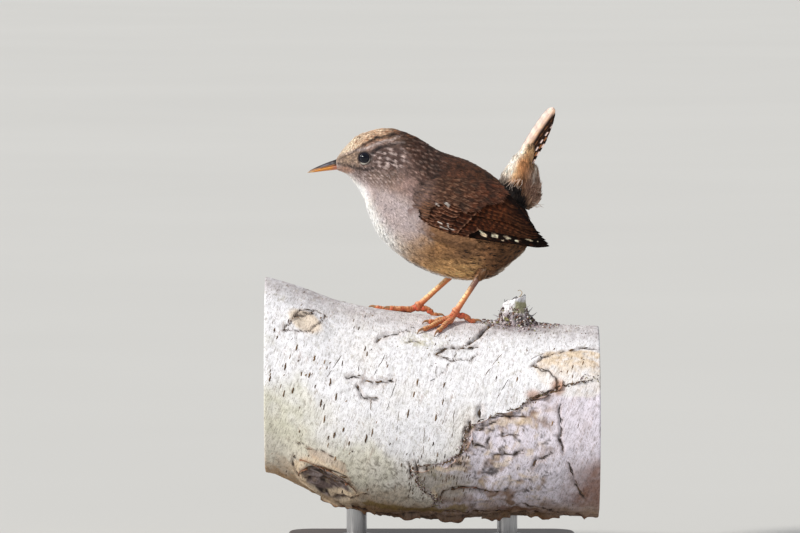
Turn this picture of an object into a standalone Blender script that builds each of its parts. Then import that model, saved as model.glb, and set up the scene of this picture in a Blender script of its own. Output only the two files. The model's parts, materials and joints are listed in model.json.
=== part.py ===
# A life-size Eurasian wren, tail cocked, standing on a cut length of birch limb.
# The limb is held over a flat base by two short rods.
#
# Sizes are in millimetres in the bird's own frame: the origin lies on top of the limb
# between the feet, the bill points along -X, the bird's left side is -Y and +Z is up.
# to_metres() lifts that frame to its height over the base and scales it to metres.

import math

import bmesh
import bpy
import numpy as np
from mathutils import Matrix, Vector
from mathutils.bvhtree import BVHTree

MM = 0.001
GAP = 0.3                       # what separates two nodes that touch
SLIVER = 0.004                  # edges shorter than this are closed up after a union

# ---- limb and stand ----
LIMB_HALF_LENGTH = 57.5
LIMB_AXIS = [(-58, -19.6), (-29, -30.6), (0, -34.6), (29, -35.3), (58, -36.2)]
LIMB_RADII = [33.4, 35.4, 35.0, 33.4, 33.0]
LIMB_SIDES = 36
LIMB_RINGS = 25
# swellings and hollows of the bark: x, degrees round from the top towards the bird's right,
# height, half length, half width in degrees
LIMB_RELIEF = [
    (-43.0, -45.0, 0.9, 10.0, 14.0), (-43.0, -45.0, -1.1, 5.0, 7.0),        # eye-shaped scar
    (-37.0, -143.0, 1.5, 15.0, 27.0), (-36.0, -143.0, -3.4, 9.0, 15.0),     # open knot
    (47.0, -57.0, 1.3, 17.0, 19.0),                                         # pale scar
    (36.0, -118.0, 1.0, 24.0, 34.0), (14.0, -128.0, -1.0, 8.0, 15.0),       # rough bark
    (-12.0, 74.0, 1.2, 15.0, 20.0), (-12.0, 74.0, -1.4, 6.0, 9.0),          # healed knot
    (34.0, 112.0, 1.1, 18.0, 26.0),
]
# a broken twig on the limb, behind the bird: centre of each section, radius
STUB = [((32.0, -2.0, -5.0), 9.6), ((31.5, -2.0, -0.8), 7.4), ((30.6, -2.2, 1.8), 5.0),
        ((29.8, -2.6, 4.2), 3.9), ((29.6, -3.0, 5.9), 3.3), ((29.9, -3.2, 6.7), 2.3)]
STUB_SIDES, STUB_SQUEEZE = 12, 0.8
# splinters that its break leaves: root, tip, radius at the root
SPLINTERS = [((30.6, -3.0, 4.0), (31.9, -3.4, 8.6), 1.7), ((27.6, -2.6, 3.6), (27.4, -2.9, 7.0), 1.5),
             ((33.4, -2.4, 0.4), (35.6, -2.6, 3.6), 1.6)]
BASE_LENGTH, BASE_WIDTH, BASE_THICKNESS = 100.0, 76.0, 6.0
BASE_CORNER = 9.0
LIMB_CLEARANCE = 7.0            # between the base and the lowest part of the limb
ROD_RADIUS = 3.5
ROD_PLACES = {"front": -26.0, "rear": 26.0}

# ---- body: back point (x, z), breast point (x, z), half width ----
BODY = [
    ((-33.1, 54.2), (-32.7, 50.7), 2.4),    # bill base
    ((-30.1, 58.4), (-29.4, 49.3), 5.0),    # forehead
    ((-24.8, 63.0), (-26.6, 46.2), 7.3),    # eye
    ((-15.5, 65.2), (-23.5, 41.1), 8.9),    # crown
    ((-6.6, 62.8), (-21.9, 35.9), 10.6),    # nape
    ((2.4, 57.6), (-17.9, 27.6), 13.6),     # shoulder
    ((11.4, 53.6), (-8.3, 19.0), 16.0),     # mantle
    ((19.0, 49.0), (5.5, 13.3), 16.2),      # back
    ((25.2, 43.8), (18.6, 13.1), 13.8),     # lower back
    ((30.4, 37.9), (27.3, 18.8), 9.4),      # rump
    ((33.2, 33.0), (32.0, 24.0), 4.6),      # vent
    ((34.4, 29.8), (34.2, 28.2), 1.2),      # hind end
]
HEAD_ENDS, NECK_ENDS = 3.45, 4.6            # in rows of BODY
PARTING = 0.045                             # of a row, which leaves about GAP
BODY_SIDES = 24

# The sheet that the folded wings follow: the body's own rows, then wider and higher rows
# where the wings stand clear of the rump.
WING_SHEET = BODY[3:7] + [
    ((19.5, 50.6), (5.5, 12.0), 16.4),
    ((27.5, 48.5), (17.5, 9.5), 14.6),
    ((34.5, 46.5), (28.5, 10.5), 11.0),
    ((40.5, 42.5), (38.5, 12.5), 7.6),
    ((45.5, 38.5), (46.5, 15.5), 5.4),
]

# ---- head ----
EYE_CENTRE = (-23.4, 55.3)      # x, z
EYE_RADIUS = 2.1
EYE_OPENING = 1.85              # radius of the ring of the lids
LID_THICKNESS = 0.34            # radius of the lids' own section
EYE_FORWARD, EYE_UP = 14.0, 8.0             # degrees that an eye looks forward and up
BILL_TIP = (-42.9, 49.9)
BILL_DEPTH, BILL_WIDTH = 3.1, 3.4           # at the base
BILL_ARCH = 0.12
# half sections of the bill: share of the half width, share of the height
UPPER_BILL = [(-1, 0), (-0.82, 0.45), (-0.4, 0.85), (0, 1), (0.4, 0.85), (0.82, 0.45), (1, 0)]
LOWER_BILL = [(-1, 0), (-0.8, 0.5), (-0.38, 0.9), (0.38, 0.9), (0.8, 0.5), (1, 0)]

# ---- wing, drawn in side view (x, z); each line runs from a lower to an upper feather ----
VANE_THICKNESS = 0.5
TIP_ROUNDING = 0.9              # length of a blade's rounded end
TIERS = {
    # name: (count, roots, tips, half width, lift, shingle, segments)
    "primary": (6, [(4.0, 32.6), (13.0, 35.2)], [(33.0, 26.9), (40.0, 25.6), (38.6, 28.2)],
                1.75, 0.45, 0.22, 3),
    "secondary": (6, [(10.5, 33.6), (18.0, 40.2)], [(36.4, 28.8), (35.0, 33.6)],
                  1.95, 0.95, 0.24, 3),
    "tertial": (4, [(14.0, 39.4), (19.0, 45.4)], [(33.6, 35.0), (31.0, 38.4), (26.6, 42.6)],
                2.2, 1.5, 0.26, 3),
    "greater_covert": (7, [(0.5, 33.4), (9.0, 43.4)], [(7.4, 30.6), (17.2, 40.2)],
                       1.65, 1.45, 0.24, 2),
    "median_covert": (4, [(-3.0, 36.0), (4.0, 45.0)], [(2.4, 34.0), (10.6, 42.8)],
                      1.85, 1.8, 0.24, 2),
    "scapular": (4, [(0.0, 45.0), (8.0, 49.0)], [(13.0, 41.6), (20.6, 44.6)], 2.3, 1.9, 0.3, 2),
    "alula": (2, [(-1.5, 32.4), (0.0, 33.8)], [(6.0, 29.8), (7.6, 31.2)], 1.0, 1.3, 0.2, 2),
}
WING_PAD = [((-4.2, 38.4), 1.2), ((-1.5, 38.8), 4.6), ((4.0, 39.6), 7.6), ((10.0, 41.0), 8.2),
            ((15.5, 41.6), 6.4), ((19.5, 42.6), 3.0)]   # (x, z), half width
WING_PAD_THICKNESS = 1.5

# ---- tail ----
TAIL_ROOT = Vector((26.0, 0.0, 46.6))
TAIL_ANGLE = 59.2               # degrees over the horizon
TAIL_TWIST = 16.0               # degrees that the upper side turns to the bird's left
TAIL_LENGTH = 29.6
TAIL_GRADUATION = 0.31          # a feather's shortening grows with the square of its number
TAIL_BOW = 1.3                  # how far the tail's middle stands forward of a straight line
RECTRICES = 6                   # on each side
RECTRIX_HALF_WIDTH = 2.45
# half width of a tail feather along its length, as shares of the length and of the half width
RECTRIX_OUTLINE = [(0.0, 0.45), (0.25, 1.0), (0.5, 1.0), (0.72, 0.92), (0.92, 0.55), (1.0, 0.16)]
RECTRIX_STEP = 0.33             # each lies this much lower than the one nearer the middle
TAIL_ROOF = 36.0                # degrees that each half of the tail slopes down
# the feathered base of the tail: centre (x, z), half depth, half width
TAIL_BASE = [((28.0, 39.0), 7.0, 6.0), ((29.6, 42.6), 7.4, 6.2), ((30.8, 47.4), 6.3, 5.4),
             ((31.6, 51.8), 4.6, 4.4), ((33.0, 55.6), 3.0, 3.2), ((34.6, 59.0), 1.2, 1.6)]
TAIL_COVERTS = {
    # name: (count, first and last place along the base, turn, half width)
    "long": (8, 0.40, 0.90, 0.0, 1.6),
    "short": (10, 0.18, 0.60, 0.5, 1.6),
}

# ---- legs and feet ----
TARSUS_RADIUS = 0.98
BOOT_RADIUS = 1.9               # feathering where the leg leaves the belly
ANKLE_RADIUS = 1.25
TOE_RADIUS = 0.8
LEGS = {
    # ankle, where the leg leaves the body, heel inside it, heading of the foot and of its
    # hind toe in degrees anticlockwise from +X
    "left": (Vector((8.1, -8.4, 2.2)), Vector((15.2, -8.4, 13.0)), Vector((19.0, -8.4, 19.0)),
             220.0, 14.0),
    "right": (Vector((-4.8, 7.0, 3.3)), Vector((6.6, 8.0, 13.6)), Vector((12.0, 8.4, 18.6)),
              176.0, 0.0),
}
TOES = {
    # name: degrees outwards from the foot's heading, length, claw length
    "inner": (-18.0, 9.4, 3.0),
    "middle": (0.0, 14.0, 3.6),
    "outer": (17.0, 10.6, 3.0),
    "hind": (0.0, 7.2, 4.2),
}
TOE_PADS = 3
TOE_ARCH = 0.33                 # how far the middle of a toe stands off the bark

ZENITH = -min(z - r for (_, z), r in zip(LIMB_AXIS, LIMB_RADII)) + LIMB_CLEARANCE + BASE_THICKNESS


# ---------------------------------------------------------------- helpers

def to_metres(point):
    return Vector((point[0], point[1], point[2] + ZENITH)) * MM


def smooth_row(rows, u):
    """The row at u of a table of equal-length number rows, on a Catmull-Rom curve through them."""
    table = np.array(rows, float)
    i = min(int(u), len(table) - 2)
    t = u - i
    before = table[max(i - 1, 0)]
    here, after = table[i], table[i + 1]
    beyond = table[min(i + 2, len(table) - 1)]
    return 0.5 * (2 * here + (after - before) * t
                  + (2 * before - 5 * here + 4 * after - beyond) * t ** 2
                  + (3 * here - before - 3 * after + beyond) * t ** 3)


def on_polyline(points, t):
    """The point at t, 0 to 1, on a smooth line through 2 or more points."""
    return smooth_row([tuple(p) for p in points], t * (len(points) - 1))


def spaced(first, last, count):
    return [float(v) for v in np.linspace(first, last, count)]


def solid(name, rings, material):
    """A closed object lofted through rings of points given in millimetres."""
    mesh = bmesh.new()
    loops = [[mesh.verts.new(to_metres(p)) for p in ring] for ring in rings]
    sides = len(loops[0])
    for lower, upper in zip(loops, loops[1:]):
        for j in range(sides):
            k = (j + 1) % sides
            mesh.faces.new((lower[j], lower[k], upper[k], upper[j]))
    mesh.faces.new(list(reversed(loops[0])))
    mesh.faces.new(loops[-1])
    return finish_mesh(name, mesh, material)


def finish_mesh(name, mesh, material):
    bmesh.ops.recalc_face_normals(mesh, faces=mesh.faces)
    data = bpy.data.meshes.new(name)
    mesh.to_mesh(data)
    mesh.free()
    if sum_of_tetrahedra(data) < 0:
        data.flip_normals()
    data.materials.append(material)
    data.shade_smooth()
    data.set_sharp_from_angle(angle=math.radians(40))
    made = bpy.data.objects.new(name, data)
    PARTS.objects.link(made)
    return made


def sum_of_tetrahedra(data):
    """Six times the signed volume of a mesh: negative when its faces point inwards."""
    data.calc_loop_triangles()
    return sum(data.vertices[t.vertices[0]].co.dot(
        data.vertices[t.vertices[1]].co.cross(data.vertices[t.vertices[2]].co))
        for t in data.loop_triangles)


def ball(name, centre, radius, material, rings=8, segments=14):
    mesh = bmesh.new()
    bmesh.ops.create_uvsphere(mesh, u_segments=segments, v_segments=rings, radius=radius * MM)
    bmesh.ops.translate(mesh, verts=mesh.verts, vec=to_metres(centre))
    return finish_mesh(name, mesh, material)


def tube(name, points, radii, material, sides=8, squeeze=1.0):
    """A round-sectioned limb through points; squeeze narrows it along Y."""
    rings = []
    points = [Vector(p) for p in points]
    for i, (point, radius) in enumerate(zip(points, radii)):
        along = (points[min(i + 1, len(points) - 1)] - points[max(i - 1, 0)]).normalized()
        side = Vector((0, 1, 0))
        if abs(along.y) > 0.9:
            side = Vector((1, 0, 0))
        up = along.cross(side).normalized()
        side = up.cross(along).normalized()
        rings.append([point + side * (radius * squeeze * math.cos(a)) + up * (radius * math.sin(a))
                      for a in (2 * math.pi * (k + 0.5) / sides for k in range(sides))])
    return solid(name, rings, material)


def fused(name, pieces):
    """One closed object from overlapping pieces, keeping its largest closed surface."""
    first, others = pieces[0], pieces[1:]
    if others:
        together = bpy.data.collections.new("pieces")
        bpy.context.scene.collection.children.link(together)
        for piece in others:
            PARTS.objects.unlink(piece)
            together.objects.link(piece)
        union = first.modifiers.new("union", "BOOLEAN")
        union.operation = "UNION"
        union.operand_type = "COLLECTION"
        union.collection = together
        union.solver = "MANIFOLD"
        apply_modifiers(first)
        for piece in others:
            bpy.data.objects.remove(piece)
        bpy.data.collections.remove(together)
    keep_largest(first)
    first.name = name
    first.data.name = name
    return first


def cut(target, cutters):
    """Takes the cutters out of the target and removes them."""
    for cutter in cutters:
        PARTS.objects.unlink(cutter)
        CUTTERS.objects.link(cutter)
        cutter.hide_render = True
        cutter.display_type = "WIRE"
        hole = target.modifiers.new("cut", "BOOLEAN")
        hole.operation = "DIFFERENCE"
        hole.object = cutter
        hole.solver = "MANIFOLD"
        apply_modifiers(target)
    for cutter in cutters:
        bpy.data.objects.remove(cutter)
    keep_largest(target)
    return target


def apply_modifiers(made):
    graph = bpy.context.evaluated_depsgraph_get()
    data = bpy.data.meshes.new_from_object(made.evaluated_get(graph), depsgraph=graph)
    made.modifiers.clear()
    made.data = data


def keep_largest(made):
    """Drops slivers, loose scraps and sealed hollows that a union or a cut leaves."""
    mesh = bmesh.new()
    mesh.from_mesh(made.data)
    bmesh.ops.triangulate(mesh, faces=mesh.faces)
    close_slivers(mesh)
    islands, seen = [], set()
    for face in mesh.faces:
        if face in seen:
            continue
        island, queue = [], [face]
        seen.add(face)
        while queue:
            here = queue.pop()
            island.append(here)
            for edge in here.edges:
                for other in edge.link_faces:
                    if len(edge.link_faces) == 2 and other not in seen:
                        seen.add(other)
                        queue.append(other)
        islands.append(island)
    islands.sort(key=lambda island: sum(f.calc_area() for f in island))
    for island in islands[:-1]:
        bmesh.ops.delete(mesh, geom=island, context="FACES")
    mesh.to_mesh(made.data)
    mesh.free()


def close_slivers(mesh):
    """Merges the ends of very short edges wherever that leaves the surface whole."""
    for edge in [e for e in mesh.edges if e.calc_length() < SLIVER * MM]:
        if not edge.is_valid:
            continue
        first, second = edge.verts
        around = [{e.other_vert(v) for e in v.link_edges} for v in (first, second)]
        if len(around[0] & around[1]) == 2:
            middle = (first.co + second.co) / 2
            bmesh.ops.pointmerge(mesh, verts=[first, second], merge_co=middle)


def duplicate(made, name):
    copy = made.copy()
    copy.data = made.data.copy()
    copy.name = name
    PARTS.objects.link(copy)
    return copy


def mirrored(made, name):
    """A copy on the other side of the bird."""
    copy = duplicate(made, name)
    copy.data.transform(Matrix.Scale(-1, 4, Vector((0, 1, 0))))
    copy.data.flip_normals()
    copy.data.name = name
    return copy


def material(name, colour, roughness, metallic=0.0):
    made = bpy.data.materials.new(name)
    made.use_nodes = True
    shader = made.node_tree.nodes["Principled BSDF"]
    shader.inputs["Base Color"].default_value = (*colour, 1.0)
    shader.inputs["Roughness"].default_value = roughness
    shader.inputs["Metallic"].default_value = metallic
    return made


# ---------------------------------------------------------------- limb and stand

def limb_centre(x):
    u = (x - LIMB_AXIS[0][0]) / (LIMB_AXIS[1][0] - LIMB_AXIS[0][0])
    return float(smooth_row([(z,) for _, z in LIMB_AXIS], min(max(u, 0.0), 3.999))[0])


def limb_radius(x):
    u = (x - LIMB_AXIS[0][0]) / (LIMB_AXIS[1][0] - LIMB_AXIS[0][0])
    return float(smooth_row([(r,) for r in LIMB_RADII], min(max(u, 0.0), 3.999))[0])


def on_limb(x, y, height):
    """A point that far over the limb's upper surface, along its normal."""
    def top(px, py):
        return limb_centre(px) + math.sqrt(limb_radius(px) ** 2 - py ** 2)
    step = 0.05
    slope_x = (top(x + step, y) - top(x - step, y)) / (2 * step)
    slope_y = (top(x, y + step) - top(x, y - step)) / (2 * step)
    normal = Vector((-slope_x, -slope_y, 1)).normalized()
    return Vector((x, y, top(x, y))) + normal * height


def limb_relief(x, degrees):
    """How far the bark stands out there over the plain limb."""
    height = 0.0
    for place, turn, rise, half_length, half_width in LIMB_RELIEF:
        round_by = (degrees - turn + 180) % 360 - 180
        reach = ((x - place) / half_length) ** 2 + (round_by / half_width) ** 2
        height += rise * max(0.0, 1 - reach) ** 1.5
    return height


def limb_rings(extra=0.0):
    rings = []
    reach = LIMB_HALF_LENGTH + extra
    for x in spaced(-reach, reach, LIMB_RINGS):
        ring = []
        for k in range(LIMB_SIDES):
            degrees = 360 * k / LIMB_SIDES
            a = math.radians(degrees)
            radius = limb_radius(x) + limb_relief(x, degrees) + extra
            ring.append((x, radius * math.sin(a), limb_centre(x) + radius * math.cos(a)))
        rings.append(ring)
    return rings


def make_limb(bark):
    pieces = [solid("limb", limb_rings(), bark)]
    pieces.append(tube("stub", [place for place, _ in STUB], [radius for _, radius in STUB],
                       bark, STUB_SIDES, STUB_SQUEEZE))
    for root, tip, radius in SPLINTERS:
        pieces.append(tube("splinter", [root, tip], [radius, radius * 0.3], bark, 6))
    fused("perch_limb", pieces)


def make_stand(wood, steel):
    outline = bpy.data.curves.new("stand_base", "CURVE")
    outline.dimensions = "2D"
    outline.fill_mode = "BOTH"
    outline.extrude = BASE_THICKNESS / 2 * MM
    corners = []
    for sx, sy, start in ((1, 1, 0), (-1, 1, 90), (-1, -1, 180), (1, -1, 270)):
        cx = sx * (BASE_LENGTH / 2 - BASE_CORNER)
        cy = sy * (BASE_WIDTH / 2 - BASE_CORNER)
        for step in range(7):
            a = math.radians(start + step * 15)
            corners.append((cx + BASE_CORNER * math.cos(a), cy + BASE_CORNER * math.sin(a)))
    spline = outline.splines.new("POLY")
    spline.points.add(len(corners) - 1)
    for point, (x, y) in zip(spline.points, corners):
        point.co = (x * MM, y * MM, 0, 1)
    spline.use_cyclic_u = True
    outline.materials.append(wood)
    base = bpy.data.objects.new("stand_base", outline)
    base.location.z = BASE_THICKNESS / 2 * MM
    PARTS.objects.link(base)

    floor = BASE_THICKNESS - ZENITH
    for place, x in ROD_PLACES.items():
        mesh = bmesh.new()
        bottom, top = floor + GAP, limb_centre(x)
        bmesh.ops.create_cone(mesh, cap_ends=True, segments=20, radius1=ROD_RADIUS * MM,
                              radius2=ROD_RADIUS * MM, depth=(top - bottom) * MM)
        bmesh.ops.translate(mesh, verts=mesh.verts, vec=to_metres((x, 0, (top + bottom) / 2)))
        rod = finish_mesh(f"stand_rod_{place}", mesh, steel)
        cut(rod, [solid("limb_clearance", limb_rings(GAP), steel)])


# ---------------------------------------------------------------- body and head

def body_ring(rows, u, extra=0.0, sides=BODY_SIDES):
    """A flat section across the body at row u."""
    flat = [(*back, *breast, width) for back, breast, width in rows]
    bx, bz, fx, fz, width = smooth_row(flat, u)
    back, breast = Vector((bx, 0, bz)), Vector((fx, 0, fz))
    middle = (back + breast) / 2
    half = (back - breast) / 2
    half = half.normalized() * (half.length + extra)
    ring = []
    for k in range(sides):
        a = 2 * math.pi * k / sides
        ring.append(middle + half * math.cos(a) + Vector((0, (width + extra) * math.sin(a), 0)))
    return ring


def body_part(name, first, last, count, material, extra=0.0):
    return solid(name, [body_ring(BODY, u, extra) for u in spaced(first, last, count)], material)


def body_clearance(material, extra=GAP):
    return body_part("clearance", 0.0, len(BODY) - 1.0, 40, material, extra)


def left_side_at(x, z):
    """The point of the body's left side that a place in side view shows."""
    shape = [body_ring(BODY, u, sides=48) for u in spaced(0, len(BODY) - 1.001, 90)]
    return sheet_of(shape).ray_cast(Vector((x, -80, z)), Vector((0, 1, 0)))[0]


def sheet_of(rings):
    """A searchable surface through rings, for laying feathers on."""
    points = [p for ring in rings for p in ring]
    sides = len(rings[0])
    faces = []
    for i in range(len(rings) - 1):
        for j in range(sides):
            k = (j + 1) % sides
            faces.append((i * sides + j, i * sides + k, (i + 1) * sides + k, (i + 1) * sides + j))
    return BVHTree.FromPolygons(points, faces)


def eye_axis(side):
    """Unit vector along which an eye looks; side is -1 for the left."""
    a, b = math.radians(EYE_FORWARD), math.radians(EYE_UP)
    return Vector((-math.sin(a) * math.cos(b), side * math.cos(a) * math.cos(b), math.sin(b)))


def make_head(plumage, dark):
    head = body_part("head", 0.0, HEAD_ENDS, 13, plumage)
    surface = left_side_at(*EYE_CENTRE)
    lids, sockets, eyes = [], [], []
    for side, word in ((-1, "left"), (1, "right")):
        axis = eye_axis(side)
        place = Vector((surface.x, side * abs(surface.y), surface.z))
        plane = place + axis * 0.05                 # the lids' plane
        depth = math.sqrt(EYE_RADIUS ** 2 - (EYE_OPENING - GAP) ** 2)
        centre = plane - axis * depth
        mesh = bmesh.new()
        turn = axis.to_track_quat("Z", "Y").to_matrix().to_4x4()
        ring = 16
        section = 5
        loops = []
        for i in range(ring):
            a = 2 * math.pi * i / ring
            loop = []
            for j in range(section):
                b = 2 * math.pi * j / section
                reach = EYE_OPENING + LID_THICKNESS * (1 + math.cos(b)) * 1.25
                local = Vector((reach * math.cos(a), reach * math.sin(a), LID_THICKNESS * math.sin(b)))
                loop.append(mesh.verts.new(to_metres(plane + turn @ local)))
            loops.append(loop)
        for i in range(ring):
            here, after = loops[i], loops[(i + 1) % ring]
            for j in range(section):
                k = (j + 1) % section
                mesh.faces.new((here[j], here[k], after[k], after[j]))
        lids.append(finish_mesh("lid", mesh, plumage))
        sockets.append(ball("socket", centre, EYE_RADIUS + GAP, plumage, 9, 16))
        eyes.append(ball(f"eye_{word}", centre, EYE_RADIUS, dark, 8, 14))
    return head, lids, sockets, eyes


def make_bill(upper_horn, lower_horn):
    """Two halves that part along the line of the mouth; the upper one carries the nostrils."""
    back, breast, _ = BODY[0]
    face = (Vector((back[0], 0, back[1])) - Vector((breast[0], 0, breast[1]))).normalized()
    base = Vector(((back[0] + breast[0]) / 2 - GAP * 1.05, 0, (back[1] + breast[1]) / 2))
    tip = Vector((BILL_TIP[0], 0, BILL_TIP[1]))
    along = tip - base
    up = Vector((along.z, 0, -along.x)).normalized()
    upper, lower = [], []
    for t in (0.0, 0.16, 0.34, 0.54, 0.74, 0.9, 1.0):
        width = BILL_WIDTH / 2 * (1 - t) ** 0.85 + 0.16
        height = BILL_DEPTH / 2 * (1 - t) ** 0.8 + 0.2
        across = face.lerp(up, min(t * 3, 1.0)).normalized()
        middle = base + along * t + up * (BILL_ARCH * math.sin(math.pi * t))
        upper.append([middle + across * (GAP / 2 + height * h) + Vector((0, width * w, 0))
                      for w, h in UPPER_BILL])
        lower.append([middle - across * (GAP / 2 + height * 0.9 * h)
                      + Vector((0, width * 0.92 * w, 0)) for w, h in LOWER_BILL])
    top = solid("bill_upper", upper, upper_horn)
    nostrils = []
    for side in (-1, 1):
        spots = [base + along * t + up * h + Vector((0, side * BILL_WIDTH * 0.5, 0))
                 for t, h in ((0.06, 0.95), (0.15, 0.9), (0.26, 0.75))]
        nostrils.append(tube("nostril", spots, (0.22, 0.34, 0.2), upper_horn, 6))
    cut(top, nostrils)
    solid("bill_lower", lower, lower_horn)


# ---------------------------------------------------------------- wings

def blade(name, corners, material):
    """A thin closed plate from four corners a station: outer high, outer low, inner low, inner
    high. Both faces are split alike, so that they stay parallel."""
    mesh = bmesh.new()
    loops = [[mesh.verts.new(to_metres(p)) for p in ring] for ring in corners]
    for (a, b, c, d), (e, f, g, h) in zip(loops, loops[1:]):
        for face in ((a, b, f), (a, f, e), (d, g, c), (d, h, g),
                     (b, c, g), (b, g, f), (d, a, e), (d, e, h)):
            mesh.faces.new(face)
    for a, b, c, d in (loops[0], loops[-1]):
        mesh.faces.new((a, b, c))
        mesh.faces.new((a, c, d))
    return finish_mesh(name, mesh, material)


def vane(name, centres, half_widths, place, lift, shingle, material):
    """A feather blade. place(point, lift) puts a flat point on the wing's or tail's sheet.
    Its lower edge stands out by shingle and its upper edge lies in by as much."""
    corners = []
    half_thick = VANE_THICKNESS / 2
    centres = [Vector(c) for c in centres]
    for i, (centre, half) in enumerate(zip(centres, half_widths)):
        along = (centres[min(i + 1, len(centres) - 1)] - centres[max(i - 1, 0)]).normalized()
        across = Vector((-along.y, along.x))
        if across.y < 0:
            across = -across
        low, high = centre - across * half, centre + across * half
        corners.append([place(high, lift - shingle + half_thick),
                        place(low, lift + shingle + half_thick),
                        place(low, lift + shingle - half_thick),
                        place(high, lift - shingle - half_thick)])
    return blade(name, corners, material)


def blade_widths(half, segments, root_share=0.55):
    """Half widths from root to tip: a narrow root, a broad blade and a rounded tip."""
    widths = []
    for i in range(segments + 1):
        t = i / segments
        grow = root_share + (1 - root_share) * min(t / 0.45, 1.0)
        widths.append(half * grow)
    widths[-1] = half * 0.3
    return widths


def blade_places(root, tip, segments, bend):
    """Points from root to tip that bow downwards; the last ones are closer, to round the tip."""
    root, tip = Vector(root), Vector(tip)
    along = tip - root
    across = Vector((-along.y, along.x)).normalized()
    places = []
    for i in range(segments + 1):
        t = i / segments if i != segments - 1 else 1 - TIP_ROUNDING / along.length
        places.append(root + along * t + across * bend * math.sin(math.pi * t))
    return places


def wing_places():
    rings = [body_ring(WING_SHEET, u, GAP, 64) for u in spaced(0, len(WING_SHEET) - 1.001, 80)]
    sheet = sheet_of(rings)

    def place(point, lift):
        x, z = point.x, point.y
        for _ in range(60):
            hit, normal, _, _ = sheet.ray_cast(Vector((x, -80, z)), Vector((0, 1, 0)))
            if hit is not None and abs(hit.y) > 2.6:
                break
            z -= 0.2
        if normal.y > 0:
            normal = -normal
        return hit + normal * lift
    return place


def make_wing(feather):
    place = wing_places()
    pad_rings = []
    for (x, z), half in WING_PAD:
        ring = []
        for share, out in ((-1, 0.15), (-0.8, 0.75), (-0.35, 1.0), (0.35, 1.0), (0.8, 0.75), (1, 0.15),
                           (1, 0.0), (0, 0.0), (-1, 0.0)):
            ring.append(place(Vector((x, z + half * share)), 0.02 + WING_PAD_THICKNESS * out))
        pad_rings.append(ring)
    pieces = [solid("pad", pad_rings, feather)]
    for name, (count, roots, tips, half, lift, shingle, segments) in TIERS.items():
        for i in range(count):
            t = i / (count - 1)
            root, tip = on_polyline(roots, t), on_polyline(tips, t)
            centres = blade_places(root, tip, segments, -0.5)
            step = 0.02 * (i % 3)               # keeps neighbours' faces out of one plane
            pieces.append(vane(name, centres, blade_widths(half, segments), place,
                               lift + 0.05 * i + step, shingle, feather))
    return fused("wing_left", pieces)


# ---------------------------------------------------------------- tail

def make_tail(feather):
    """A closed, roofed and graduated tail: each outer feather lies lower and is shorter."""
    a = math.radians(TAIL_ANGLE)
    along = Vector((math.cos(a), 0, math.sin(a)))
    turn = Matrix.Rotation(math.radians(TAIL_TWIST), 3, along)
    upper = turn @ Vector((-math.sin(a), 0, math.cos(a)))
    lateral = turn @ Vector((0, 1, 0))
    roof = math.radians(TAIL_ROOF)
    pieces = [tail_core(feather)]
    for side in (-1, 1):
        flat = lateral * side * math.cos(roof) - upper * math.sin(roof)
        face = upper * math.cos(roof) + lateral * side * math.sin(roof)
        for i in range(RECTRICES):
            splay = math.radians(0.4 + 0.35 * i)
            far = 0.11 if side > 0 else 0.0         # keeps the two sides' faces out of one plane
            root = TAIL_ROOT + flat * (0.7 + 0.42 * i) - face * (RECTRIX_STEP * i + far)
            length = TAIL_LENGTH - TAIL_GRADUATION * i * i - far * 4

            def place(point, lift, root=root, flat=flat, face=face):
                bow = TAIL_BOW * math.sin(math.pi * point.x / TAIL_LENGTH)
                return root + along * point.x + flat * point.y + face * lift + upper * bow

            centres = [(length * t, length * t * math.tan(splay)) for t, _ in RECTRIX_OUTLINE]
            half_widths = [RECTRIX_HALF_WIDTH * share for _, share in RECTRIX_OUTLINE]
            pieces.append(vane("rectrix", centres, half_widths, place, 0.0, 0.0, feather))
    return pieces


def tail_core(feather):
    """The rump feathering that the tail grows from."""
    rings = []
    middles = [Vector((x, 0, z)) for (x, z), _, _ in TAIL_BASE]
    for i, ((_, _), deep, wide) in enumerate(TAIL_BASE):
        along = (middles[min(i + 1, len(middles) - 1)] - middles[max(i - 1, 0)]).normalized()
        across = Vector((-along.z, 0, along.x))
        rings.append([middles[i] + across * deep * math.cos(a) + Vector((0, wide * math.sin(a), 0))
                      for a in (2 * math.pi * k / 20 for k in range(20))])
    return solid("core", rings, feather)


def make_tail_coverts(feather):
    """Short blades round the tail's base, in two tiers."""
    table = [(x, z, deep, wide) for (x, z), deep, wide in TAIL_BASE]
    last = len(table) - 1.001

    def section(t):
        x, z, deep, wide = smooth_row(table, t * last)
        ahead = smooth_row(table, min(t * last + 0.05, last))
        behind = smooth_row(table, max(t * last - 0.05, 0))
        along = Vector((ahead[0] - behind[0], 0, ahead[1] - behind[1])).normalized()
        return Vector((x, 0, z)), Vector((-along.z, 0, along.x)), deep, wide

    blades = []
    for count, start, reach, first, half in TAIL_COVERTS.values():
        for i in range(count):
            turn = 2 * math.pi * (i + 0.5 + first) / count

            def place(t, across, lift, turn=turn):
                middle, forward, deep, wide = section(t)
                angle = turn + across / 5.0
                radial = forward * deep * math.cos(angle) + Vector((0, wide * math.sin(angle), 0))
                return middle + radial + radial.normalized() * lift

            blades.append(covert(spaced(start, reach, 3), [half, half, half * 0.25],
                                 place, 0.25, feather))
    return blades


def covert(centres, half_widths, place, lift, material):
    """A short blade laid on a round core, standing out towards its tip."""
    corners = []
    for i, (t, half) in enumerate(zip(centres, half_widths)):
        out = lift + 0.35 * i / (len(centres) - 1)
        corners.append([place(t, half, out + VANE_THICKNESS / 2),
                        place(t, -half, out + VANE_THICKNESS / 2),
                        place(t, -half, out - VANE_THICKNESS / 2),
                        place(t, half, out - VANE_THICKNESS / 2)])
    return blade("covert", corners, material)


# ---------------------------------------------------------------- legs and feet

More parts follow.
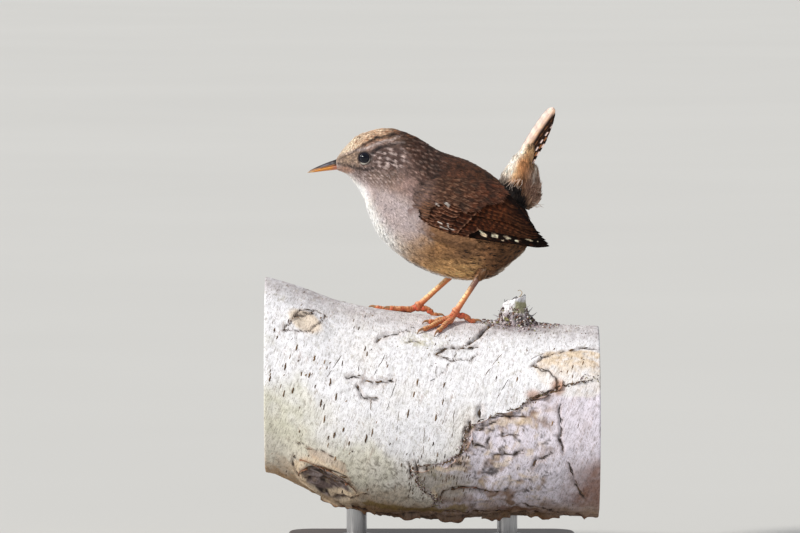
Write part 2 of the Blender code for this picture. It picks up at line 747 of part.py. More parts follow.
def make_leg(word, scale_skin, clearance):
    ankle, leaves, heel, _, _ = LEGS[word]
    stops = [ankle, ankle.lerp(leaves, 0.15), ankle.lerp(leaves, 0.5), ankle.lerp(leaves, 0.82),
             leaves, leaves.lerp(heel, 0.5), heel]
    radii = [TARSUS_RADIUS * 1.15, TARSUS_RADIUS, TARSUS_RADIUS * 0.95, TARSUS_RADIUS * 1.1,
             BOOT_RADIUS * 0.8, BOOT_RADIUS, BOOT_RADIUS]
    leg = tube(f"leg_{word}", stops, radii, scale_skin, sides=12, squeeze=0.82)
    cut(leg, [duplicate(clearance, "body_clearance"),
              ball("ankle_clearance", ankle, ANKLE_RADIUS + GAP, scale_skin, 10, 16)])


def toe_path(word, toe):
    """Centre points and radii of a toe along the limb, its direction and its claw's length."""
    ankle, _, _, heading, hind_heading = LEGS[word]
    spread, length, claw = TOES[toe]
    outward = 1 if ankle.y < 0 else -1
    bearing = math.radians(hind_heading if toe == "hind" else heading + outward * spread)
    ahead = Vector((math.cos(bearing), math.sin(bearing)))
    lifted = ankle.z - on_limb(ankle.x, ankle.y, TOE_RADIUS + GAP).z
    points, radii = [], []
    for t in spaced(0, 1, 3 * TOE_PADS):
        pad = 0.5 + 0.5 * math.cos(2 * math.pi * TOE_PADS * t)
        radius = TOE_RADIUS * (1.12 - 0.3 * t) * (0.88 + 0.16 * pad)
        x, y = ankle.x + ahead.x * length * t, ankle.y + ahead.y * length * t
        arch = TOE_ARCH * math.sin(math.pi * min(t * 1.15, 1.0)) ** 2
        rise = lifted * max(0.0, 1 - t / 0.3)           # the toes come down from the ankle
        points.append(on_limb(x, y, radius + GAP + arch) + Vector((0, 0, rise)))
        radii.append(radius)
    return points, radii, ahead, claw


def make_foot(word, scale_skin, horn):
    ankle = LEGS[word][0]
    pieces = [ball("ankle", ankle, ANKLE_RADIUS, scale_skin, 8, 12)]
    for toe in TOES:
        points, radii, ahead, claw = toe_path(word, toe)
        pieces.append(tube(toe, points, radii, scale_skin, sides=8))
        make_claw(f"claw_{word}_{toe}", points, radii[-1], ahead, claw, horn)
    fused(f"foot_{word}", pieces)


def make_claw(name, toe_points, toe_radius, ahead, length, horn):
    """A hooked claw that starts in front of the toe's end and curls down to the bark."""
    end = toe_points[-1]
    heading = (end - toe_points[-2]).normalized()
    start = end + heading * GAP
    points, radii = [], []
    for i in range(6):
        t = i / 5
        bend = math.radians(78) * t
        forward = length * 0.72 * math.sin(bend)
        over = on_limb(start.x + ahead.x * forward, start.y + ahead.y * forward, 0)
        height = (start.z - on_limb(start.x, start.y, 0).z) * (1 - t) + 0.55 * math.sin(math.pi * t)
        radius = toe_radius * 0.72 * (1 - t) + 0.14
        points.append(over + Vector((0, 0, max(height, radius + GAP + 0.05))))
        radii.append(radius)
    points[0] = start
    tube(name, points, radii, horn, sides=6)


# ---------------------------------------------------------------- assembly

def main():
    brown = material("brown plumage", (0.22, 0.13, 0.08), 0.8)
    wing_brown = material("rufous feather", (0.16, 0.08, 0.045), 0.7)
    tail_brown = material("barred tail feather", (0.42, 0.26, 0.14), 0.7)
    breast = material("pale breast", (0.55, 0.46, 0.38), 0.85)
    eye_black = material("eye", (0.01, 0.01, 0.012), 0.08)
    horn_dark = material("dark horn", (0.07, 0.06, 0.07), 0.35)
    horn_pale = material("orange horn", (0.75, 0.38, 0.12), 0.4)
    leg_skin = material("leg scales", (0.72, 0.36, 0.16), 0.5)
    claw_horn = material("claw horn", (0.5, 0.36, 0.24), 0.4)
    bark = material("birch bark", (0.72, 0.70, 0.64), 0.85)
    wood = material("stained wood", (0.06, 0.045, 0.035), 0.5)
    steel = material("steel", (0.6, 0.6, 0.6), 0.3, 1.0)

    make_limb(bark)
    make_stand(wood, steel)

    head, lids, sockets, _ = make_head(brown, eye_black)
    cut(fused("head", [head] + lids), sockets)
    body_part("neck", HEAD_ENDS + PARTING, NECK_ENDS, 6, brown)
    body_part("torso", NECK_ENDS + PARTING, len(BODY) - 1.0, 20, breast)
    make_bill(horn_dark, horn_pale)

    clearance = body_clearance(brown)
    wing = make_wing(wing_brown)
    mirrored(wing, "wing_right")
    tail = fused("tail", make_tail(tail_brown) + make_tail_coverts(tail_brown))
    cut(tail, [duplicate(clearance, "tail_clearance")])
    for word in LEGS:
        make_leg(word, leg_skin, clearance)
        make_foot(word, leg_skin, claw_horn)
    bpy.data.objects.remove(clearance)


for old in list(bpy.data.objects):
    bpy.data.objects.remove(old)
PARTS = bpy.data.collections.new("wren")
CUTTERS = bpy.data.collections.new("cutters")
bpy.context.scene.collection.children.link(PARTS)
bpy.context.scene.collection.children.link(CUTTERS)
main()
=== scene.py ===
import json
import math

import bmesh
import bpy
import numpy as np
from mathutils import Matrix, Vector
from mathutils.bvhtree import BVHTree

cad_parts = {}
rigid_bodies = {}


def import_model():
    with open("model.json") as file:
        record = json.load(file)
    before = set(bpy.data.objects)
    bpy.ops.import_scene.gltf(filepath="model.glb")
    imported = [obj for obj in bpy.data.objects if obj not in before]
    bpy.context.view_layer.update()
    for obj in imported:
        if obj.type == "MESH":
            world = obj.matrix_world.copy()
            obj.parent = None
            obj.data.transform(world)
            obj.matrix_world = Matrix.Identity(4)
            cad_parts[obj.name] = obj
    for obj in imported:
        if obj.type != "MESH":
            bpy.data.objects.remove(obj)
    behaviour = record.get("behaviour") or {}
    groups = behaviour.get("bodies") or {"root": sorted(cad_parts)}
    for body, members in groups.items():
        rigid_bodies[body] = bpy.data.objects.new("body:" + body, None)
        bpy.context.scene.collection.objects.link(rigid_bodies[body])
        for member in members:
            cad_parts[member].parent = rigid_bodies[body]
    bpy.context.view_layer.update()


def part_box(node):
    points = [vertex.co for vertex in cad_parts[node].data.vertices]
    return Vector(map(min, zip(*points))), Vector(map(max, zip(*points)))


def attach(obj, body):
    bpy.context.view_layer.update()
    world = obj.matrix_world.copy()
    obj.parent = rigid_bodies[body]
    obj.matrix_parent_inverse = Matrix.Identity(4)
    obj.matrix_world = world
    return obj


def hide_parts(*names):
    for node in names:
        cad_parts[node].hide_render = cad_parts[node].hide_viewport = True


# A wren, life size, on a cut length of birch limb over a plain stand.
# Shapes are worked out in millimetres in the bird's own frame: origin on top of the limb between
# the feet, bill along -X, the bird's left side -Y, up +Z. meshOf() lifts them to the shelf.

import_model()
mm = 0.001
zenith = 82.6           # height of the bird's own origin over the shelf
tau = 2 * math.pi


# small helpers

def rgb(red, green, blue):
    # a colour as seen on a screen, 0 to 255, made linear
    share = np.array([red, green, blue]) / 255
    return np.where(share <= 0.04045, share / 12.92, ((share + 0.055) / 1.055) ** 2.4)


def unit(vectors):
    vectors = np.asarray(vectors, float)
    return vectors / np.maximum(np.linalg.norm(vectors, axis=-1, keepdims=True), 1e-9)


def ease(value, low, high):
    share = np.clip((np.asarray(value, float) - low) / (high - low), 0, 1)
    return share * share * (3 - 2 * share)


def between(first, second, share):
    share = np.asarray(share, float)
    return np.asarray(first) * (1 - share[..., None]) + np.asarray(second) * share[..., None]


def layered(colour, *layers):
    # colours laid over one another, each with its share
    for tone, share in layers:
        colour = between(colour, tone, share)
    return colour


def lineAt(line, x):
    # read at x between pairs of numbers
    return np.interp(x, [p for p, _ in line], [q for _, q in line])


def turnFrom(middle, degrees):
    # how far a turn is from another, between -180 and 180
    return (np.asarray(degrees) - middle + 180) % 360 - 180


def alongRows(rows, place):
    # a smooth curve through equally spaced rows of numbers
    table = np.asarray(rows, float)
    place = np.clip(np.asarray(place, float), 0, len(table) - 1 - 1e-6)
    i = place.astype(int)
    t = (place - i)[..., None]
    before, here = table[np.maximum(i - 1, 0)], table[i]
    after, beyond = table[i + 1], table[np.minimum(i + 2, len(table) - 1)]
    return 0.5 * (2 * here + (after - before) * t
                  + (2 * before - 5 * here + 4 * after - beyond) * t ** 2
                  + (3 * here - before - 3 * after + beyond) * t ** 3)


# large primes that scramble whole numbers into fixed random ones
scramblePrimes = (73856093, 19349663, 83492791)
scrambleStep = 1274126177


def scrambled(i, j, k):
    # a fixed random number from 0 to 65535 for each cell
    found = (i * scramblePrimes[0]) ^ (j * scramblePrimes[1]) ^ (k * scramblePrimes[2])
    found = (found ^ (found >> 13)) * scrambleStep
    return (found ^ (found >> 16)) & 0xffff


def grain(points, size, seed=0):
    # smooth noise from -1 to 1 with lumps about as large as size
    where = np.asarray(points, float) / size + seed * 17.31
    cell = np.floor(where).astype(np.int64)
    share = where - cell
    share = share * share * (3 - 2 * share)
    total = np.zeros(where.shape[:-1])
    for corner in range(8):
        step = np.array([corner & 1, corner >> 1 & 1, corner >> 2 & 1])
        value = scrambled(*np.moveaxis(cell + step, -1, 0)) / 32767.5 - 1
        total += value * np.prod(np.where(step == 1, share, 1 - share), axis=-1)
    return total


def roughly(points, size, seed=0, octaves=3):
    total = 0.0
    for octave in range(octaves):
        total = total + grain(points, size / 2 ** octave, seed + octave * 7) / 2 ** octave
    return total / (2 - 2.0 ** (1 - octaves))


def chanceOf(i, j, seed):
    # a fixed random number from 0 to 1 for each cell
    return scrambled(i.astype(np.int64), j.astype(np.int64), seed) / 65535


def spotted(u, v, pitch, reach, seed, play=0.55):
    # oval spots in staggered rows, each a little out of place and of its own strength
    best = np.zeros(u.shape)
    for du in (-1, 0, 1):
        for dv in (-1, 0, 1):
            row = np.floor(v / pitch[1]) + dv
            shift = 0.5 * (row % 2)
            column = np.floor(u / pitch[0] - shift) + du
            middleU = (column + shift + 0.5 + play * (chanceOf(column, row, seed) - 0.5)) * pitch[0]
            middleV = (row + 0.5 + play * (chanceOf(column, row, seed + 1) - 0.5)) * pitch[1]
            away = np.hypot((u - middleU) / reach[0], (v - middleV) / reach[1])
            strength = 0.45 + 0.55 * chanceOf(column, row, seed + 2)
            best = np.maximum(best, (1 - ease(away, 0.6, 1.15)) * strength)
    return best


def gridFaces(rings, sides, closed=True):
    # quads between rings of points; closed joins the last point of a ring to its first
    i, j = np.meshgrid(np.arange(rings - 1), np.arange(sides if closed else sides - 1), indexing="ij")
    k = (j + 1) % sides
    quads = np.stack([i * sides + j, i * sides + k, (i + 1) * sides + k, (i + 1) * sides + j], -1)
    return quads.reshape(-1, 4).tolist()


def closedLoft(rings):
    # points and faces of a closed body through rings, with a middle point on each end
    rings = np.asarray(rings, float)
    count, sides = rings.shape[:2]
    points = np.concatenate([rings.reshape(-1, 3), rings[:1].mean(1), rings[-1:].mean(1)])
    faces = gridFaces(count, sides)
    first, last = count * sides, count * sides + 1
    for j in range(sides):
        k = (j + 1) % sides
        faces.append([first, k, j])
        faces.append([last, (count - 1) * sides + j, (count - 1) * sides + k])
    return points, faces


def volumeOf(points, faces):
    total = 0.0
    for size in {len(face) for face in faces}:
        corners = points[np.array([face for face in faces if len(face) == size])]
        for k in range(1, size - 1):
            total += float((corners[:, 0] * np.cross(corners[:, k], corners[:, k + 1])).sum())
    return total


def facingOut(points, faces):
    return faces if volumeOf(points, faces) > 0 else [face[::-1] for face in faces]


def joined(bodies):
    # several (points, faces) made one, each turned to face out
    points, faces, start = [], [], 0
    for bodyPoints, bodyFaces in bodies:
        points.append(bodyPoints)
        faces += [[v + start for v in face] for face in facingOut(bodyPoints, bodyFaces)]
        start += len(bodyPoints)
    return np.concatenate(points), faces


def lifted(points):
    # from mm in the bird's own frame to metres over the shelf
    return ((np.asarray(points) + (0, 0, zenith)) * mm).tolist()


def meshOf(name, points, faces, finish=None):
    mesh = bpy.data.meshes.new(name)
    mesh.from_pydata(lifted(points), [], faces)
    mesh.shade_smooth()
    if finish:
        mesh.materials.append(finish)
    return mesh


def loftMesh(name, rings, finish):
    # the mesh of a closed body through rings, and its points
    points, faces = closedLoft(rings)
    return meshOf(name, points, facingOut(points, faces), finish), points


def carry(mesh, name, kind, values):
    # an attribute with one value a vertex
    field = {"FLOAT_VECTOR": "vector", "FLOAT_COLOR": "color"}.get(kind, "value")
    number = np.int32 if kind == "INT" else np.float32
    mesh.attributes.new(name, kind, "POINT").data.foreach_set(field, np.asarray(values, number).ravel())


def read(data, key, width=1, number=np.float32):
    # values of mesh data, a row each where they are wider than one number
    values = np.empty(len(data) * width, number)
    data.foreach_get(key, values)
    return values.reshape(-1, width) if width > 1 else values


def placesOf(mesh):
    # a mesh's points in mm in the bird's own frame
    return read(mesh.vertices, "co", 3) / mm - (0, 0, zenith)


def setColours(mesh, colours, name="paint"):
    whole = np.ones((len(colours), 4))
    whole[:, :3] = np.clip(colours, 0, 1)
    carry(mesh, name, "FLOAT_COLOR", whole)


def setMap(mesh, places, seam=False):
    # a UV map from one place a vertex; faces over a seam reach on to the far side of the map
    uv = np.asarray(places, np.float32)[read(mesh.loops, "vertex_index", number=np.int32)]
    if seam:
        start, size = (read(mesh.polygons, key, number=np.int32) for key in ("loop_start", "loop_total"))
        widest = np.repeat(np.maximum.reduceat(uv[:, 0], start), size)
        uv[:, 0] = np.where((widest > 0.75) & (uv[:, 0] < 0.25), 0.98, uv[:, 0])
    mesh.uv_layers.new(name="OFBake").data.foreach_set("uv", uv.ravel())


def addPiece(name, mesh, slot, replaces=()):
    piece = bpy.data.objects.new(name, mesh)
    bpy.context.scene.collection.objects.link(piece)
    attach(piece, "root")
    if replaces:
        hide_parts(*replaces)
    mesh.calc_loop_triangles()
    print(name, len(mesh.loop_triangles), "triangles")
    return piece


# finishes

def node(tree, kind, inputs=None, **settings):
    made = tree.nodes.new(kind)
    for key, value in settings.items():
        setattr(made, key, value)
    for key, value in (inputs or {}).items():
        if isinstance(value, bpy.types.NodeSocket):
            tree.links.new(value, made.inputs[key])
        else:
            made.inputs[key].default_value = value
    return made


def newFinish(name, roughness, settings=None):
    # settings: values for other inputs of the shader
    finish = bpy.data.materials.new(name)
    finish.use_nodes = True
    shader = finish.node_tree.nodes["Principled BSDF"]
    for key, value in {"Roughness": roughness, **(settings or {})}.items():
        shader.inputs[key].default_value = value
    return finish, finish.node_tree, shader


def attributeOf(tree, name, output="Color"):
    return node(tree, "ShaderNodeAttribute", attribute_name=name).outputs[output]


def objectPlace(tree, scale=(1, 1, 1)):
    place = node(tree, "ShaderNodeTexCoord").outputs["Object"]
    return node(tree, "ShaderNodeMapping", {"Vector": place, "Scale": scale}).outputs["Vector"]


def slantedPlace(tree, degrees, stretch):
    # places turned about the limb's cross axis, then drawn out along two of the turned axes
    place = node(tree, "ShaderNodeTexCoord").outputs["Object"]
    turned = {"Vector": place, "Rotation": (0, math.radians(degrees), 0), "Scale": stretch}
    return node(tree, "ShaderNodeMapping", turned, vector_type="TEXTURE").outputs["Vector"]


def noise(tree, place, scale, detail=3.0, roughness=0.55):
    return node(tree, "ShaderNodeTexNoise", {"Vector": place, "Scale": scale, "Detail": detail,
                                             "Roughness": roughness}).outputs["Fac"]


def ramp(tree, value, stops):
    made = node(tree, "ShaderNodeValToRGB", {"Fac": value})
    elements = made.color_ramp.elements
    while len(elements) < len(stops):
        elements.new(0.5)
    for element, (position, colour) in zip(elements, stops):
        element.position = position
        element.color = (*colour, 1) if len(colour) == 3 else colour
    return made.outputs["Color"]


def mixed(tree, share, first, second, blend="MIX"):
    made = node(tree, "ShaderNodeMix", data_type="RGBA", blend_type=blend)
    for index, value in ((0, share), (6, first), (7, second)):
        if isinstance(value, bpy.types.NodeSocket):
            tree.links.new(value, made.inputs[index])
        else:
            made.inputs[index].default_value = (*value, 1) if index else value
    return made.outputs[2]


def times(tree, colour, *shades, share=1.0):
    # a colour darkened or lightened by each shade
    for shade in shades:
        colour = mixed(tree, share, colour, shade, "MULTIPLY")
    return colour


def spread(tree, value, low, high):
    settings = {"Value": value, "To Min": low, "To Max": high}
    return node(tree, "ShaderNodeMapRange", settings).outputs["Result"]


def bump(tree, shader, height, strength, distance, under=None):
    inputs = {"Height": height, "Strength": strength, "Distance": distance}
    if under:
        inputs["Normal"] = under
    made = node(tree, "ShaderNodeBump", inputs)
    tree.links.new(made.outputs["Normal"], shader.inputs["Normal"])
    return made.outputs["Normal"]


def dress(parts, colour, uneven, roughness, relief):
    # a finish's colour, its roughness between two values, and its height, strength and depth of relief
    finish, tree, shader = parts
    tree.links.new(colour, shader.inputs["Base Color"])
    tree.links.new(spread(tree, uneven, *roughness), shader.inputs["Roughness"])
    bump(tree, shader, *relief)
    return finish


def paintedFinish(name, roughness, sheen, fineness, contrast, relief):
    # a painted surface with fine uneven colour, roughness and relief of its own
    parts = newFinish(name, roughness, {"Sheen Weight": sheen, "Specular IOR Level": 0.3})
    tree = parts[1]
    place = objectPlace(tree)
    fine, broad = noise(tree, place, fineness), noise(tree, place, fineness / 7)
    shade = ramp(tree, fine, [(0.3, (1 - contrast,) * 3), (0.7, (1 + contrast * 0.4,) * 3)])
    tint = ramp(tree, broad, [(0.3, (0.93, 0.94, 0.97)), (0.7, (1.0, 0.99, 0.96))])
    colour = times(tree, attributeOf(tree, "paint"), shade, tint)
    return dress(parts, colour, broad, (roughness - 0.1, roughness + 0.1), (fine, relief, 0.0001))


# body: back point (x, z), breast point (x, z), half width, from the bill's base to the hind end
bodyRows = np.array([
    (-33.1, 54.2, -32.7, 50.7, 2.4), (-30.1, 58.4, -29.4, 49.3, 5.0), (-24.8, 63.0, -26.6, 46.2, 7.3),
    (-15.5, 65.2, -23.5, 41.1, 8.9), (-6.6, 62.8, -21.9, 35.9, 10.6), (2.4, 57.6, -17.9, 27.6, 13.6),
    (11.4, 53.6, -8.3, 19.0, 16.0), (19.0, 49.0, 5.5, 13.3, 16.2), (25.2, 43.8, 18.6, 13.1, 13.8),
    (30.4, 37.9, 27.3, 18.8, 9.4), (33.2, 33.0, 32.0, 24.0, 4.6), (34.4, 29.8, 34.2, 28.2, 1.2)])
lastRow = len(bodyRows) - 1.0

# swellings of the head and neck under the coat: x, z, reach along, reach up, height
headForms = [(-24.6, 58.9, 4.0, 1.5, 0.40), (-23.4, 55.1, 2.9, 2.5, -0.42), (-28.6, 54.0, 2.6, 1.8, -0.35),
             (-17.6, 52.6, 5.2, 3.8, 0.40), (-27.5, 50.6, 3.0, 1.8, 0.25), (-20.0, 59.6, 7.0, 1.0, -0.18)]
# depth of the coat over the skin, row by row
coatDepth = [(0, 0.12), (0.5, 0.22), (1.5, 0.35), (2.5, 0.42), (3.5, 0.55), (4.5, 0.7), (6, 0.85),
             (9, 0.95), (11, 0.9)]

eyeLow, eyeHigh = (np.array(corner) / mm - (0, 0, zenith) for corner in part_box("eye_left"))
eyeCentre = (eyeLow + eyeHigh) / 2
eyeRadius = float((eyeHigh - eyeLow).max()) / 2
eyeForward, eyeUp = math.radians(14), math.radians(8)
print("eye", eyeCentre.round(2), round(eyeRadius, 2))


def ringPoint(flat, turn, depth):
    # a point on the oval between a row's back and breast, sunk by a depth
    back, breast, width = flat[..., 0:2], flat[..., 2:4], flat[..., 4]
    middle, half = (back + breast) / 2, (back - breast) / 2
    reach = np.linalg.norm(half, axis=-1)
    up = middle + half * ((reach - depth) / reach * np.cos(turn))[..., None]
    return np.stack([up[..., 0], (width - depth) * np.sin(turn), up[..., 1]], -1)


def bodyPoint(row, turn, depth=None):
    # turn runs from 0 on the back by the right side to half a turn on the breast
    row, turn = np.broadcast_arrays(np.asarray(row, float), np.asarray(turn, float))
    flat = alongRows(bodyRows, row)
    depth = lineAt(coatDepth, row) if depth is None else np.broadcast_to(depth, row.shape)
    reach = np.linalg.norm(flat[..., 0:2] - flat[..., 2:4], axis=-1) / 2
    point = ringPoint(flat, turn, np.minimum(depth, np.minimum(reach, flat[..., 4]) * 0.7))
    swell = np.zeros(row.shape)
    for x, z, along, high, rise in headForms:
        near = ((point[..., 0] - x) / along) ** 2 + ((point[..., 2] - z) / high) ** 2
        swell += rise * np.exp(-near * 1.2)
    point[..., 1] += np.sign(point[..., 1]) * swell * np.abs(np.sin(turn)) ** 1.5
    return point


def bodyFrame(row, turn, depth=None):
    # point, direction towards the tail along the surface, outward normal
    row = np.minimum(np.asarray(row, float), lastRow - 0.06)
    here = bodyPoint(row, turn, depth)
    lie = unit(bodyPoint(row + 0.05, turn, depth) - here)
    aside = unit(bodyPoint(row, np.asarray(turn) + 0.03, depth) - here)
    return here, lie, unit(np.cross(lie, aside))


samples = 400
rowSamples = np.linspace(0, lastRow, samples)
flankLine = bodyPoint(rowSamples, np.full(samples, math.pi * 0.6), 0.0)
rowDistance = np.concatenate([[0], np.cumsum(np.linalg.norm(np.diff(flankLine, axis=0), axis=1))])


def distanceAt(row):
    # how far a row is from the bill, along the side, in mm
    return np.interp(row, rowSamples, rowDistance)


def cellPlaces(across, up):
    # places on the map, with a narrow rim left free
    return np.stack([0.02 + 0.96 * np.asarray(across), 0.02 + 0.96 * np.asarray(up)], -1)


def skinMap(row, turn):
    return cellPlaces((np.asarray(turn) / tau) % 1, distanceAt(row) / rowDistance[-1])


def fromBack(turn):
    # how far round a turn is: 0 on the back, 1 on the breast
    return np.abs((np.asarray(turn) + math.pi) % tau - math.pi) / math.pi


# markings, in side view; used by the skin and by the coat over it
feather = {
    # the upper side
    "forehead": rgb(244, 220, 194), "crown": rgb(200, 146, 108), "crownRear": rgb(88, 62, 48),
    "crownSpot": rgb(150, 96, 62), "crownPale": rgb(255, 236, 208), "nape": rgb(62, 39, 31),
    "mantle": rgb(88, 54, 38), "back": rgb(86, 53, 34), "rump": rgb(76, 42, 24), "bar": rgb(26, 15, 11),
    # the face and the side of the neck
    "brow": rgb(196, 178, 174), "stripe": rgb(30, 20, 22), "cheek": rgb(150, 124, 114), "ear": rgb(92, 71, 67),
    "earPale": rgb(208, 188, 184), "lores": rgb(170, 144, 126), "loresPale": rgb(222, 192, 166),
    "gape": rgb(206, 156, 128), "smudge": rgb(74, 58, 56), "neckSide": rgb(152, 126, 120),
    # the under side
    "throat": rgb(242, 228, 232), "breast": rgb(192, 176, 176), "breastHighlight": rgb(255, 254, 252),
    "breastLow": rgb(190, 158, 128), "belly": rgb(151, 111, 73), "bellyGold": rgb(252, 199, 135),
    "flank": rgb(156, 114, 80), "flankRear": rgb(172, 122, 84), "fleck": rgb(84, 56, 36),
    "vent": rgb(112, 76, 48), "ventPale": rgb(222, 204, 184),
}
# lines in side view as x, z pairs; the mantle's front as z, x pairs
crownLine = [(-33, 55.2), (-28.3, 57.4), (-20, 60.9), (-12.8, 62.6), (-4, 62), (8, 60)]
mantleFront = [(28, 4.0), (34, 1.0), (39, -2.0), (44, -4.5), (50, -6.5), (56, -9.5), (62, -14.0), (66, -18.0)]
paleTop = [(-34, 52.0), (-28, 50.2), (-22, 47.6), (-16, 44.0), (-9, 41.0), (-3, 37.0), (4, 33.5),
           (12, 31.5), (22, 30.0), (34, 27.0)]
ventLine = [(12, 12.6), (18, 14.6), (22, 16.8), (25, 19.2), (28, 21.6), (30, 23.4), (31, 24.6)]
bellyTop = [(-24, 27), (-14, 27.0), (-4, 28.5), (4, 31.0), (14, 31.5), (34, 30.0)]
browMarks = [
    # start, end, half width, strength
    ((-31.5, 56.0), (-27.4, 57.4), 0.42, 0.4), ((-25.6, 57.8), (-22.4, 58.6), 0.45, 0.8),
    ((-22.4, 58.7), (-20.2, 59.5), 0.36, 0.95), ((-20.4, 59.5), (-16.4, 61.0), 0.36, 1.0),
    ((-16.4, 61.0), (-13.4, 61.4), 0.34, 0.9), ((-13.6, 61.4), (-11.2, 62.8), 0.32, 0.9),
    ((-15.4, 60.4), (-9.6, 60.5), 0.30, 0.45), ((-20.8, 56.6), (-20.9, 54.6), 0.26, 0.5)]
stripeMarks = [
    ((-31.3, 55.0), (-30.7, 55.4), 0.30, 0.8), ((-29.9, 55.7), (-29.3, 56.0), 0.26, 0.7),
    ((-28.6, 56.2), (-28.0, 56.7), 0.30, 0.8), ((-27.3, 57.0), (-26.6, 57.7), 0.30, 0.8),
    ((-26.0, 58.0), (-23.8, 59.6), 0.30, 0.7), ((-23.8, 59.7), (-19.4, 61.9), 0.50, 0.95),
    ((-19.4, 62.0), (-13.2, 63.1), 0.62, 0.9), ((-13.2, 63.2), (-9.0, 63.4), 0.6, 0.55),
    ((-20.6, 57.0), (-17.6, 59.0), 0.72, 1.0), ((-18.0, 59.0), (-12.6, 60.1), 0.58, 0.9),
    ((-12.8, 60.1), (-9.0, 60.0), 0.4, 0.4), ((-32.4, 53.2), (-27.6, 52.2), 0.5, 0.7),
    ((-27.8, 52.2), (-22.6, 51.2), 0.66, 0.75), ((-22.8, 51.4), (-18.6, 52.0), 0.45, 0.5),
    ((-20.6, 54.2), (-20.0, 57.0), 0.40, 0.8), ((-27.0, 54.9), (-26.0, 56.6), 0.36, 0.4)]


def stroke(x, z, start, end, half, soft=0.5):
    # 1 inside a straight band between two places, fading out at its edges
    a, b = np.array(start, float), np.array(end, float)
    along = b - a
    share = np.clip(((x - a[0]) * along[0] + (z - a[1]) * along[1]) / along.dot(along), 0, 1)
    away = np.hypot(x - a[0] - share * along[0], z - a[1] - share * along[1])
    return 1 - ease(away, half * (1 - soft), half * (1 + soft))


def patch(x, z, centre, reach, soft=0.4):
    away = np.hypot((x - centre[0]) / reach[0], (z - centre[1]) / reach[1])
    return 1 - ease(away, 1 - soft, 1 + soft)


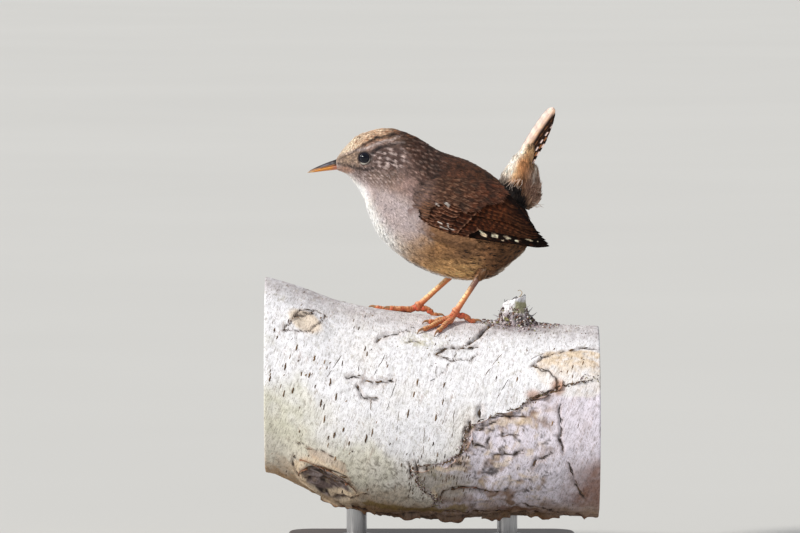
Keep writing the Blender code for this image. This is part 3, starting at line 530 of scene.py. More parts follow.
def plumage(points, row, turn, along, chance):
    # colour at points in mm; along runs from 0 at a feather's root to 1 at its tip
    f = feather
    x, z = points[:, 0], points[:, 2]
    down, track = fromBack(turn), distanceAt(row)
    lane = np.stack([track, np.sin(turn) * 14, np.cos(turn) * 14], -1)
    streaky = grain(lane * (0.5, 1, 1), 0.55, 3)
    mottle = roughly(lane, 2.6, 5)
    wavyX, wavyZ = x + 0.5 * streaky, z + 0.35 * streaky

    # the dark upper side; the pale forehead colour, which also shows through half the crown's brown along the
    # top of the head, is a painted highlight where the lamp falls on the head's front and top
    crownward = ease(z - lineAt(crownLine, x) + streaky * 0.4, -0.6, 0.6)
    top = (1 - ease(np.minimum(1 - down, down), 0.12, 0.30)) * (down < 0.5)
    upper = layered(
        f["forehead"],
        (f["crown"], ease(x + mottle, -29, -20) * (1 - 0.5 * top)),
        (f["crownRear"], ease(x + mottle * 2.4 + streaky * 1.4, -17.5, -10.5)),
        (f["nape"], ease(x + mottle, -10, -4)), (f["mantle"], ease(x, 0, 8)),
        (f["back"], ease(x, 12, 18)), (f["rump"], ease(x, 20, 27)))
    mantled = ease(x - lineAt(mantleFront, z) + mottle * 1.4, -2.8, 4.4)

    # face and side of the neck
    side = layered(
        f["lores"], (f["cheek"], ease(x, -28, -22)), (f["neckSide"], ease(x, -14, -8)),
        (upper, np.maximum(mantled, crownward * ease(x, -34, -31))))

    # the pale under side
    below = ease(lineAt(paleTop, x) - z + mottle * 1.6, -3.6, 2.6)
    golden = ease(lineAt(bellyTop, x) - z + mottle * 2.0 + streaky, -4.0, 6.0)
    glow = ease(19.5 - z + (x + 4) * 0.05 + mottle * 1.5, -2.5, 4.5) * (1 - ease(x, 16, 24))
    # fore: a painted highlight, the front edge of the throat and breast and the front of the lower breast
    # painted near white where the lamp catches them, over the breast's own pale grey
    fore = ease(down, 0.70, 0.90) * ease(track, 12, 19) * (1 - ease(track, 32, 45))
    fore = np.maximum(fore, ease(down, 0.70, 0.88) * (1 - ease(track, 13, 18)) * ease(track, 0.5, 3))
    fore = np.maximum(fore, ease(down, 0.88, 0.97) * ease(track, 26, 34) * (1 - ease(x, 9, 16)) * 0.85)
    under = layered(
        f["throat"],
        (f["cheek"], ease(x + mottle, -25, -19) * 0.8), (f["breast"], ease(track, 15, 22)),
        (f["breastLow"], golden), (f["belly"], golden * ease(x + mottle * 2, -12, 2)),
        (f["flank"], ease(x + mottle * 2 - (20 - z) * 0.4, 4, 13)), (f["bellyGold"], glow * 0.92),
        (f["flankRear"], ease(x + mottle * 2, 14, 21)), (f["vent"], ease(x + mottle, 17, 24)),
        (f["breastHighlight"], fore))

    # pale spots with dusky rims behind the eye, finer ones on the lores and lower on the cheek
    onEar = patch(x, z, (-14.8, 55.0), (6.6, 4.6), 0.35) * (1 - crownward)
    onLores = patch(x, z, (-28.2, 54.2), (4.0, 2.2), 0.5)
    onCheek = patch(x, z, (-20.0, 49.6), (9.0, 4.2), 0.5) * (1 - onEar)
    onNeck = patch(x, z, (-5.5, 54.5), (10.0, 7.0), 0.5) * (1 - onEar)
    earX, earZ = x - (z - 55) * 0.25 + 0.3 * streaky, z + (x + 15) * 0.18
    earSpots = spotted(earX, earZ, (2.15, 1.7), (0.86, 0.60), 11, 0.9)
    loreSpots = spotted(x + (z - 54) * 0.4, z, (1.1, 0.95), (0.42, 0.34), 12, 0.8)
    cheekSpots = spotted(x + (z - 50) * 0.5, z, (1.35, 1.25), (0.42, 0.55), 14)
    neckSpots = spotted(x, z + x * 0.25, (2.1, 1.5), (0.75, 0.42), 17)
    crownSpots = spotted(track, turn * 9, (1.5, 1.0), (0.56, 0.24), 19, 0.7)
    creamSpots = spotted(track + 0.75, turn * 9 + 0.5, (1.5, 1.0), (0.5, 0.22), 20, 0.7)
    earTone = between(f["ear"] * 0.82, f["earPale"], ease(earSpots, 0.15, 0.85)) * (1 + 0.22 * streaky)[:, None]
    smudged = patch(x, z, (-24.6, 51.6), (6.6, 2.4), 0.6) * ease(grain(lane, 0.6, 35), -0.3, 0.3)
    colour = layered(
        side, (under, below), (earTone, onEar * 0.92),
        (between(f["lores"] * 0.78, f["loresPale"], ease(loreSpots, 0.1, 0.7)), onLores * 0.7),
        (between(f["cheek"] * 0.55, f["earPale"], ease(cheekSpots, 0.2, 0.8)), onCheek * 0.78),
        (between(f["nape"] * 1.1, f["cheek"] * 1.1, ease(neckSpots, 0.2, 0.7)), onNeck * 0.6),
        (f["crownSpot"], crownward * ease(crownSpots, 0.1, 0.6) * ease(x, -34, -30) * 0.8),
        (f["crownPale"], crownward * ease(creamSpots, 0.1, 0.6) * (1 - ease(x, -19, -13)) * 0.6),
        (f["gape"], patch(x, z, (-30.6, 50.9), (3.2, 1.3), 0.6) * 0.75), (f["smudge"], smudged * 0.6))
    for marks, tone, seed in ((stripeMarks, f["stripe"], 25), (browMarks, f["brow"], 27)):
        broken = 0.7 + 0.3 * ease(grain(lane, 0.8, seed), -0.4, 0.2)
        for start, end, half, strength in marks:
            colour = between(colour, tone, stroke(wavyX, wavyZ, start, end, half) * strength * broken)

    # cross bars on the back, dashes on the flanks and towards the vent, small pale tips on the upper side
    wave = np.sin(tau * track / 2.0 + grain(lane, 4.0, 21) * 2.6)
    bars = ease(wave + grain(lane, 1.2, 23) * 0.7, 0.2, 0.9) * ((1 - below) * mantled * ease(x, -8, 10) * 0.62)
    dashes = spotted(x - z * 0.3 + mottle * 0.3, z + x * 0.12, (1.8, 1.95), (0.46, 0.76), 29, 0.45)
    flanked = ease(below, 0.2, 0.6) * ease(x + mottle * 2 + (z - 20) * 0.35, 6, 13)
    flanked = flanked * (1 - ease(down, 0.92, 0.99))
    flecks = spotted(track, z, (1.5, 1.1), (0.40, 0.26), 31) * below * golden * (1 - ease(x, 8, 16))
    fringe = 1 - ease(z - lineAt(ventLine, x) + mottle * 1.2 + streaky * 0.8, -2.6, -1.3)
    tips = spotted(track + 0.3 * mottle, turn * 15, (1.7, 1.25), (0.42, 0.36), 37, 0.9)
    colour = layered(
        colour, (f["bar"], np.clip(bars + ease(dashes, 0.1, 0.45) * flanked, 0, 1)),
        (f["fleck"], flecks * 0.85), (f["ventPale"], fringe * ease(x, 15, 21) * 0.85))
    colour = between(colour, colour * 1.75, tips * (1 - below) * ease(x, -12, -4) * 0.8)

    # every feather is dusky at its root and each differs a little, most of all where it is brown
    brown = np.maximum(np.clip(1 - below * (1 - golden * 0.5), 0, 1), flanked)
    root = 1 - (0.10 + 0.34 * brown) * (1 - ease(along, 0.15, 0.85))
    blotch = grain(lane * (0.8, 1, 1), 1.25, 33)
    uneven = 1 + (0.08 + 0.42 * brown) * (chance - 0.5) + (0.07 + 0.16 * brown) * streaky + 0.08 * mottle
    uneven = uneven + (0.04 + 0.62 * brown * ease(x, -16, -4)) * blotch * (1 - 0.6 * flanked)
    uneven = uneven + 0.14 * crownward * (streaky + blotch)
    # painted light: the flank under the folded wing and the chin are lightened, against the wing's shadow and
    # the shade under the chin
    sunk = 1 + 0.35 * patch(x, z, (14, 26.5), (13, 4.0), 0.5)
    sunk = sunk + 0.30 * ease(down, 0.66, 0.86) * (1 - ease(track, 13, 19))
    return colour * (root * uneven * sunk * (1.02 + 0.10 * brown))[:, None]


def makeSkin(finish):
    rows, sides = 190, 150
    row, turn = np.meshgrid(np.linspace(0.0, lastRow, rows), np.linspace(0, tau, sides, endpoint=False),
                            indexing="ij")
    mesh, points = loftMesh("bird_skin", bodyPoint(row, turn), finish)
    allRow, allTurn = np.append(row.ravel(), (0.0, lastRow)), np.append(turn.ravel(), (0.0, 0.0))
    even = np.ones(len(points))
    setColours(mesh, plumage(points, allRow, allTurn, 0.35 * even, 0.5 * even))
    setMap(mesh, skinMap(allRow, allTurn), seam=True)
    return addPiece("bird_skin", mesh, "body_plumage", ("head", "neck", "torso"))


# coat: tufts of leaf-shaped barbs, set out by a node tree on points of the skin

tuftShapes = {
    # name: barbs, spread in degrees, barb width, cup, share of the tuft that its shaft takes
    "face": (7, 24, 0.17, 0.08, 0.25),
    "body": (9, 21, 0.105, 0.08, 0.45),
    "loose": (14, 38, 0.085, 0.22, 0.30),
}
shapeVariants = 5


def crumbMesh(name, chances):
    # a lump with a dozen corners
    shape = bmesh.new()
    bmesh.ops.create_icosphere(shape, subdivisions=1, radius=0.5)
    for corner in shape.verts:
        corner.co = Vector(np.array(corner.co) * (1.0, 0.8, 0.6) * chances.uniform(0.65, 1.2) + (0.2, 0, 0))
    mesh = bpy.data.meshes.new(name)
    shape.to_mesh(mesh)
    shape.free()
    return tuftAttributes(mesh)


def tuftAttributes(mesh, tones=None):
    # what a tuft carries: its barb's tone, how far along it a point is, and its place in its patch of the map
    points = np.array([vertex.co for vertex in mesh.vertices])
    carry(mesh, "tone", "FLOAT", tones or [0.0] * len(points))
    carry(mesh, "along", "FLOAT", np.clip(points[:, 0], 0, 1))
    carry(mesh, "patchPlace", "FLOAT_VECTOR", (points - (0.5, 0, 0)) * (1, 1, 0))
    return mesh


def tuftMesh(name, barbs, spreadDegrees, barbWidth, cup, shaft, chances):
    points, faces, tones = [], [], []
    for k in range(barbs):
        side = (2 * k + 1) / barbs - 1
        tones += [float(np.clip(chances.normal(0, 1), -2, 2))] * 5
        yaw = math.radians(spreadDegrees) * (side + chances.normal(0, 0.10))
        start = shaft * chances.uniform(0, 1) * (1 - abs(side))
        reach = (1 - start) * (1 - 0.24 * side * side) * chances.uniform(0.86, 1.08)
        lift = chances.uniform(0, 0.03) + 0.02 * (1 - abs(side))
        root = np.array([start, side * 0.05, lift - cup * side * side * 0.3])
        ahead = np.array([math.cos(yaw), math.sin(yaw), -cup * side * side - 0.04])
        across = np.array([-math.sin(yaw), math.cos(yaw), 0])
        middle = root + ahead * reach * chances.uniform(0.42, 0.58) + (0, 0, 0.03)
        width = barbWidth * chances.uniform(0.8, 1.2)
        first = len(points)
        points += [root, middle + across * width / 2, root + ahead * reach, middle - across * width / 2,
                   middle + (0, 0, width * 0.22)]
        for face in ((0, 3, 4), (3, 2, 4), (2, 1, 4), (1, 0, 4), (0, 1, 2), (0, 2, 3)):
            faces.append([first + v for v in face])
    mesh = bpy.data.meshes.new(name)
    mesh.from_pydata([tuple(point) for point in points], [], faces)
    mesh.shade_smooth()
    return tuftAttributes(mesh, tones)


def shapeCollection(kind):
    chances = np.random.default_rng(1000 + len(kind))
    made = bpy.data.collections.new(kind + " tufts")
    for k in range(shapeVariants):
        mesh = crumbMesh("crumb", chances) if kind == "crumb" else tuftMesh(kind, *tuftShapes[kind], chances)
        made.objects.link(bpy.data.objects.new(f"{kind}_{k}", mesh))
    return made


def newTree(name, given, made):
    tree = bpy.data.node_groups.new(name, "GeometryNodeTree")
    for label, kind in given:
        tree.interface.new_socket(label, in_out="INPUT", socket_type="NodeSocket" + kind)
    tree.interface.new_socket(made, in_out="OUTPUT", socket_type="NodeSocketGeometry")
    return tree, tree.nodes.new("NodeGroupInput").outputs


def named(tree, name, kind):
    return node(tree, "GeometryNodeInputNamedAttribute", {"Name": name}, data_type=kind).outputs["Attribute"]


def giveOut(tree, geometry, finish):
    # a tree's result, in its finish
    covered = node(tree, "GeometryNodeSetMaterial", {"Geometry": geometry, "Material": finish})
    result = tree.nodes.new("NodeGroupOutput")
    tree.links.new(covered.outputs[0], result.inputs[0])
    return tree


def buildCoatTree():
    # instances a shape on every point, turned to the lie and sized, then made real
    tree, given = newTree("lay coat", (
        ("Roots", "Geometry"), ("Shapes", "Collection"), ("Finish", "Material"), ("Patch", "Float"),
        ("Unevenness", "Float"), ("Seed", "Int")), "Coat")

    def vector(name):
        return named(tree, name, "FLOAT_VECTOR")

    def scaled(value, share):
        made = node(tree, "ShaderNodeVectorMath", {0: value}, operation="SCALE")
        tree.links.new(share, made.inputs["Scale"])
        return made.outputs[0]

    shapes = node(tree, "GeometryNodeCollectionInfo", {
        "Collection": given["Shapes"], "Separate Children": True, "Reset Children": True})
    turned = node(tree, "FunctionNodeAxesToRotation", {
        "Primary Axis": vector("lie"), "Secondary Axis": vector("facing")},
        primary_axis="X", secondary_axis="Z")
    least, most = (node(tree, "ShaderNodeMath", {0: 1.0, 1: given["Unevenness"]}, operation=kind).outputs[0]
                   for kind in ("SUBTRACT", "ADD"))
    uneven = node(tree, "FunctionNodeRandomValue", {2: least, 3: most, "Seed": given["Seed"]},
                  data_type="FLOAT")
    placed = node(tree, "GeometryNodeInstanceOnPoints", {
        "Points": given["Roots"], "Instance": shapes.outputs[0], "Pick Instance": True,
        "Instance Index": named(tree, "variant", "INT"), "Rotation": turned.outputs[0],
        "Scale": scaled(vector("size"), uneven.outputs[1])})
    real = node(tree, "GeometryNodeRealizeInstances", {"Geometry": placed.outputs[0]})
    mapPlace = node(tree, "ShaderNodeVectorMath", {
        0: vector("rootMap"), 1: scaled(vector("patchPlace"), given["Patch"])}, operation="ADD")
    stored = node(tree, "GeometryNodeStoreNamedAttribute", {
        "Geometry": real.outputs[0], "Name": "OFBake", "Value": mapPlace.outputs[0]},
        data_type="FLOAT2", domain="CORNER")
    return giveOut(tree, stored.outputs[0], given["Finish"])


def pointMesh(name, points, vectors, numbers, variant):
    mesh = bpy.data.meshes.new(name)
    mesh.from_pydata(lifted(points), [], [])
    for key, value in vectors.items():
        carry(mesh, key, "FLOAT_VECTOR", value)
    for key, value in numbers.items():
        carry(mesh, key, "FLOAT", value)
    carry(mesh, "variant", "INT", variant)
    return mesh


def evaluated(name, carrier):
    # the mesh that a carrier's modifiers make; the carrier and its own mesh go
    graph = bpy.context.evaluated_depsgraph_get()
    made = bpy.data.meshes.new_from_object(carrier.evaluated_get(graph), depsgraph=graph)
    old = carrier.data
    bpy.data.objects.remove(carrier)
    bpy.data.meshes.remove(old)
    made.name = name
    return made


def grown(name, mesh, tree, inputs):
    # the mesh that a node tree makes from a mesh of points or lines
    carrier = bpy.data.objects.new(name, mesh)
    bpy.context.scene.collection.objects.link(carrier)
    modifier = carrier.modifiers.new("grow", "NODES")
    modifier.node_group = tree
    sockets = {item.name: item.identifier for item in tree.interface.items_tree if item.in_out == "INPUT"}
    for key, value in inputs.items():
        modifier[sockets[key]] = value
    return evaluated(name, carrier)


# how far a tuft's shading follows the body under it, and the size of a tuft's patch on the map
softness = 0.7
patchSize = 0.003


def layCoat(name, roots, kind, lengths, widths, pitch, finish, slot, colourOf, seed, replaces=(),
            follow=softness, variety=0.13):
    # roots: points, lie, facing, places on the map, and the numbers that colourOf reads
    points, lie, facing, places, numbers = roots
    chances = np.random.default_rng(seed)
    count = len(points)
    yaw = chances.normal(0, math.radians(7), count)[:, None]
    tilt = (pitch + chances.normal(0, math.radians(1.8), count))[:, None]
    ahead = lie * np.cos(yaw) + np.cross(facing, lie) * np.sin(yaw)
    vectors = {
        "lie": unit(ahead * np.cos(tilt) + facing * np.sin(tilt)),
        "facing": unit(facing * np.cos(tilt) - ahead * np.sin(tilt)),
        "size": np.stack([lengths, widths, lengths], -1) * mm,
        "rootMap": np.concatenate([places, np.zeros((count, 1))], -1)}
    numbers = {**numbers, "chance": chances.uniform(0, 1, count), "reach": lengths}
    mesh = pointMesh(name, points, vectors, numbers, chances.integers(0, shapeVariants, count))
    made = grown(name, mesh, coatTree, {
        "Shapes": shapesOf[kind], "Finish": finish, "Patch": patchSize, "Unevenness": 0.10, "Seed": seed})
    carried = {key: read(made.attributes[key].data, "value") for key in (*numbers, "along", "tone")}
    colours = colourOf(placesOf(made), carried, carried["along"])
    colours = colours * (1 + variety * carried["tone"])[:, None]
    bodyNormal = read(made.attributes["facing"].data, "vector", 3)
    for key in (*carried, *vectors, "patchPlace", "variant"):
        if key in made.attributes:
            made.attributes.remove(made.attributes[key])
    setColours(made, colours)
    made.shade_smooth()
    if follow:
        own = read(made.vertex_normals, "vector", 3)
        upright = np.where((own * bodyNormal).sum(1, keepdims=True) < 0, -1, 1)
        blended = unit(own * upright * (1 - follow) + bodyNormal * follow)
        made.normals_split_custom_set_from_vertices(blended.tolist())
    return addPiece(name, made, slot, replaces)


def bodyRoots(rows, turns, spacing, seed, keep):
    # roots over a stretch of rows and a range of turns, evenly spaced with some play
    chances = np.random.default_rng(seed)
    row, found = rows[0], []
    ringTurns = np.linspace(turns[0], turns[1], 97)
    while row < rows[1]:
        gap = float(lineAt(spacing, row))
        ring = bodyPoint(np.full(97, row), ringTurns)
        steps = np.linalg.norm(np.diff(ring, axis=0), axis=1)
        length = float(steps.sum())
        count = max(3, round(length / gap))
        places = (np.arange(count) + chances.uniform(0, 1) + chances.uniform(-0.35, 0.35, count)) / count % 1
        turn = np.interp(places * length, np.concatenate([[0], np.cumsum(steps)]), ringTurns)
        step = bodyPoint(row + 0.05, math.pi / 2) - bodyPoint(row, math.pi / 2)
        slope = max(float(np.linalg.norm(step)) / 0.05, 0.5)
        play = chances.uniform(-0.4, 0.4, count) * gap / slope
        found.append(np.stack([np.clip(row + play, 0.02, lastRow - 0.07), turn], -1))
        row += gap / slope
    row, turn = np.concatenate(found).T
    kept = keep(bodyPoint(row, turn), turn)
    row, turn = row[kept], turn[kept]
    point, lie, facing = bodyFrame(row, turn)
    return point, lie, facing, skinMap(row, turn), {"row": row, "turn": turn}


def eyeAxis(side):
    flat = math.cos(eyeUp)
    return np.array([-math.sin(eyeForward) * flat, side * math.cos(eyeForward) * flat, math.sin(eyeUp)])


def fromEye(points):
    # distance from the line along which the nearer eye looks, and the way there
    side = np.where(points[..., 1:2] < 0, -1.0, 1.0)
    mirrored = np.concatenate([np.ones(side.shape), side, np.ones(side.shape)], -1)
    axis = eyeAxis(1) * mirrored
    away = points - (eyeCentre[0], abs(eyeCentre[1]), eyeCentre[2]) * mirrored
    away = away - axis * (away * axis).sum(-1, keepdims=True)
    return np.linalg.norm(away, axis=-1), away


# where the folded wing hides the coat, in side view
underWing = [(1.0, 37.0), (4.0, 42.5), (12.0, 45.5), (20.0, 44.0), (27.0, 39.5), (32.0, 34.0), (33.0, 30.5),
             (20.0, 32.0), (8.0, 34.0)]


def inside(outline, x, z):
    found = np.zeros(x.shape, bool)
    for (ax, az), (bx, bz) in zip(outline, outline[1:] + outline[:1]):
        crosses = (az > z) != (bz > z)
        at = ax + (z - az) / np.where(bz == az, 1e-9, bz - az) * (bx - ax)
        found ^= crosses & (x < at)
    return found


def coatKeep(point, turn):
    away, _ = fromEye(point)
    clear = (away > 2.45) | (np.abs(point[:, 1]) < 3)
    hidden = inside(underWing, point[:, 0], point[:, 2]) & (np.abs(np.sin(turn)) > 0.55)
    return clear & ~hidden


def coatColour(where, numbers, along):
    row = numbers["row"] + along * numbers["reach"] / rowStep(numbers["row"])
    return plumage(where, np.clip(row, 0, lastRow), numbers["turn"], along, numbers["chance"])


def rowStep(row):
    # mm along the side to a row
    return np.maximum(np.interp(row, rowSamples[:-1], np.diff(rowDistance) / np.diff(rowSamples)), 0.8)


coatZones = {
    # name: rows, turns in shares of a half turn, kind, spacing by row, length by row, pitch in degrees, seed
    "coat_face": ((0.02, 2.0), (-1, 1), "face", [(0, 0.36), (1, 0.40), (2, 0.46)],
                  [(0, 0.8), (0.6, 1.2), (2, 1.7)], 12, 11),
    "coat_crown": ((2.0, 3.5), (-1, 1), "face", [(2, 0.46), (3.5, 0.58)],
                   [(2, 1.7), (3.5, 2.4)], 10, 12),
    "coat_neck": ((3.5, 5.0), (-1, 1), "body", [(3.5, 0.60), (5.0, 0.70)],
                  [(3.5, 2.5), (5.0, 3.2)], 9, 13),
    "coat_back": ((5.0, 9.6), (-0.5, 0.5), "body", [(5, 0.74), (9.6, 0.78)],
                  [(5, 3.2), (9.6, 3.7)], 9, 14),
    "coat_side_left": ((5.0, 9.4), (-0.86, -0.5), "body", [(5, 0.70), (9.4, 0.74)],
                       [(5, 3.2), (9.4, 3.7)], 9, 15),
    "coat_side_right": ((5.0, 9.4), (0.5, 0.86), "body", [(5, 0.70), (9.4, 0.74)],
                        [(5, 3.2), (9.4, 3.7)], 9, 16),
    "coat_belly": ((5.0, 9.4), (0.84, 1.16), "body", [(5, 0.68), (9.4, 0.74)],
                   [(5, 3.2), (9.4, 3.9)], 9, 17),
    "coat_vent": ((9.2, 10.7), (-1, 1), "loose", [(9.2, 0.80), (11, 0.7)],
                  [(9.2, 3.6), (10.0, 2.6), (10.7, 1.8)], 13, 18),
}

# how far the back's coat stands out between the wings
backLift = 1.15


def makeCoat(finish):
    for name, (rows, turns, kind, spacing, length, pitch, seed) in coatZones.items():
        ends = (turns[0] * math.pi, turns[1] * math.pi)
        points, lie, facing, places, numbers = bodyRoots(rows, ends, spacing, seed, coatKeep)
        row = numbers["row"]
        lengths = lineAt(length, row)
        # short before the eye, so that no tuft reaches over it
        away, offset = fromEye(points)
        near = ((offset * lie).sum(-1) < 0) & (away < 4.4) & (np.abs(points[:, 1]) > 3)
        lengths = np.where(near, np.minimum(lengths, np.maximum(away - 2.2, 0.45)), lengths)
        hump = ease(row, 4.6, 6.4) * (1 - ease(row, 8.6, 9.6))
        hump = hump * (1 - ease(fromBack(numbers["turn"]), 0.14, 0.42))
        points = points + facing * (backLift * hump)[:, None]
        layCoat(name, (points, lie, facing, places, numbers), kind, lengths, lengths, math.radians(pitch),
                finish, "body_plumage", coatColour, seed)


# wings: every feather is a thin closed vane with a shaft, laid on the sheet of the folded wing

wingSheetRows = np.concatenate([bodyRows[3:7], [
    (19.5, 50.6, 5.5, 12.0, 16.4), (27.5, 48.5, 17.5, 9.5, 14.6), (34.5, 46.5, 28.5, 10.5, 11.0),
    (40.5, 42.5, 38.5, 12.5, 7.6), (45.5, 38.5, 46.5, 15.5, 5.4)]])
wingClearance = 0.3
vaneThickness = 0.11
wingTiers = {
    # name: count, roots, tips (x, z; lowest feather first), half width, lift, shingle, how pointed
    "primary": (8, [(4.0, 31.6), (13.0, 34.6)],
                [(31.0, 26.7), (36.5, 25.9), (39.8, 25.0), (40.2, 25.1), (38.8, 26.8), (37.4, 28.4)],
                1.35, 0.45, 0.20, 4.0),
    "secondary": (8, [(10.5, 33.2), (18.0, 39.4)], [(35.0, 28.2), (36.2, 28.2), (34.8, 31.0)],
                  1.55, 0.95, 0.20, 3.2),
    "primary covert": (5, [(0.5, 31.8), (6.0, 33.4)], [(11.4, 28.9), (15.6, 31.2)], 0.95, 1.15, 0.16, 1.8),
    "tertial": (7, [(12.4, 37.0), (15.4, 40.6), (18.4, 42.8)], [(34.0, 31.2), (31.8, 34.2), (27.6, 38.6)],
                1.75, 1.5, 0.20, 2.6),
    "greater covert": (10, [(0.5, 33.4), (9.0, 43.4)], [(9.2, 30.8), (12.8, 34.2), (18.6, 40.2)],
                       1.3, 1.45, 0.22, 1.4),
    "alula": (3, [(-1.5, 32.2), (0.0, 33.8)], [(6.8, 29.2), (7.6, 31.2)], 0.9, 1.4, 0.16, 1.8),
    "median covert": (12, [(-3.0, 34.0), (4.2, 42.6)], [(5.6, 30.6), (11.4, 39.0)], 0.86, 1.7, 0.15, 2.0),
    "lesser covert": (10, [(-5.0, 35.4), (0.2, 42.0)], [(1.6, 33.0), (6.6, 40.4)], 0.84, 1.75, 0.14, 2.0),
}
# the wing's body under the feathers: x, z and half height
wingPad = [((-4.2, 38.4), 1.2), ((-1.5, 38.6), 4.4), ((4.0, 39.0), 6.6), ((10.0, 39.8), 6.6),
           ((15.5, 41.6), 6.0), ((19.5, 42.6), 2.6)]
# along a vane, close together at its tip, and across it, close together at its shaft
vaneStations = np.concatenate([np.linspace(0, 0.86, 14), 1 - 0.14 * np.array([0.8, 0.6, 0.42, 0.26, 0.12, 0])])
fineStations = np.concatenate([np.linspace(0, 0.86, 62), vaneStations[-6:]])
vaneLanes = np.array([-1, -0.84, -0.6, -0.34, -0.07, 0, 0.07, 0.34, 0.6, 0.84, 1])

wingColours = {
    "rufous": rgb(92, 46, 24), "brown": rgb(68, 38, 24), "dark": rgb(26, 14, 10), "cream": rgb(236, 216, 188),
    "buff": rgb(128, 84, 54), "white": rgb(240, 232, 226), "tip": rgb(40, 25, 20), "fringe": rgb(158, 118, 96),
    "fleck": rgb(150, 114, 92),
}
# white dots and short pale marks near the lower edge: start, end (x, z), half width
whiteDots = [((1.8, 39.8), (2.2, 39.3), 0.24), ((5.0, 40.0), (5.4, 39.2), 0.34),
             ((2.0, 33.7), (3.4, 33.2), 0.14), ((2.6, 32.2), (5.4, 31.1), 0.14),
             ((5.2, 33.2), (5.6, 31.9), 0.16), ((6.0, 31.4), (7.4, 31.1), 0.17)]
edgeMarks = [((16.2, 30.9), (17.1, 29.9), 0.26), ((17.0, 29.5), (18.3, 29.0), 0.52),
             ((20.9, 28.8), (22.2, 28.8), 0.58), ((25.5, 28.1), (27.0, 28.1), 0.44),
             ((26.2, 28.3), (26.4, 28.8), 0.3), ((28.6, 27.2), (29.4, 26.8), 0.32),
             ((23.8, 27.3), (24.7, 27.2), 0.2), ((32.8, 27.3), (33.6, 27.2), 0.34),
             ((36.3, 26.6), (36.9, 26.5), 0.2)]


def sheetOf(rows, extra, count=110, sides=72):
    row, turn = np.meshgrid(np.linspace(0, len(rows) - 1.001, count),
                            np.linspace(0, tau, sides, endpoint=False), indexing="ij")
    points = ringPoint(alongRows(rows, row), turn, -extra)
    return BVHTree.FromPolygons(points.reshape(-1, 3).tolist(), gridFaces(count, sides))


def sheetPlaces(sheet, flat):
    # points (x, z) in side view put on the left side of a sheet, with its outward normals
    points, normals = np.empty((len(flat), 3)), np.empty((len(flat), 3))
    for i, (x, z) in enumerate(flat):
        hit = None
        while hit is None or abs(hit.y) < 2.6:
            hit, normal, _, _ = sheet.ray_cast(Vector((x, -80, z)), Vector((0, 1, 0)))
            z -= 0.2
        points[i], normals[i] = hit, normal if normal.y < 0 else -normal
    return points, normals


def vaneOutline(length, half, rootShare, pointed, chances, stations):
    # half widths at every station, for the lower and the upper web
    tipLength = min(half * pointed, length * 0.45) / length
    grow = rootShare + (1 - rootShare) * ease(stations, 0, 0.4)
    ending = np.clip(stations - 1 + tipLength, 0, 1) / tipLength
    fall = np.clip(1 - ending ** (2 - 0.2 * (pointed - 1.5)), 0.004, 1) ** (0.5 + 0.16 * (pointed - 1.5))
    ragged = 1 - 0.05 * chances.uniform(0, 1, (2, len(stations)))
    return half * grow * fall * ragged


def vane(place, length, half, bend, lift, shingle, rootShare, pointed, chances, stations=vaneStations):
    # one closed feather; place(flat points, lifts) gives points in mm
    low, high = vaneOutline(length, half, rootShare, pointed, chances, stations)
    s, t = np.meshgrid(stations, vaneLanes, indexing="ij")
    across = np.where(t < 0, t * low[:, None], t * high[:, None])
    flat = np.stack([s * length, across + bend * np.sin(math.pi * s)], -1).reshape(-1, 2)
    ripple = grain(np.stack([s * length, t * 2, np.full(s.shape, chances.uniform(0, 99))], -1), 2.4) * 0.03
    rise = lift - shingle * t + 0.10 * half * (1 - t * t) + 0.05 * (np.abs(t) < 0.05) + ripple
    points = np.concatenate([place(flat, rise.ravel()), place(flat, rise.ravel() - vaneThickness)])
    count, lanes = s.shape
    under = count * lanes
    faces = gridFaces(count, lanes, closed=False)
    faces += [[v + under for v in face[::-1]] for face in faces]
    rim = [i * lanes for i in range(count)] + [(count - 1) * lanes + j for j in range(1, lanes)]
    rim += [i * lanes + lanes - 1 for i in range(count - 2, -1, -1)] + list(range(lanes - 2, 0, -1))
    for a, b in zip(rim, rim[1:] + rim[:1]):
        faces.append([b, a, a + under, b + under])
    places = np.stack([s.ravel() * length, t.ravel(), s.ravel()], -1)
    return points, faces, np.concatenate([places, places])


def dotted(light, strength, points, marks, tone, soft):
    # pale marks laid over a vane's colour and its bars
    for start, end, half in marks:
        spot = stroke(points[:, 0], points[:, 2], start, end, half, soft)
        light, strength = between(light, tone, spot), strength * (1 - spot)
    return light, strength


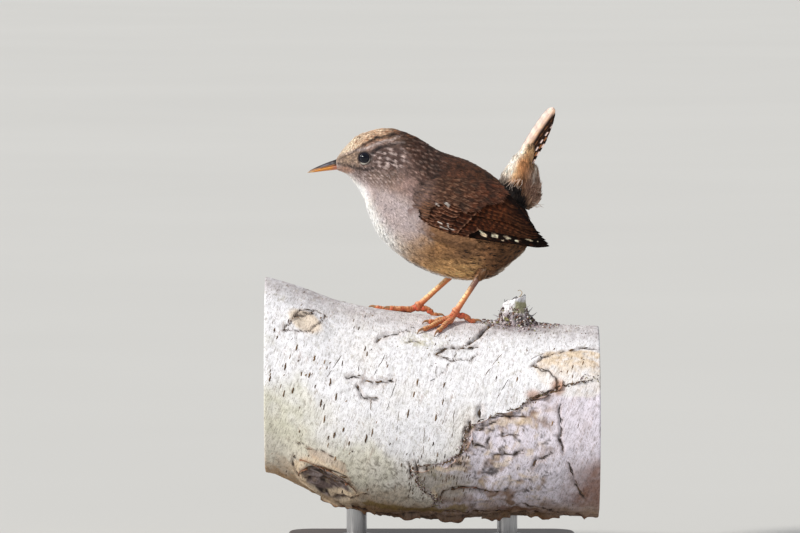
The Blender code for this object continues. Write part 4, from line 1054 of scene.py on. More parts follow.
def featherPaint(kind, order, places, length, points, chances):
    # light colour, dark colour and (bar phase, place across, strength of the bars)
    c = wingColours
    distance, t, s = places.T
    ones = np.ones(len(s))
    light = between(c["rufous"], c["brown"], chances.uniform(0, 0.6) * ones)
    phase = chances.uniform(0, 0.4)
    fringe, centre = 1 - ease(t, -0.92, -0.62), np.exp(-(t / 0.22) ** 2)
    if kind == "primary":
        light = between(c["brown"] * 0.7, c["tip"], ease(s, 0.80, 0.90))
        strength, period = 1.10 + 0.55 * (t + 1) + ease(s, 0.80, 0.90), 4.45
        light, strength = dotted(light, strength, points, edgeMarks, c["cream"] * 1.35, 0.25)
    elif kind in ("secondary", "tertial"):
        rear = ease(s + 0.10 * (order % 3 - 1), 0.34, 0.76)
        shaded = np.clip(ease(t, -0.3, 0.3) * (0.55 + 0.45 * rear) + centre * 0.4, 0, 1)
        light = layered(
            between(light, c["dark"], shaded) * 1.12, (c["dark"], rear * 0.72),
            (c["buff"], fringe * (0.25 + 0.3 * chances.uniform())))
        strength, period = 0.55 * (1 - 0.5 * rear), 1.9
    elif kind in ("greater covert", "primary covert", "alula"):
        light = layered(
            light * 0.88, (c["dark"], np.clip(centre * 0.5 + ease(t, 0.1, 0.8) * 0.5, 0, 1)),
            (c["fringe"], np.maximum(fringe * 0.45, ease(s, 0.90, 0.98) * 0.8)))
        strength, period = 0.45 * (1 - ease(s, 0.88, 0.96)), 1.8
    else:
        light = layered(
            feather["mantle"] * 0.95, (light, 0.4 * ones),
            (c["dark"], np.clip(centre * 0.6 + ease(t, 0.0, 0.6) * 0.9, 0, 1)),
            (c["fringe"] * 1.1, fringe * (0.55 + 0.45 * chances.uniform())))
        strength, period = 0.35 * ones, 1.6
    if kind not in ("primary", "secondary", "tertial"):
        light, strength = dotted(light, strength, points, whiteDots, c["white"], 0.3)
    marks = np.stack([(length - distance) / period + phase, t, strength], -1)
    return light * (1 + 0.18 * chances.uniform(-1, 1)), c["dark"] * ones[:, None], marks


def atlasPlaces(number, columns, places):
    # a feather's own cell on the map; its upper side takes the left half
    s, t = places[:, 2], places[:, 1]
    column, line = number % columns, number // columns
    lower = np.arange(len(places)) >= len(places) // 2
    u = (column + 0.04 + 0.42 * (t + 1) / 2 + 0.5 * lower) / columns
    return np.stack([u, (line + 0.04 + 0.92 * s) / columns], -1)


def featherPiece(name, made, finish, slot, replaces, mirror=False):
    # made: for each feather its points, faces, light, dark, marks and places on the map
    points, faces = joined([(p * (1, -1, 1) if mirror else p, f) for p, f, *_ in made])
    mesh = meshOf(name, points, faces, finish)
    light, dark, marks, places = (np.concatenate([one[k] for one in made]) for k in range(2, 6))
    setColours(mesh, light)
    setColours(mesh, dark, "dark")
    carry(mesh, "marks", "FLOAT_VECTOR", marks)
    setMap(mesh, places)
    return addPiece(name, mesh, slot, replaces)


def makeWings(finish):
    sheet = sheetOf(wingSheetRows, wingClearance)
    chances = np.random.default_rng(41)
    columns = 9
    # shares of a ring round the pad: along its height, and out from the sheet
    shares = np.array([(-1, 0.15), (-0.8, 0.7), (-0.35, 0.95), (0.35, 0.95), (0.8, 0.7), (1, 0.15),
                       (1, 0.0), (0, 0.0), (-1, 0.0)])
    padRings = []
    for (x, z), half in wingPad:
        spots, normals = sheetPlaces(sheet, [(x, z + half * share) for share in shares[:, 0]])
        padRings.append(spots + normals * (0.02 + 1.35 * shares[:, 1:]))
    pad, padFaces = closedLoft(padRings)
    padColour = np.tile(wingColours["brown"] * 0.7, (len(pad), 1))
    padMap = np.full((len(pad), 2), (columns - 0.5) / columns) + (pad[:, [0, 2]] % 3) * 0.01
    made = [(pad, padFaces, padColour, padColour, np.zeros((len(pad), 3)), padMap)]
    for kind, (count, roots, tips, half, lift, shingle, pointed) in wingTiers.items():
        for order in range(count):
            share = order / (count - 1)
            root = alongRows(roots, share * (len(roots) - 1)) + chances.normal(0, 0.12, 2)
            tip = alongRows(tips, share * (len(tips) - 1)) + chances.normal(0, 0.12, 2)
            length = float(np.linalg.norm(tip - root))
            ahead = (tip - root) / length
            aside = np.array([-ahead[1], ahead[0]])

            def place(flat, rise, root=root, ahead=ahead, aside=aside):
                spots, normals = sheetPlaces(sheet, root + flat[:, :1] * ahead + flat[:, 1:] * aside)
                return spots + normals * rise[:, None]

            bend = {"tertial": 1.5, "secondary": 0.7}.get(kind, -0.4)
            stations = fineStations if kind == "primary" and order < 5 else vaneStations
            points, faces, places = vane(place, length, half, bend, lift + 0.05 * order, shingle, 0.55,
                                         pointed, chances, stations)
            light, dark, marks = featherPaint(kind, order, places, length, points, chances)
            made.append((points, faces, light, dark, marks, atlasPlaces(len(made) - 1, columns, places)))
    featherPiece("wing_feathers_left", made, finish, "wing_feather", ("wing_left",))
    featherPiece("wing_feathers_right", made, finish, "wing_feather", ("wing_right",), mirror=True)
    return sheet


# soft feathers over the shoulders and along the front and lower edge of the wings

shoulderOutline = [(-7.0, 36.0), (-7.5, 43.0), (-2.0, 47.6), (4.0, 49.0), (12.0, 48.4), (18.0, 46.6),
                   (22.6, 43.4), (21.0, 40.8), (17.0, 39.8), (13.0, 37.8), (9.5, 38.0), (6.0, 39.8),
                   (1.5, 40.6), (-2.0, 38.5), (-3.0, 35.0)]
wingEdge = [(-6.2, 38.5), (-5.2, 34.6), (-1.8, 31.8), (3.4, 29.5), (8.0, 28.0), (13.0, 27.2)]


def shoulderColour(where, numbers, along):
    f, c = feather, wingColours
    x, z, chance = where[:, 0], where[:, 2], numbers["chance"]
    rufous = between(c["rufous"] * 1.1, c["dark"], ease(grain(where, 1.5, 89), -0.25, 0.35) * 0.8)
    spots = spotted(x, z + x * 0.3, (1.9, 1.5), (0.62, 0.42), 84, 0.9)
    flecks = spotted(x + z * 0.2, z + x * 0.35, (1.7, 1.35), (0.52, 0.34), 91, 0.7)
    colour = layered(
        f["mantle"] * 1.06, (f["back"] * 0.84, ease(x, -1, 12)),
        (f["neckSide"], (1 - ease(x + 1.5 * grain(where, 2.0, 83), -6, 4)) * 0.8),
        (rufous, ease(x + 0.5 * (44 - z) + 2 * grain(where, 2.4, 90), 8, 18) * 0.7),
        (c["fringe"], ease(along, 0.75, 0.95) * ease(x, 2, 8) * (0.1 + 0.4 * chance)),
        (f["bar"], ease(spots, 0.2, 0.7) * 0.5))
    # streaks on the front lobe
    barred = patch(x, z, (-1.6, 37.4), (3.0, 3.4), 0.4)
    lines = ease(np.sin(tau * (z + 0.42 * x + 0.3 * grain(where, 1.2, 92)) / 0.95), -0.3, 0.6)
    colour = layered(
        colour * 0.84, (colour * (0.80, 0.70, 0.64), ease(x, 1, 8)),
        (c["fleck"], ease(flecks, 0.1, 0.6) * 0.6 * (1 - ease(x, 12, 20))),
        (between(c["buff"], c["dark"], lines * 0.85), barred * 0.8))
    root = 0.55 + 0.5 * ease(along, 0.1, 0.8)
    uneven = 1 + 0.46 * (chance - 0.5) + 0.18 * grain(where, 0.6, 85) + 0.55 * grain(where, 1.3, 88)
    colour = colour * (root * uneven)[:, None]
    for start, end, half in whiteDots[:2]:
        colour = between(colour, c["white"], stroke(x, z, start, end, half * 1.3, 0.3))
    return colour


def edgeColour(where, numbers, along):
    x, z, chance = where[:, 0], where[:, 2], numbers["chance"]
    rough = grain(where, 1.8, 86)
    colour = layered(
        feather["neckSide"], (feather["breast"], ease(37.5 - z + rough, -1.5, 2.5)),
        (feather["flank"], ease(x + 2 * rough, -6, 1)),
        (feather["mantle"], ease(along, 0.5, 1.0) * ease(chance, 0.45, 0.8) * 0.6))
    uneven = 1 + 0.30 * (chance - 0.5) + 0.12 * grain(where, 0.6, 87)
    return colour * ((0.75 + 0.3 * along) * uneven)[:, None]


def makeShoulders(sheet, finish):
    chances = np.random.default_rng(46)
    spots = []
    for x in np.arange(-8, 22, 0.78):
        for z in np.arange(34, 50, 0.78):
            spots.append((x + chances.uniform(-0.4, 0.4), z + chances.uniform(-0.4, 0.4)))
    spots = np.array(spots)
    spots = spots[inside(shoulderOutline, *spots.T)]
    lift = 0.2 + 1.95 * ease(spots[:, 0], -7.5, -3.2) * (1 - ease(spots[:, 1], 44.0, 49.0))
    lengths = lineAt([(-8, 2.7), (0, 3.0), (12, 3.8), (22, 4.0)], spots[:, 0])
    ways = np.tile((0.4, -0.13), (len(spots), 1))
    sheetCoat("coat_shoulder", sheet, spots, ways, lift, lengths, 9, finish, shoulderColour, 47)

    # six tufts abreast at each place along the wing's edge
    abreast = 6
    share = np.repeat(np.arange(0, 5, 0.055), abreast)
    count = len(share)
    share = share + chances.uniform(-0.03, 0.03, count)
    spots, after, before = (alongRows(wingEdge, np.clip(share + step, 0, end))
                            for step, end in ((0, 4.95), (0.05, 5 - 1e-3), (-0.05, 4.9)))
    ahead = after - before
    aside = unit(np.stack([-ahead[:, 1], ahead[:, 0]], -1))
    below = np.tile(np.arange(abreast), count // abreast) * 0.55 - 0.4 + chances.uniform(-0.25, 0.25, count)
    spots = spots - aside * below[:, None]
    lift = lineAt([(-0.6, 2.5), (0.2, 2.1), (2.4, 0.0)], below)
    ways = unit(ahead) * 0.4 + aside * lineAt([(0, 0.22), (1.5, 0.16), (5, 0.05)], share)[:, None]
    lengths = chances.uniform(1.9, 2.8, count)
    sheetCoat("coat_wing_edge", sheet, spots, ways, lift, lengths, 6, finish, edgeColour, 48)


def sheetCoat(name, sheet, spots, ways, lift, lengths, pitch, finish, colourOf, seed):
    # tufts on the folded wing's sheet, on both sides of the body
    points, normals = sheetPlaces(sheet, spots)
    ahead, _ = sheetPlaces(sheet, spots + ways)
    lie = unit(ahead - points)
    points = points + normals * lift[:, None]
    places = (spots - (-10, 24)) / (40, 32)
    for word, side in (("left", 1), ("right", -1)):
        mirrored = (1, side, 1)
        roots = (points * mirrored, lie * mirrored, normals * mirrored, places, {})
        layCoat(f"{name}_{word}", roots, "body", lengths, lengths * 0.95, math.radians(pitch), finish,
                "body_plumage", colourOf, seed)


# tail: a closed, roofed and graduated stack of vanes on a feathered base

tail = {"root": (26.0, 0.0, 46.6), "angle": 59.2, "twist": 16.0, "length": 30.2, "bow": 1.3, "perSide": 6,
        "halfWidth": 2.15, "step": 0.33, "blunt": 1.5, "pointed": 2.6, "roof": 36.0, "graduation": 0.31}
# for each side: place of the middle feather off the axis, splay in degrees, drop below the near side
tailSides = {-1: (1.25, -1.1, 0.0), 1: (2.3, -0.2, 0.11)}
# the gap between the base and the rump, painted near black as a painted shadow, in side view
shadowGap = [(22.6, 46.2), (25.6, 46.8), (28.6, 46.8), (30.8, 45.0), (31.8, 42.6), (32.4, 40.2), (32.8, 36.0),
           (20.0, 38.0)]
# pale and dark patches along the rear edge of the base: start, end (x, z), half width
basePale = [((36.8, 54.9), (36.3, 53.0), 0.36), ((36.0, 51.8), (35.6, 49.8), 0.46),
            ((35.0, 48.9), (35.1, 47.2), 0.4)]
baseDark = [((33.6, 54.8), (34.0, 52.4), 0.36), ((35.8, 53.4), (35.2, 52.4), 0.3),
            ((34.7, 50.2), (34.5, 49.4), 0.4)]
# the base's front edge as z, x pairs, and its rows: centre x, z, half depth, half width
baseEdge = [(44, 22.2), (46.6, 22.7), (50, 24.2), (53.4, 26.0), (56.5, 28.6), (59.4, 31.4)]
tailBaseRows = np.array([(28.0, 39.0, 7.0, 6.0), (29.4, 42.8, 7.5, 6.2), (30.2, 47.7, 6.7, 5.4),
                         (30.9, 52.0, 4.7, 4.4), (32.7, 55.9, 3.0, 3.2), (34.3, 59.6, 1.5, 1.8)])
tailColours = {
    "coverts": rgb(255, 238, 222), "cream": rgb(241, 222, 211), "light": rgb(234, 186, 140),
    "rufous": rgb(140, 92, 58), "dark": rgb(38, 24, 18), "edge": rgb(218, 194, 188), "grey": rgb(172, 152, 154),
    "gold": rgb(240, 188, 138), "amber": rgb(222, 152, 100), "mottle": rgb(176, 116, 74),
    "mottleDark": rgb(84, 50, 32), "fluff": rgb(168, 116, 90), "fluffPale": rgb(232, 200, 180),
    "shade": rgb(150, 108, 90), "dusk": rgb(76, 56, 48), "gap": rgb(11, 9, 15),
}


def turnedAbout(vector, axis, degrees):
    a = math.radians(degrees)
    return (vector * math.cos(a) + np.cross(axis, vector) * math.sin(a)
            + axis * np.dot(axis, vector) * (1 - math.cos(a)))


def makeTail(finish):
    a, roof = math.radians(tail["angle"]), math.radians(tail["roof"])
    along = np.array([math.cos(a), 0, math.sin(a)])
    upper = turnedAbout(np.array([-math.sin(a), 0, math.cos(a)]), along, tail["twist"])
    lateral = turnedAbout(np.array([0.0, 1, 0]), along, tail["twist"])
    chances = np.random.default_rng(52)
    made = []
    for side, (apart, splayed, drop) in tailSides.items():
        flatWay = lateral * side * math.cos(roof) - upper * math.sin(roof)
        faceWay = upper * math.cos(roof) + lateral * side * math.sin(roof)
        for order in range(tail["perSide"]):
            root = np.array(tail["root"]) + flatWay * (apart + 0.42 * order)
            root = root - faceWay * (tail["step"] * order + drop)
            length = tail["length"] - tail["graduation"] * order ** 2 - drop * 4
            splay = math.tan(math.radians(splayed + 0.36 * order))

            def place(flat, rise, root=root, flatWay=flatWay, faceWay=faceWay, splay=splay):
                x, y = flat[:, :1], flat[:, 1:] + flat[:, :1] * splay
                bow = tail["bow"] * np.sin(math.pi * x / tail["length"])
                return root + along * x + flatWay * y + faceWay * rise[:, None] + upper * bow

            pointed = tail["blunt"] if order == 0 else tail["pointed"]
            points, faces, places = vane(place, length, tail["halfWidth"], 0.0, 0.0, 0.0, 0.5, pointed, chances)
            light, dark, strength = tailPaint(order, places)
            phase = (length - places[:, 0]) / 3.1 + 0.12 * order
            made.append((points, faces, light, dark, np.stack([phase, places[:, 1], strength], -1),
                         atlasPlaces(len(made), 4, places)))
    featherPiece("tail_feathers", made, finish, "tail_feather", ("tail",))


def tailPaint(order, places):
    # light colour, dark colour and strength of the bars, from the middle feather outwards
    c = tailColours
    s, t = places[:, 2], places[:, 1]
    ones = np.ones(len(s))
    dark = c["dark"] * ones[:, None]
    if order == 0:
        # the middle feather: cream where the lamp falls on its face, a painted highlight over the tail's own
        # rufous; rufous, then dark towards its far edge, partly painted shade
        light = layered(
            c["cream"], (c["light"], ease(t, -0.5, 0.5) * (0.35 + 0.6 * (1 - s))),
            (c["rufous"], ease(t, 0.2, 0.62) * (1 - 0.5 * s)),
            (c["dark"], ease(t, 0.52, 0.76) * (1 - ease(s, 0.9, 0.97))))
        return light, between(c["grey"], dark, ease(t, 0.5, 0.8)), 0.30 * ones
    if order < 3:
        return between(c["rufous"], c["dark"], (0.35 + 0.3 * order) * ones), dark, 0.8 * ones
    light = between(c["rufous"], c["edge"], ease(t, 0.25, 0.7) * (order != 4))
    return light, dark, 1.05 + 0.3 * (1 - ease(t, 0.2, 0.8))


# depth of the coat over the tail's base at its root
tailCoatDepth = 1.1


def tailBasePoint(share, turn, depth):
    share, turn = np.broadcast_arrays(np.asarray(share, float), np.asarray(turn, float))
    last = len(tailBaseRows) - 1.001
    row = share * last
    flat = alongRows(tailBaseRows, row)
    before, after = np.maximum(row - 0.05, 0), np.minimum(row + 0.05, last)
    way = alongRows(tailBaseRows, after) - alongRows(tailBaseRows, before)
    way = unit(way[..., :2])
    forward = np.stack([-way[..., 1], way[..., 0]], -1) * ((flat[..., 2] - depth) * np.cos(turn))[..., None]
    return np.stack([flat[..., 0] + forward[..., 0], (flat[..., 3] - depth) * np.sin(turn),
                     flat[..., 1] + forward[..., 1]], -1)


def tailBaseColour(where, numbers, along):
    # cream and golden coverts, fluffy paler ones behind, a painted shadow near black where the base meets the
    # rump; the near white front is a painted highlight
    c = tailColours
    x, z, chance = where[:, 0], where[:, 2], numbers["chance"]
    rough = grain(where, 2.5, 63)
    behind = x - lineAt(baseEdge, z) + 0.8 * rough
    mottled = between(c["mottle"], c["mottleDark"], ease(grain(where, 0.9, 64), -0.2, 0.4))
    fluff = between(c["fluff"], c["fluffPale"], 0.2 + 0.7 * chance)
    # painted highlight: the front of the base painted near white and lifted by 1.12 where the lamp catches the
    # upper coverts
    colour = layered(
        between(c["coverts"], c["light"] * 1.05, ease(behind, 1.6, 4.6)) * 1.12,
        (c["gold"], patch(x, z, (34.0, 56.6), (1.8, 4.0), 0.6) * 0.9),
        (c["amber"], patch(x, z, (31.9, 51.6), (2.3, 4.0), 0.6) * 0.9),
        (mottled, patch(x, z, (31.0, 46.2), (3.6, 2.4), 0.6) * 0.9),
        (fluff, ease(behind - 0.35 * (53 - z), 6.0, 9.0) * ease(54 - z, 0, 4)),
        (c["shade"], patch(x, z, (33.6, 42.5), (3.2, 4.6), 0.6) * (0.9 - 0.4 * chance)))
    for patches, tone in ((basePale, c["coverts"]), (baseDark, feather["bar"])):
        for start, end, half in patches:
            colour = between(colour, tone, stroke(x, z, start, end, half) * 0.85)
    dusky = (1 - ease(z + 0.9 * (x - 31) + rough, 42.0, 45.0)) * (0.9 - 0.4 * chance)
    dashes = spotted(z, x * 1.2, (3.0, 1.6), (0.6, 0.9), 65)
    # painted shadow: the gap where the base meets the rump, near black
    low = inside(shadowGap, x + 0.25 * rough, z + 0.25 * grain(where, 0.9, 66))
    colour = layered(
        colour, (c["dusk"], dusky), (feather["bar"], dashes * 0.35 * ease(behind, 5, 8)),
        (c["gap"], low * 0.97))
    return colour * ((0.70 + 0.38 * ease(along, 0.1, 0.8)) * (0.86 + 0.28 * chance))[:, None]


def makeTailBase(finish):
    share, turn = np.meshgrid(np.linspace(0, 0.97, 26), np.linspace(0, tau, 32, endpoint=False), indexing="ij")
    mesh, points = loftMesh("tail_skin", tailBasePoint(share, turn, tailCoatDepth * (1 - share * 0.6)), finish)
    allShare, allTurn = np.append(share.ravel(), (0.0, 1.0)), np.append(turn.ravel(), (0, 0))
    even = np.ones(len(points))
    setColours(mesh, tailBaseColour(points, {"chance": 0.5 * even}, 0.2 * even))
    setMap(mesh, cellPlaces(allTurn / tau, allShare))
    addPiece("tail_skin", mesh, "body_plumage", ("tail",))

    chances = np.random.default_rng(53)
    count = 1500
    share = chances.uniform(0.05, 0.86, count) ** 1.1
    turn = chances.uniform(0, tau, count)
    depth = tailCoatDepth * (1 - share * 0.6)
    here = tailBasePoint(share, turn, depth)
    lie = unit(tailBasePoint(share + 0.02, turn, depth) - here)
    aside = unit(tailBasePoint(share, turn + 0.03, depth) - here)
    facing = unit(np.cross(lie, aside))
    facing *= np.sign((facing * (here - tailBasePoint(share, turn + math.pi, depth))).sum(-1, keepdims=True))
    behind = ease(np.cos(turn), 0.2, -0.5)
    lengths = (4.2 + 1.4 * behind) * (1 - 0.25 * share)
    places = cellPlaces(turn / tau, share)
    for name, kind, which, pitch in (("coat_tail_front", "body", behind < 0.5, 6),
                                     ("coat_tail_rear", "loose", behind >= 0.5, 11)):
        roots = (here[which], lie[which], facing[which], places[which], {"turn": turn[which]})
        layCoat(name, roots, kind, lengths[which], lengths[which] * 0.9, math.radians(pitch), finish,
                "tail_feather", tailBaseColour, 54, variety=0.2)
    makeWisps(finish)


def makeWisps(finish):
    # single pale barbs that hang over the gap's painted shadow, and longer ones behind the base
    chances = np.random.default_rng(55)
    count = 9
    share = np.linspace(0, 1, count)[:, None]
    lines = []
    for side in (-1, 1):
        for k in range(26):
            if k < 16:
                root = (29.6 + chances.uniform(-2.2, 1.4), side * 5.7, 47.4 + chances.uniform(-0.6, 0.8))
                way = (chances.uniform(-3.6, 0.2), side * 0.5, chances.uniform(-3.4, -1.8))
                tones = (tailColours["cream"], tailColours["light"], chances.uniform(0, 0.7))
            else:
                root = (34.4 + chances.uniform(-1, 1.0), side * chances.uniform(1.0, 5.0),
                        38.0 + chances.uniform(0, 8.5))
                way = (chances.uniform(2.0, 3.6), side * chances.uniform(-0.5, 1.0), chances.uniform(-2.6, 0.6))
                tones = (feather["ventPale"], tailColours["cream"], chances.uniform(0, 1))
            tip = np.array(root) + way
            line = np.array(root) * (1 - share) + tip * share
            line = line + np.sin(share * math.pi) * chances.normal(0, 0.25, 3)
            lines.append((line, 0.085 * (1 - 0.7 * share[:, 0]), between(*tones)))
    layThreads("tail_wisps", lines, 5, finish, "tail_feather", ())


def vaneFinish(name, roughness, heading, wander, contrast):
    # barred vanes: two painted colours, bars by their phase, streaks along their heading in degrees below level
    parts = newFinish(name, roughness, {"Specular IOR Level": 0.12})
    tree = parts[1]
    marks = node(tree, "ShaderNodeSeparateXYZ", {0: attributeOf(tree, "marks", "Vector")}).outputs
    place = objectPlace(tree)

    def reckon(kind, *values):
        return node(tree, "ShaderNodeMath", dict(enumerate(values)), operation=kind).outputs[0]

    slant = reckon("MULTIPLY_ADD", reckon("ABSOLUTE", marks["Y"]), 0.28, marks["X"])
    wobble = reckon("MULTIPLY_ADD", noise(tree, place, 900), wander, slant)
    wave = reckon("SINE", reckon("MULTIPLY", wobble, tau))
    beyond = reckon("MAXIMUM", reckon("SUBTRACT", marks["Z"], 1.0), 0.0)
    swelled = reckon("MULTIPLY_ADD", beyond, 2.2, wave)
    bar = node(tree, "ShaderNodeMapRange", {"Value": swelled, "From Min": -0.15, "From Max": 0.35},
               interpolation_type="SMOOTHSTEP").outputs["Result"]
    share = reckon("MULTIPLY", bar, reckon("MINIMUM", marks["Z"], 1.0))
    colour = mixed(tree, share, attributeOf(tree, "paint"), attributeOf(tree, "dark"))
    fine = noise(tree, place, 4200)
    streak = noise(tree, slantedPlace(tree, heading, (3.6, 1, 1)), 1900)
    patchy = noise(tree, slantedPlace(tree, heading, (1.8, 1, 1)), 720)
    shade = ramp(tree, fine, [(0.3, (0.72, 0.70, 0.68)), (0.7, (1.16, 1.14, 1.12))])
    lines = ramp(tree, streak, [(0.38, (0.40, 0.37, 0.36)), (0.60, (1.24, 1.22, 1.20))])
    clouds = ramp(tree, patchy, [(0.38, (0.42, 0.38, 0.38)), (0.60, (1.30, 1.28, 1.26))])
    colour = times(tree, colour, shade, lines, share=contrast)
    colour = times(tree, colour, clouds, share=contrast * 0.9)
    comb = reckon("SINE", reckon("MULTIPLY", slant, 62.0))
    return dress(parts, colour, fine, (roughness - 0.12, roughness + 0.1), (comb, 0.25, 0.00003))


# bill, eyes and lids

bill = {"tip": (-42.9, 0.0, 49.9), "depth": 3.1, "width": 3.4, "arch": 0.12, "cut": 0.06, "hook": -0.22,
        "lowerHook": 0.10, "nostril": 0.20, "groove": 0.10, "keel": 0.10}
billColours = {
    "base": rgb(214, 146, 84), "dark": rgb(58, 50, 54), "tip": rgb(112, 84, 66), "shine": rgb(150, 152, 172),
    "nostril": rgb(26, 20, 22), "orange": rgb(248, 168, 76), "deep": rgb(226, 138, 60),
    "skin": rgb(206, 136, 112), "lowerTip": rgb(240, 208, 152),
}


def billFrame():
    back, breast = bodyRows[0, 0:2], bodyRows[0, 2:4]
    face = unit(np.array([back[0] - breast[0], 0, back[1] - breast[1]]))
    base = np.array([(back[0] + breast[0]) / 2 - 0.1, 0, (back[1] + breast[1]) / 2])
    along = np.array(bill["tip"]) - base
    return base, along, unit(np.array([along[2], 0, -along[0]])), face


def billRing(t, side):
    # points round one half of the bill at t from its base, and what their colour goes by
    base, along, up, face = billFrame()
    inner, share = max(1 - t, 0.0), min(max(t, 0), 1)
    width = bill["width"] / 2 * inner ** 0.85 * (1.0 if side > 0 else 0.92) + 0.10
    height = (bill["depth"] / 2 * inner ** 0.8 + 0.12) * (1.0 if side > 0 else 0.86)
    across = unit(face * (1 - min(max(t, 0) * 3, 1)) + up * min(max(t, 0) * 3, 1))
    middle = base + along * t + up * (bill["arch"] * math.sin(math.pi * share))
    hook = bill["hook"] * ease(t, 0.86, 1.0) if side > 0 else bill["lowerHook"] * ease(t, 0.9, 1.0)
    middle = middle + up * hook
    ring, row = [], []
    for a in np.linspace(0, math.pi, 15):
        keel = 1 + bill["keel"] * math.exp(-((a - math.pi / 2) / 0.35) ** 2)
        out = math.cos(a) * width * (1 - 0.10 * math.sin(a))
        rise = math.sin(a) ** 0.9 * height * keel
        pit = sum(bill["nostril"] * math.exp(-((t - 0.17) / 0.07) ** 2 - ((b - 0.62) / 0.16) ** 2)
                  for b in (a, math.pi - a))
        groove = bill["groove"] * math.exp(-((min(a, math.pi - a) - 0.55) / 0.25) ** 2)
        groove = groove * (1 - ease(t, 0.1, 0.5))
        shrink = 1 - (pit + groove) * (side > 0)
        ring.append(middle + across * side * (bill["cut"] + rise * shrink) + np.array([0, out * shrink, 0]))
        row.append((t, math.sin(a), pit))
    for aside in (-0.75, -0.3, 0.3, 0.75):
        ring.append(middle + across * side * bill["cut"] * 0.6 + np.array([0, width * aside, 0]))
        row.append((t, 0.0, 0.0))
    return ring, row


def makeBill(upperFinish, lowerFinish):
    c = billColours
    stations = np.concatenate([[-0.06, -0.02], np.linspace(0.02, 0.9, 26), [0.94, 0.97, 0.99, 1.0]])
    halves = (("upper", 1, upperFinish, "bill_dark"), ("lower", -1, lowerFinish, "bill_pale"))
    for word, side, finish, slot in halves:
        rings, rows = zip(*(billRing(t, side) for t in stations))
        mesh, points = loftMesh(f"bill_{word}_horn", rings, finish)
        t, high, pit = np.array(sum(rows, []) + [(0.0, 0.5, 0.0), (1.0, 0.5, 0.0)]).T
        if side > 0:
            pale = 0.16 + 0.5 * ease(t, 0.45, 0.95)
            # shine is a painted highlight, pale blue-grey along the upper side of the upper mandible; the
            # nostril pit and the root of the bill are painted near black as painted shade
            shine = np.exp(-((high - 0.62) / 0.16) ** 2) * ease(t, 0.1, 0.2) * (1 - ease(t, 0.42, 0.6))
            colour = layered(
                c["base"], (c["dark"], ease(high - pale, -0.08, 0.12)), (c["tip"], ease(t, 0.55, 0.95) * 0.6),
                (c["shine"], shine * 0.6),
                (c["nostril"], np.clip(pit * 4.5 + (1 - ease(t, 0.02, 0.1)) * 0.8, 0, 1)))
        else:
            orange = between(c["orange"], c["deep"], ease(high, 0.3, 0.95))
            colour = layered(
                c["skin"], (orange, ease(t, 0.04, 0.26)), (c["lowerTip"], ease(t, 0.70, 0.95) * 0.85))
        setColours(mesh, colour * (1 + 0.08 * roughly(points, 0.8, 71))[:, None])
        addPiece(f"bill_{word}_horn", mesh, slot, (f"bill_{word}",))


def hornFinish(name, roughness, fineness):
    parts = newFinish(name, roughness, {
        "Coat Weight": 0.1, "Coat Roughness": 0.35, "Specular IOR Level": 0.35,
        "Subsurface Weight": 0.08, "Subsurface Radius": (0.0006, 0.0003, 0.0002)})
    tree = parts[1]
    fine = noise(tree, objectPlace(tree, (0.35, 1, 1)), fineness)
    shade = ramp(tree, fine, [(0.3, (0.86, 0.84, 0.82)), (0.7, (1, 1, 1))])
    colour = times(tree, attributeOf(tree, "paint"), shade)
    return dress(parts, colour, fine, (roughness - 0.08, roughness + 0.12), (fine, 0.25, 0.00005))


def eyeFinishOf():
    parts = newFinish("wet eye", 0.08, {
        "Coat Weight": 0.3, "Coat Roughness": 0.02, "Specular IOR Level": 0.22})
    tree = parts[1]
    fine = noise(tree, objectPlace(tree), 3500)
    shade = ramp(tree, fine, [(0.3, (0.8, 0.8, 0.8)), (0.7, (1, 1, 1))])
    colour = times(tree, attributeOf(tree, "paint"), shade)
    return dress(parts, colour, fine, (0.04, 0.09), (fine, 0.02, 0.00001))


lid = {"radius": 2.10, "height": 0.98, "thick": 0.17, "bead": 0.18, "beads": 24, "droop": 0.10}
# pupil and iris tinted dark blue: a painted reflection of the sky on the eye's own near black
eyeColours = {"pupil": rgb(6, 7, 20), "iris": rgb(18, 20, 38), "rim": rgb(8, 7, 8),
              "lidDark": rgb(58, 46, 44), "lidPale": rgb(186, 180, 172)}


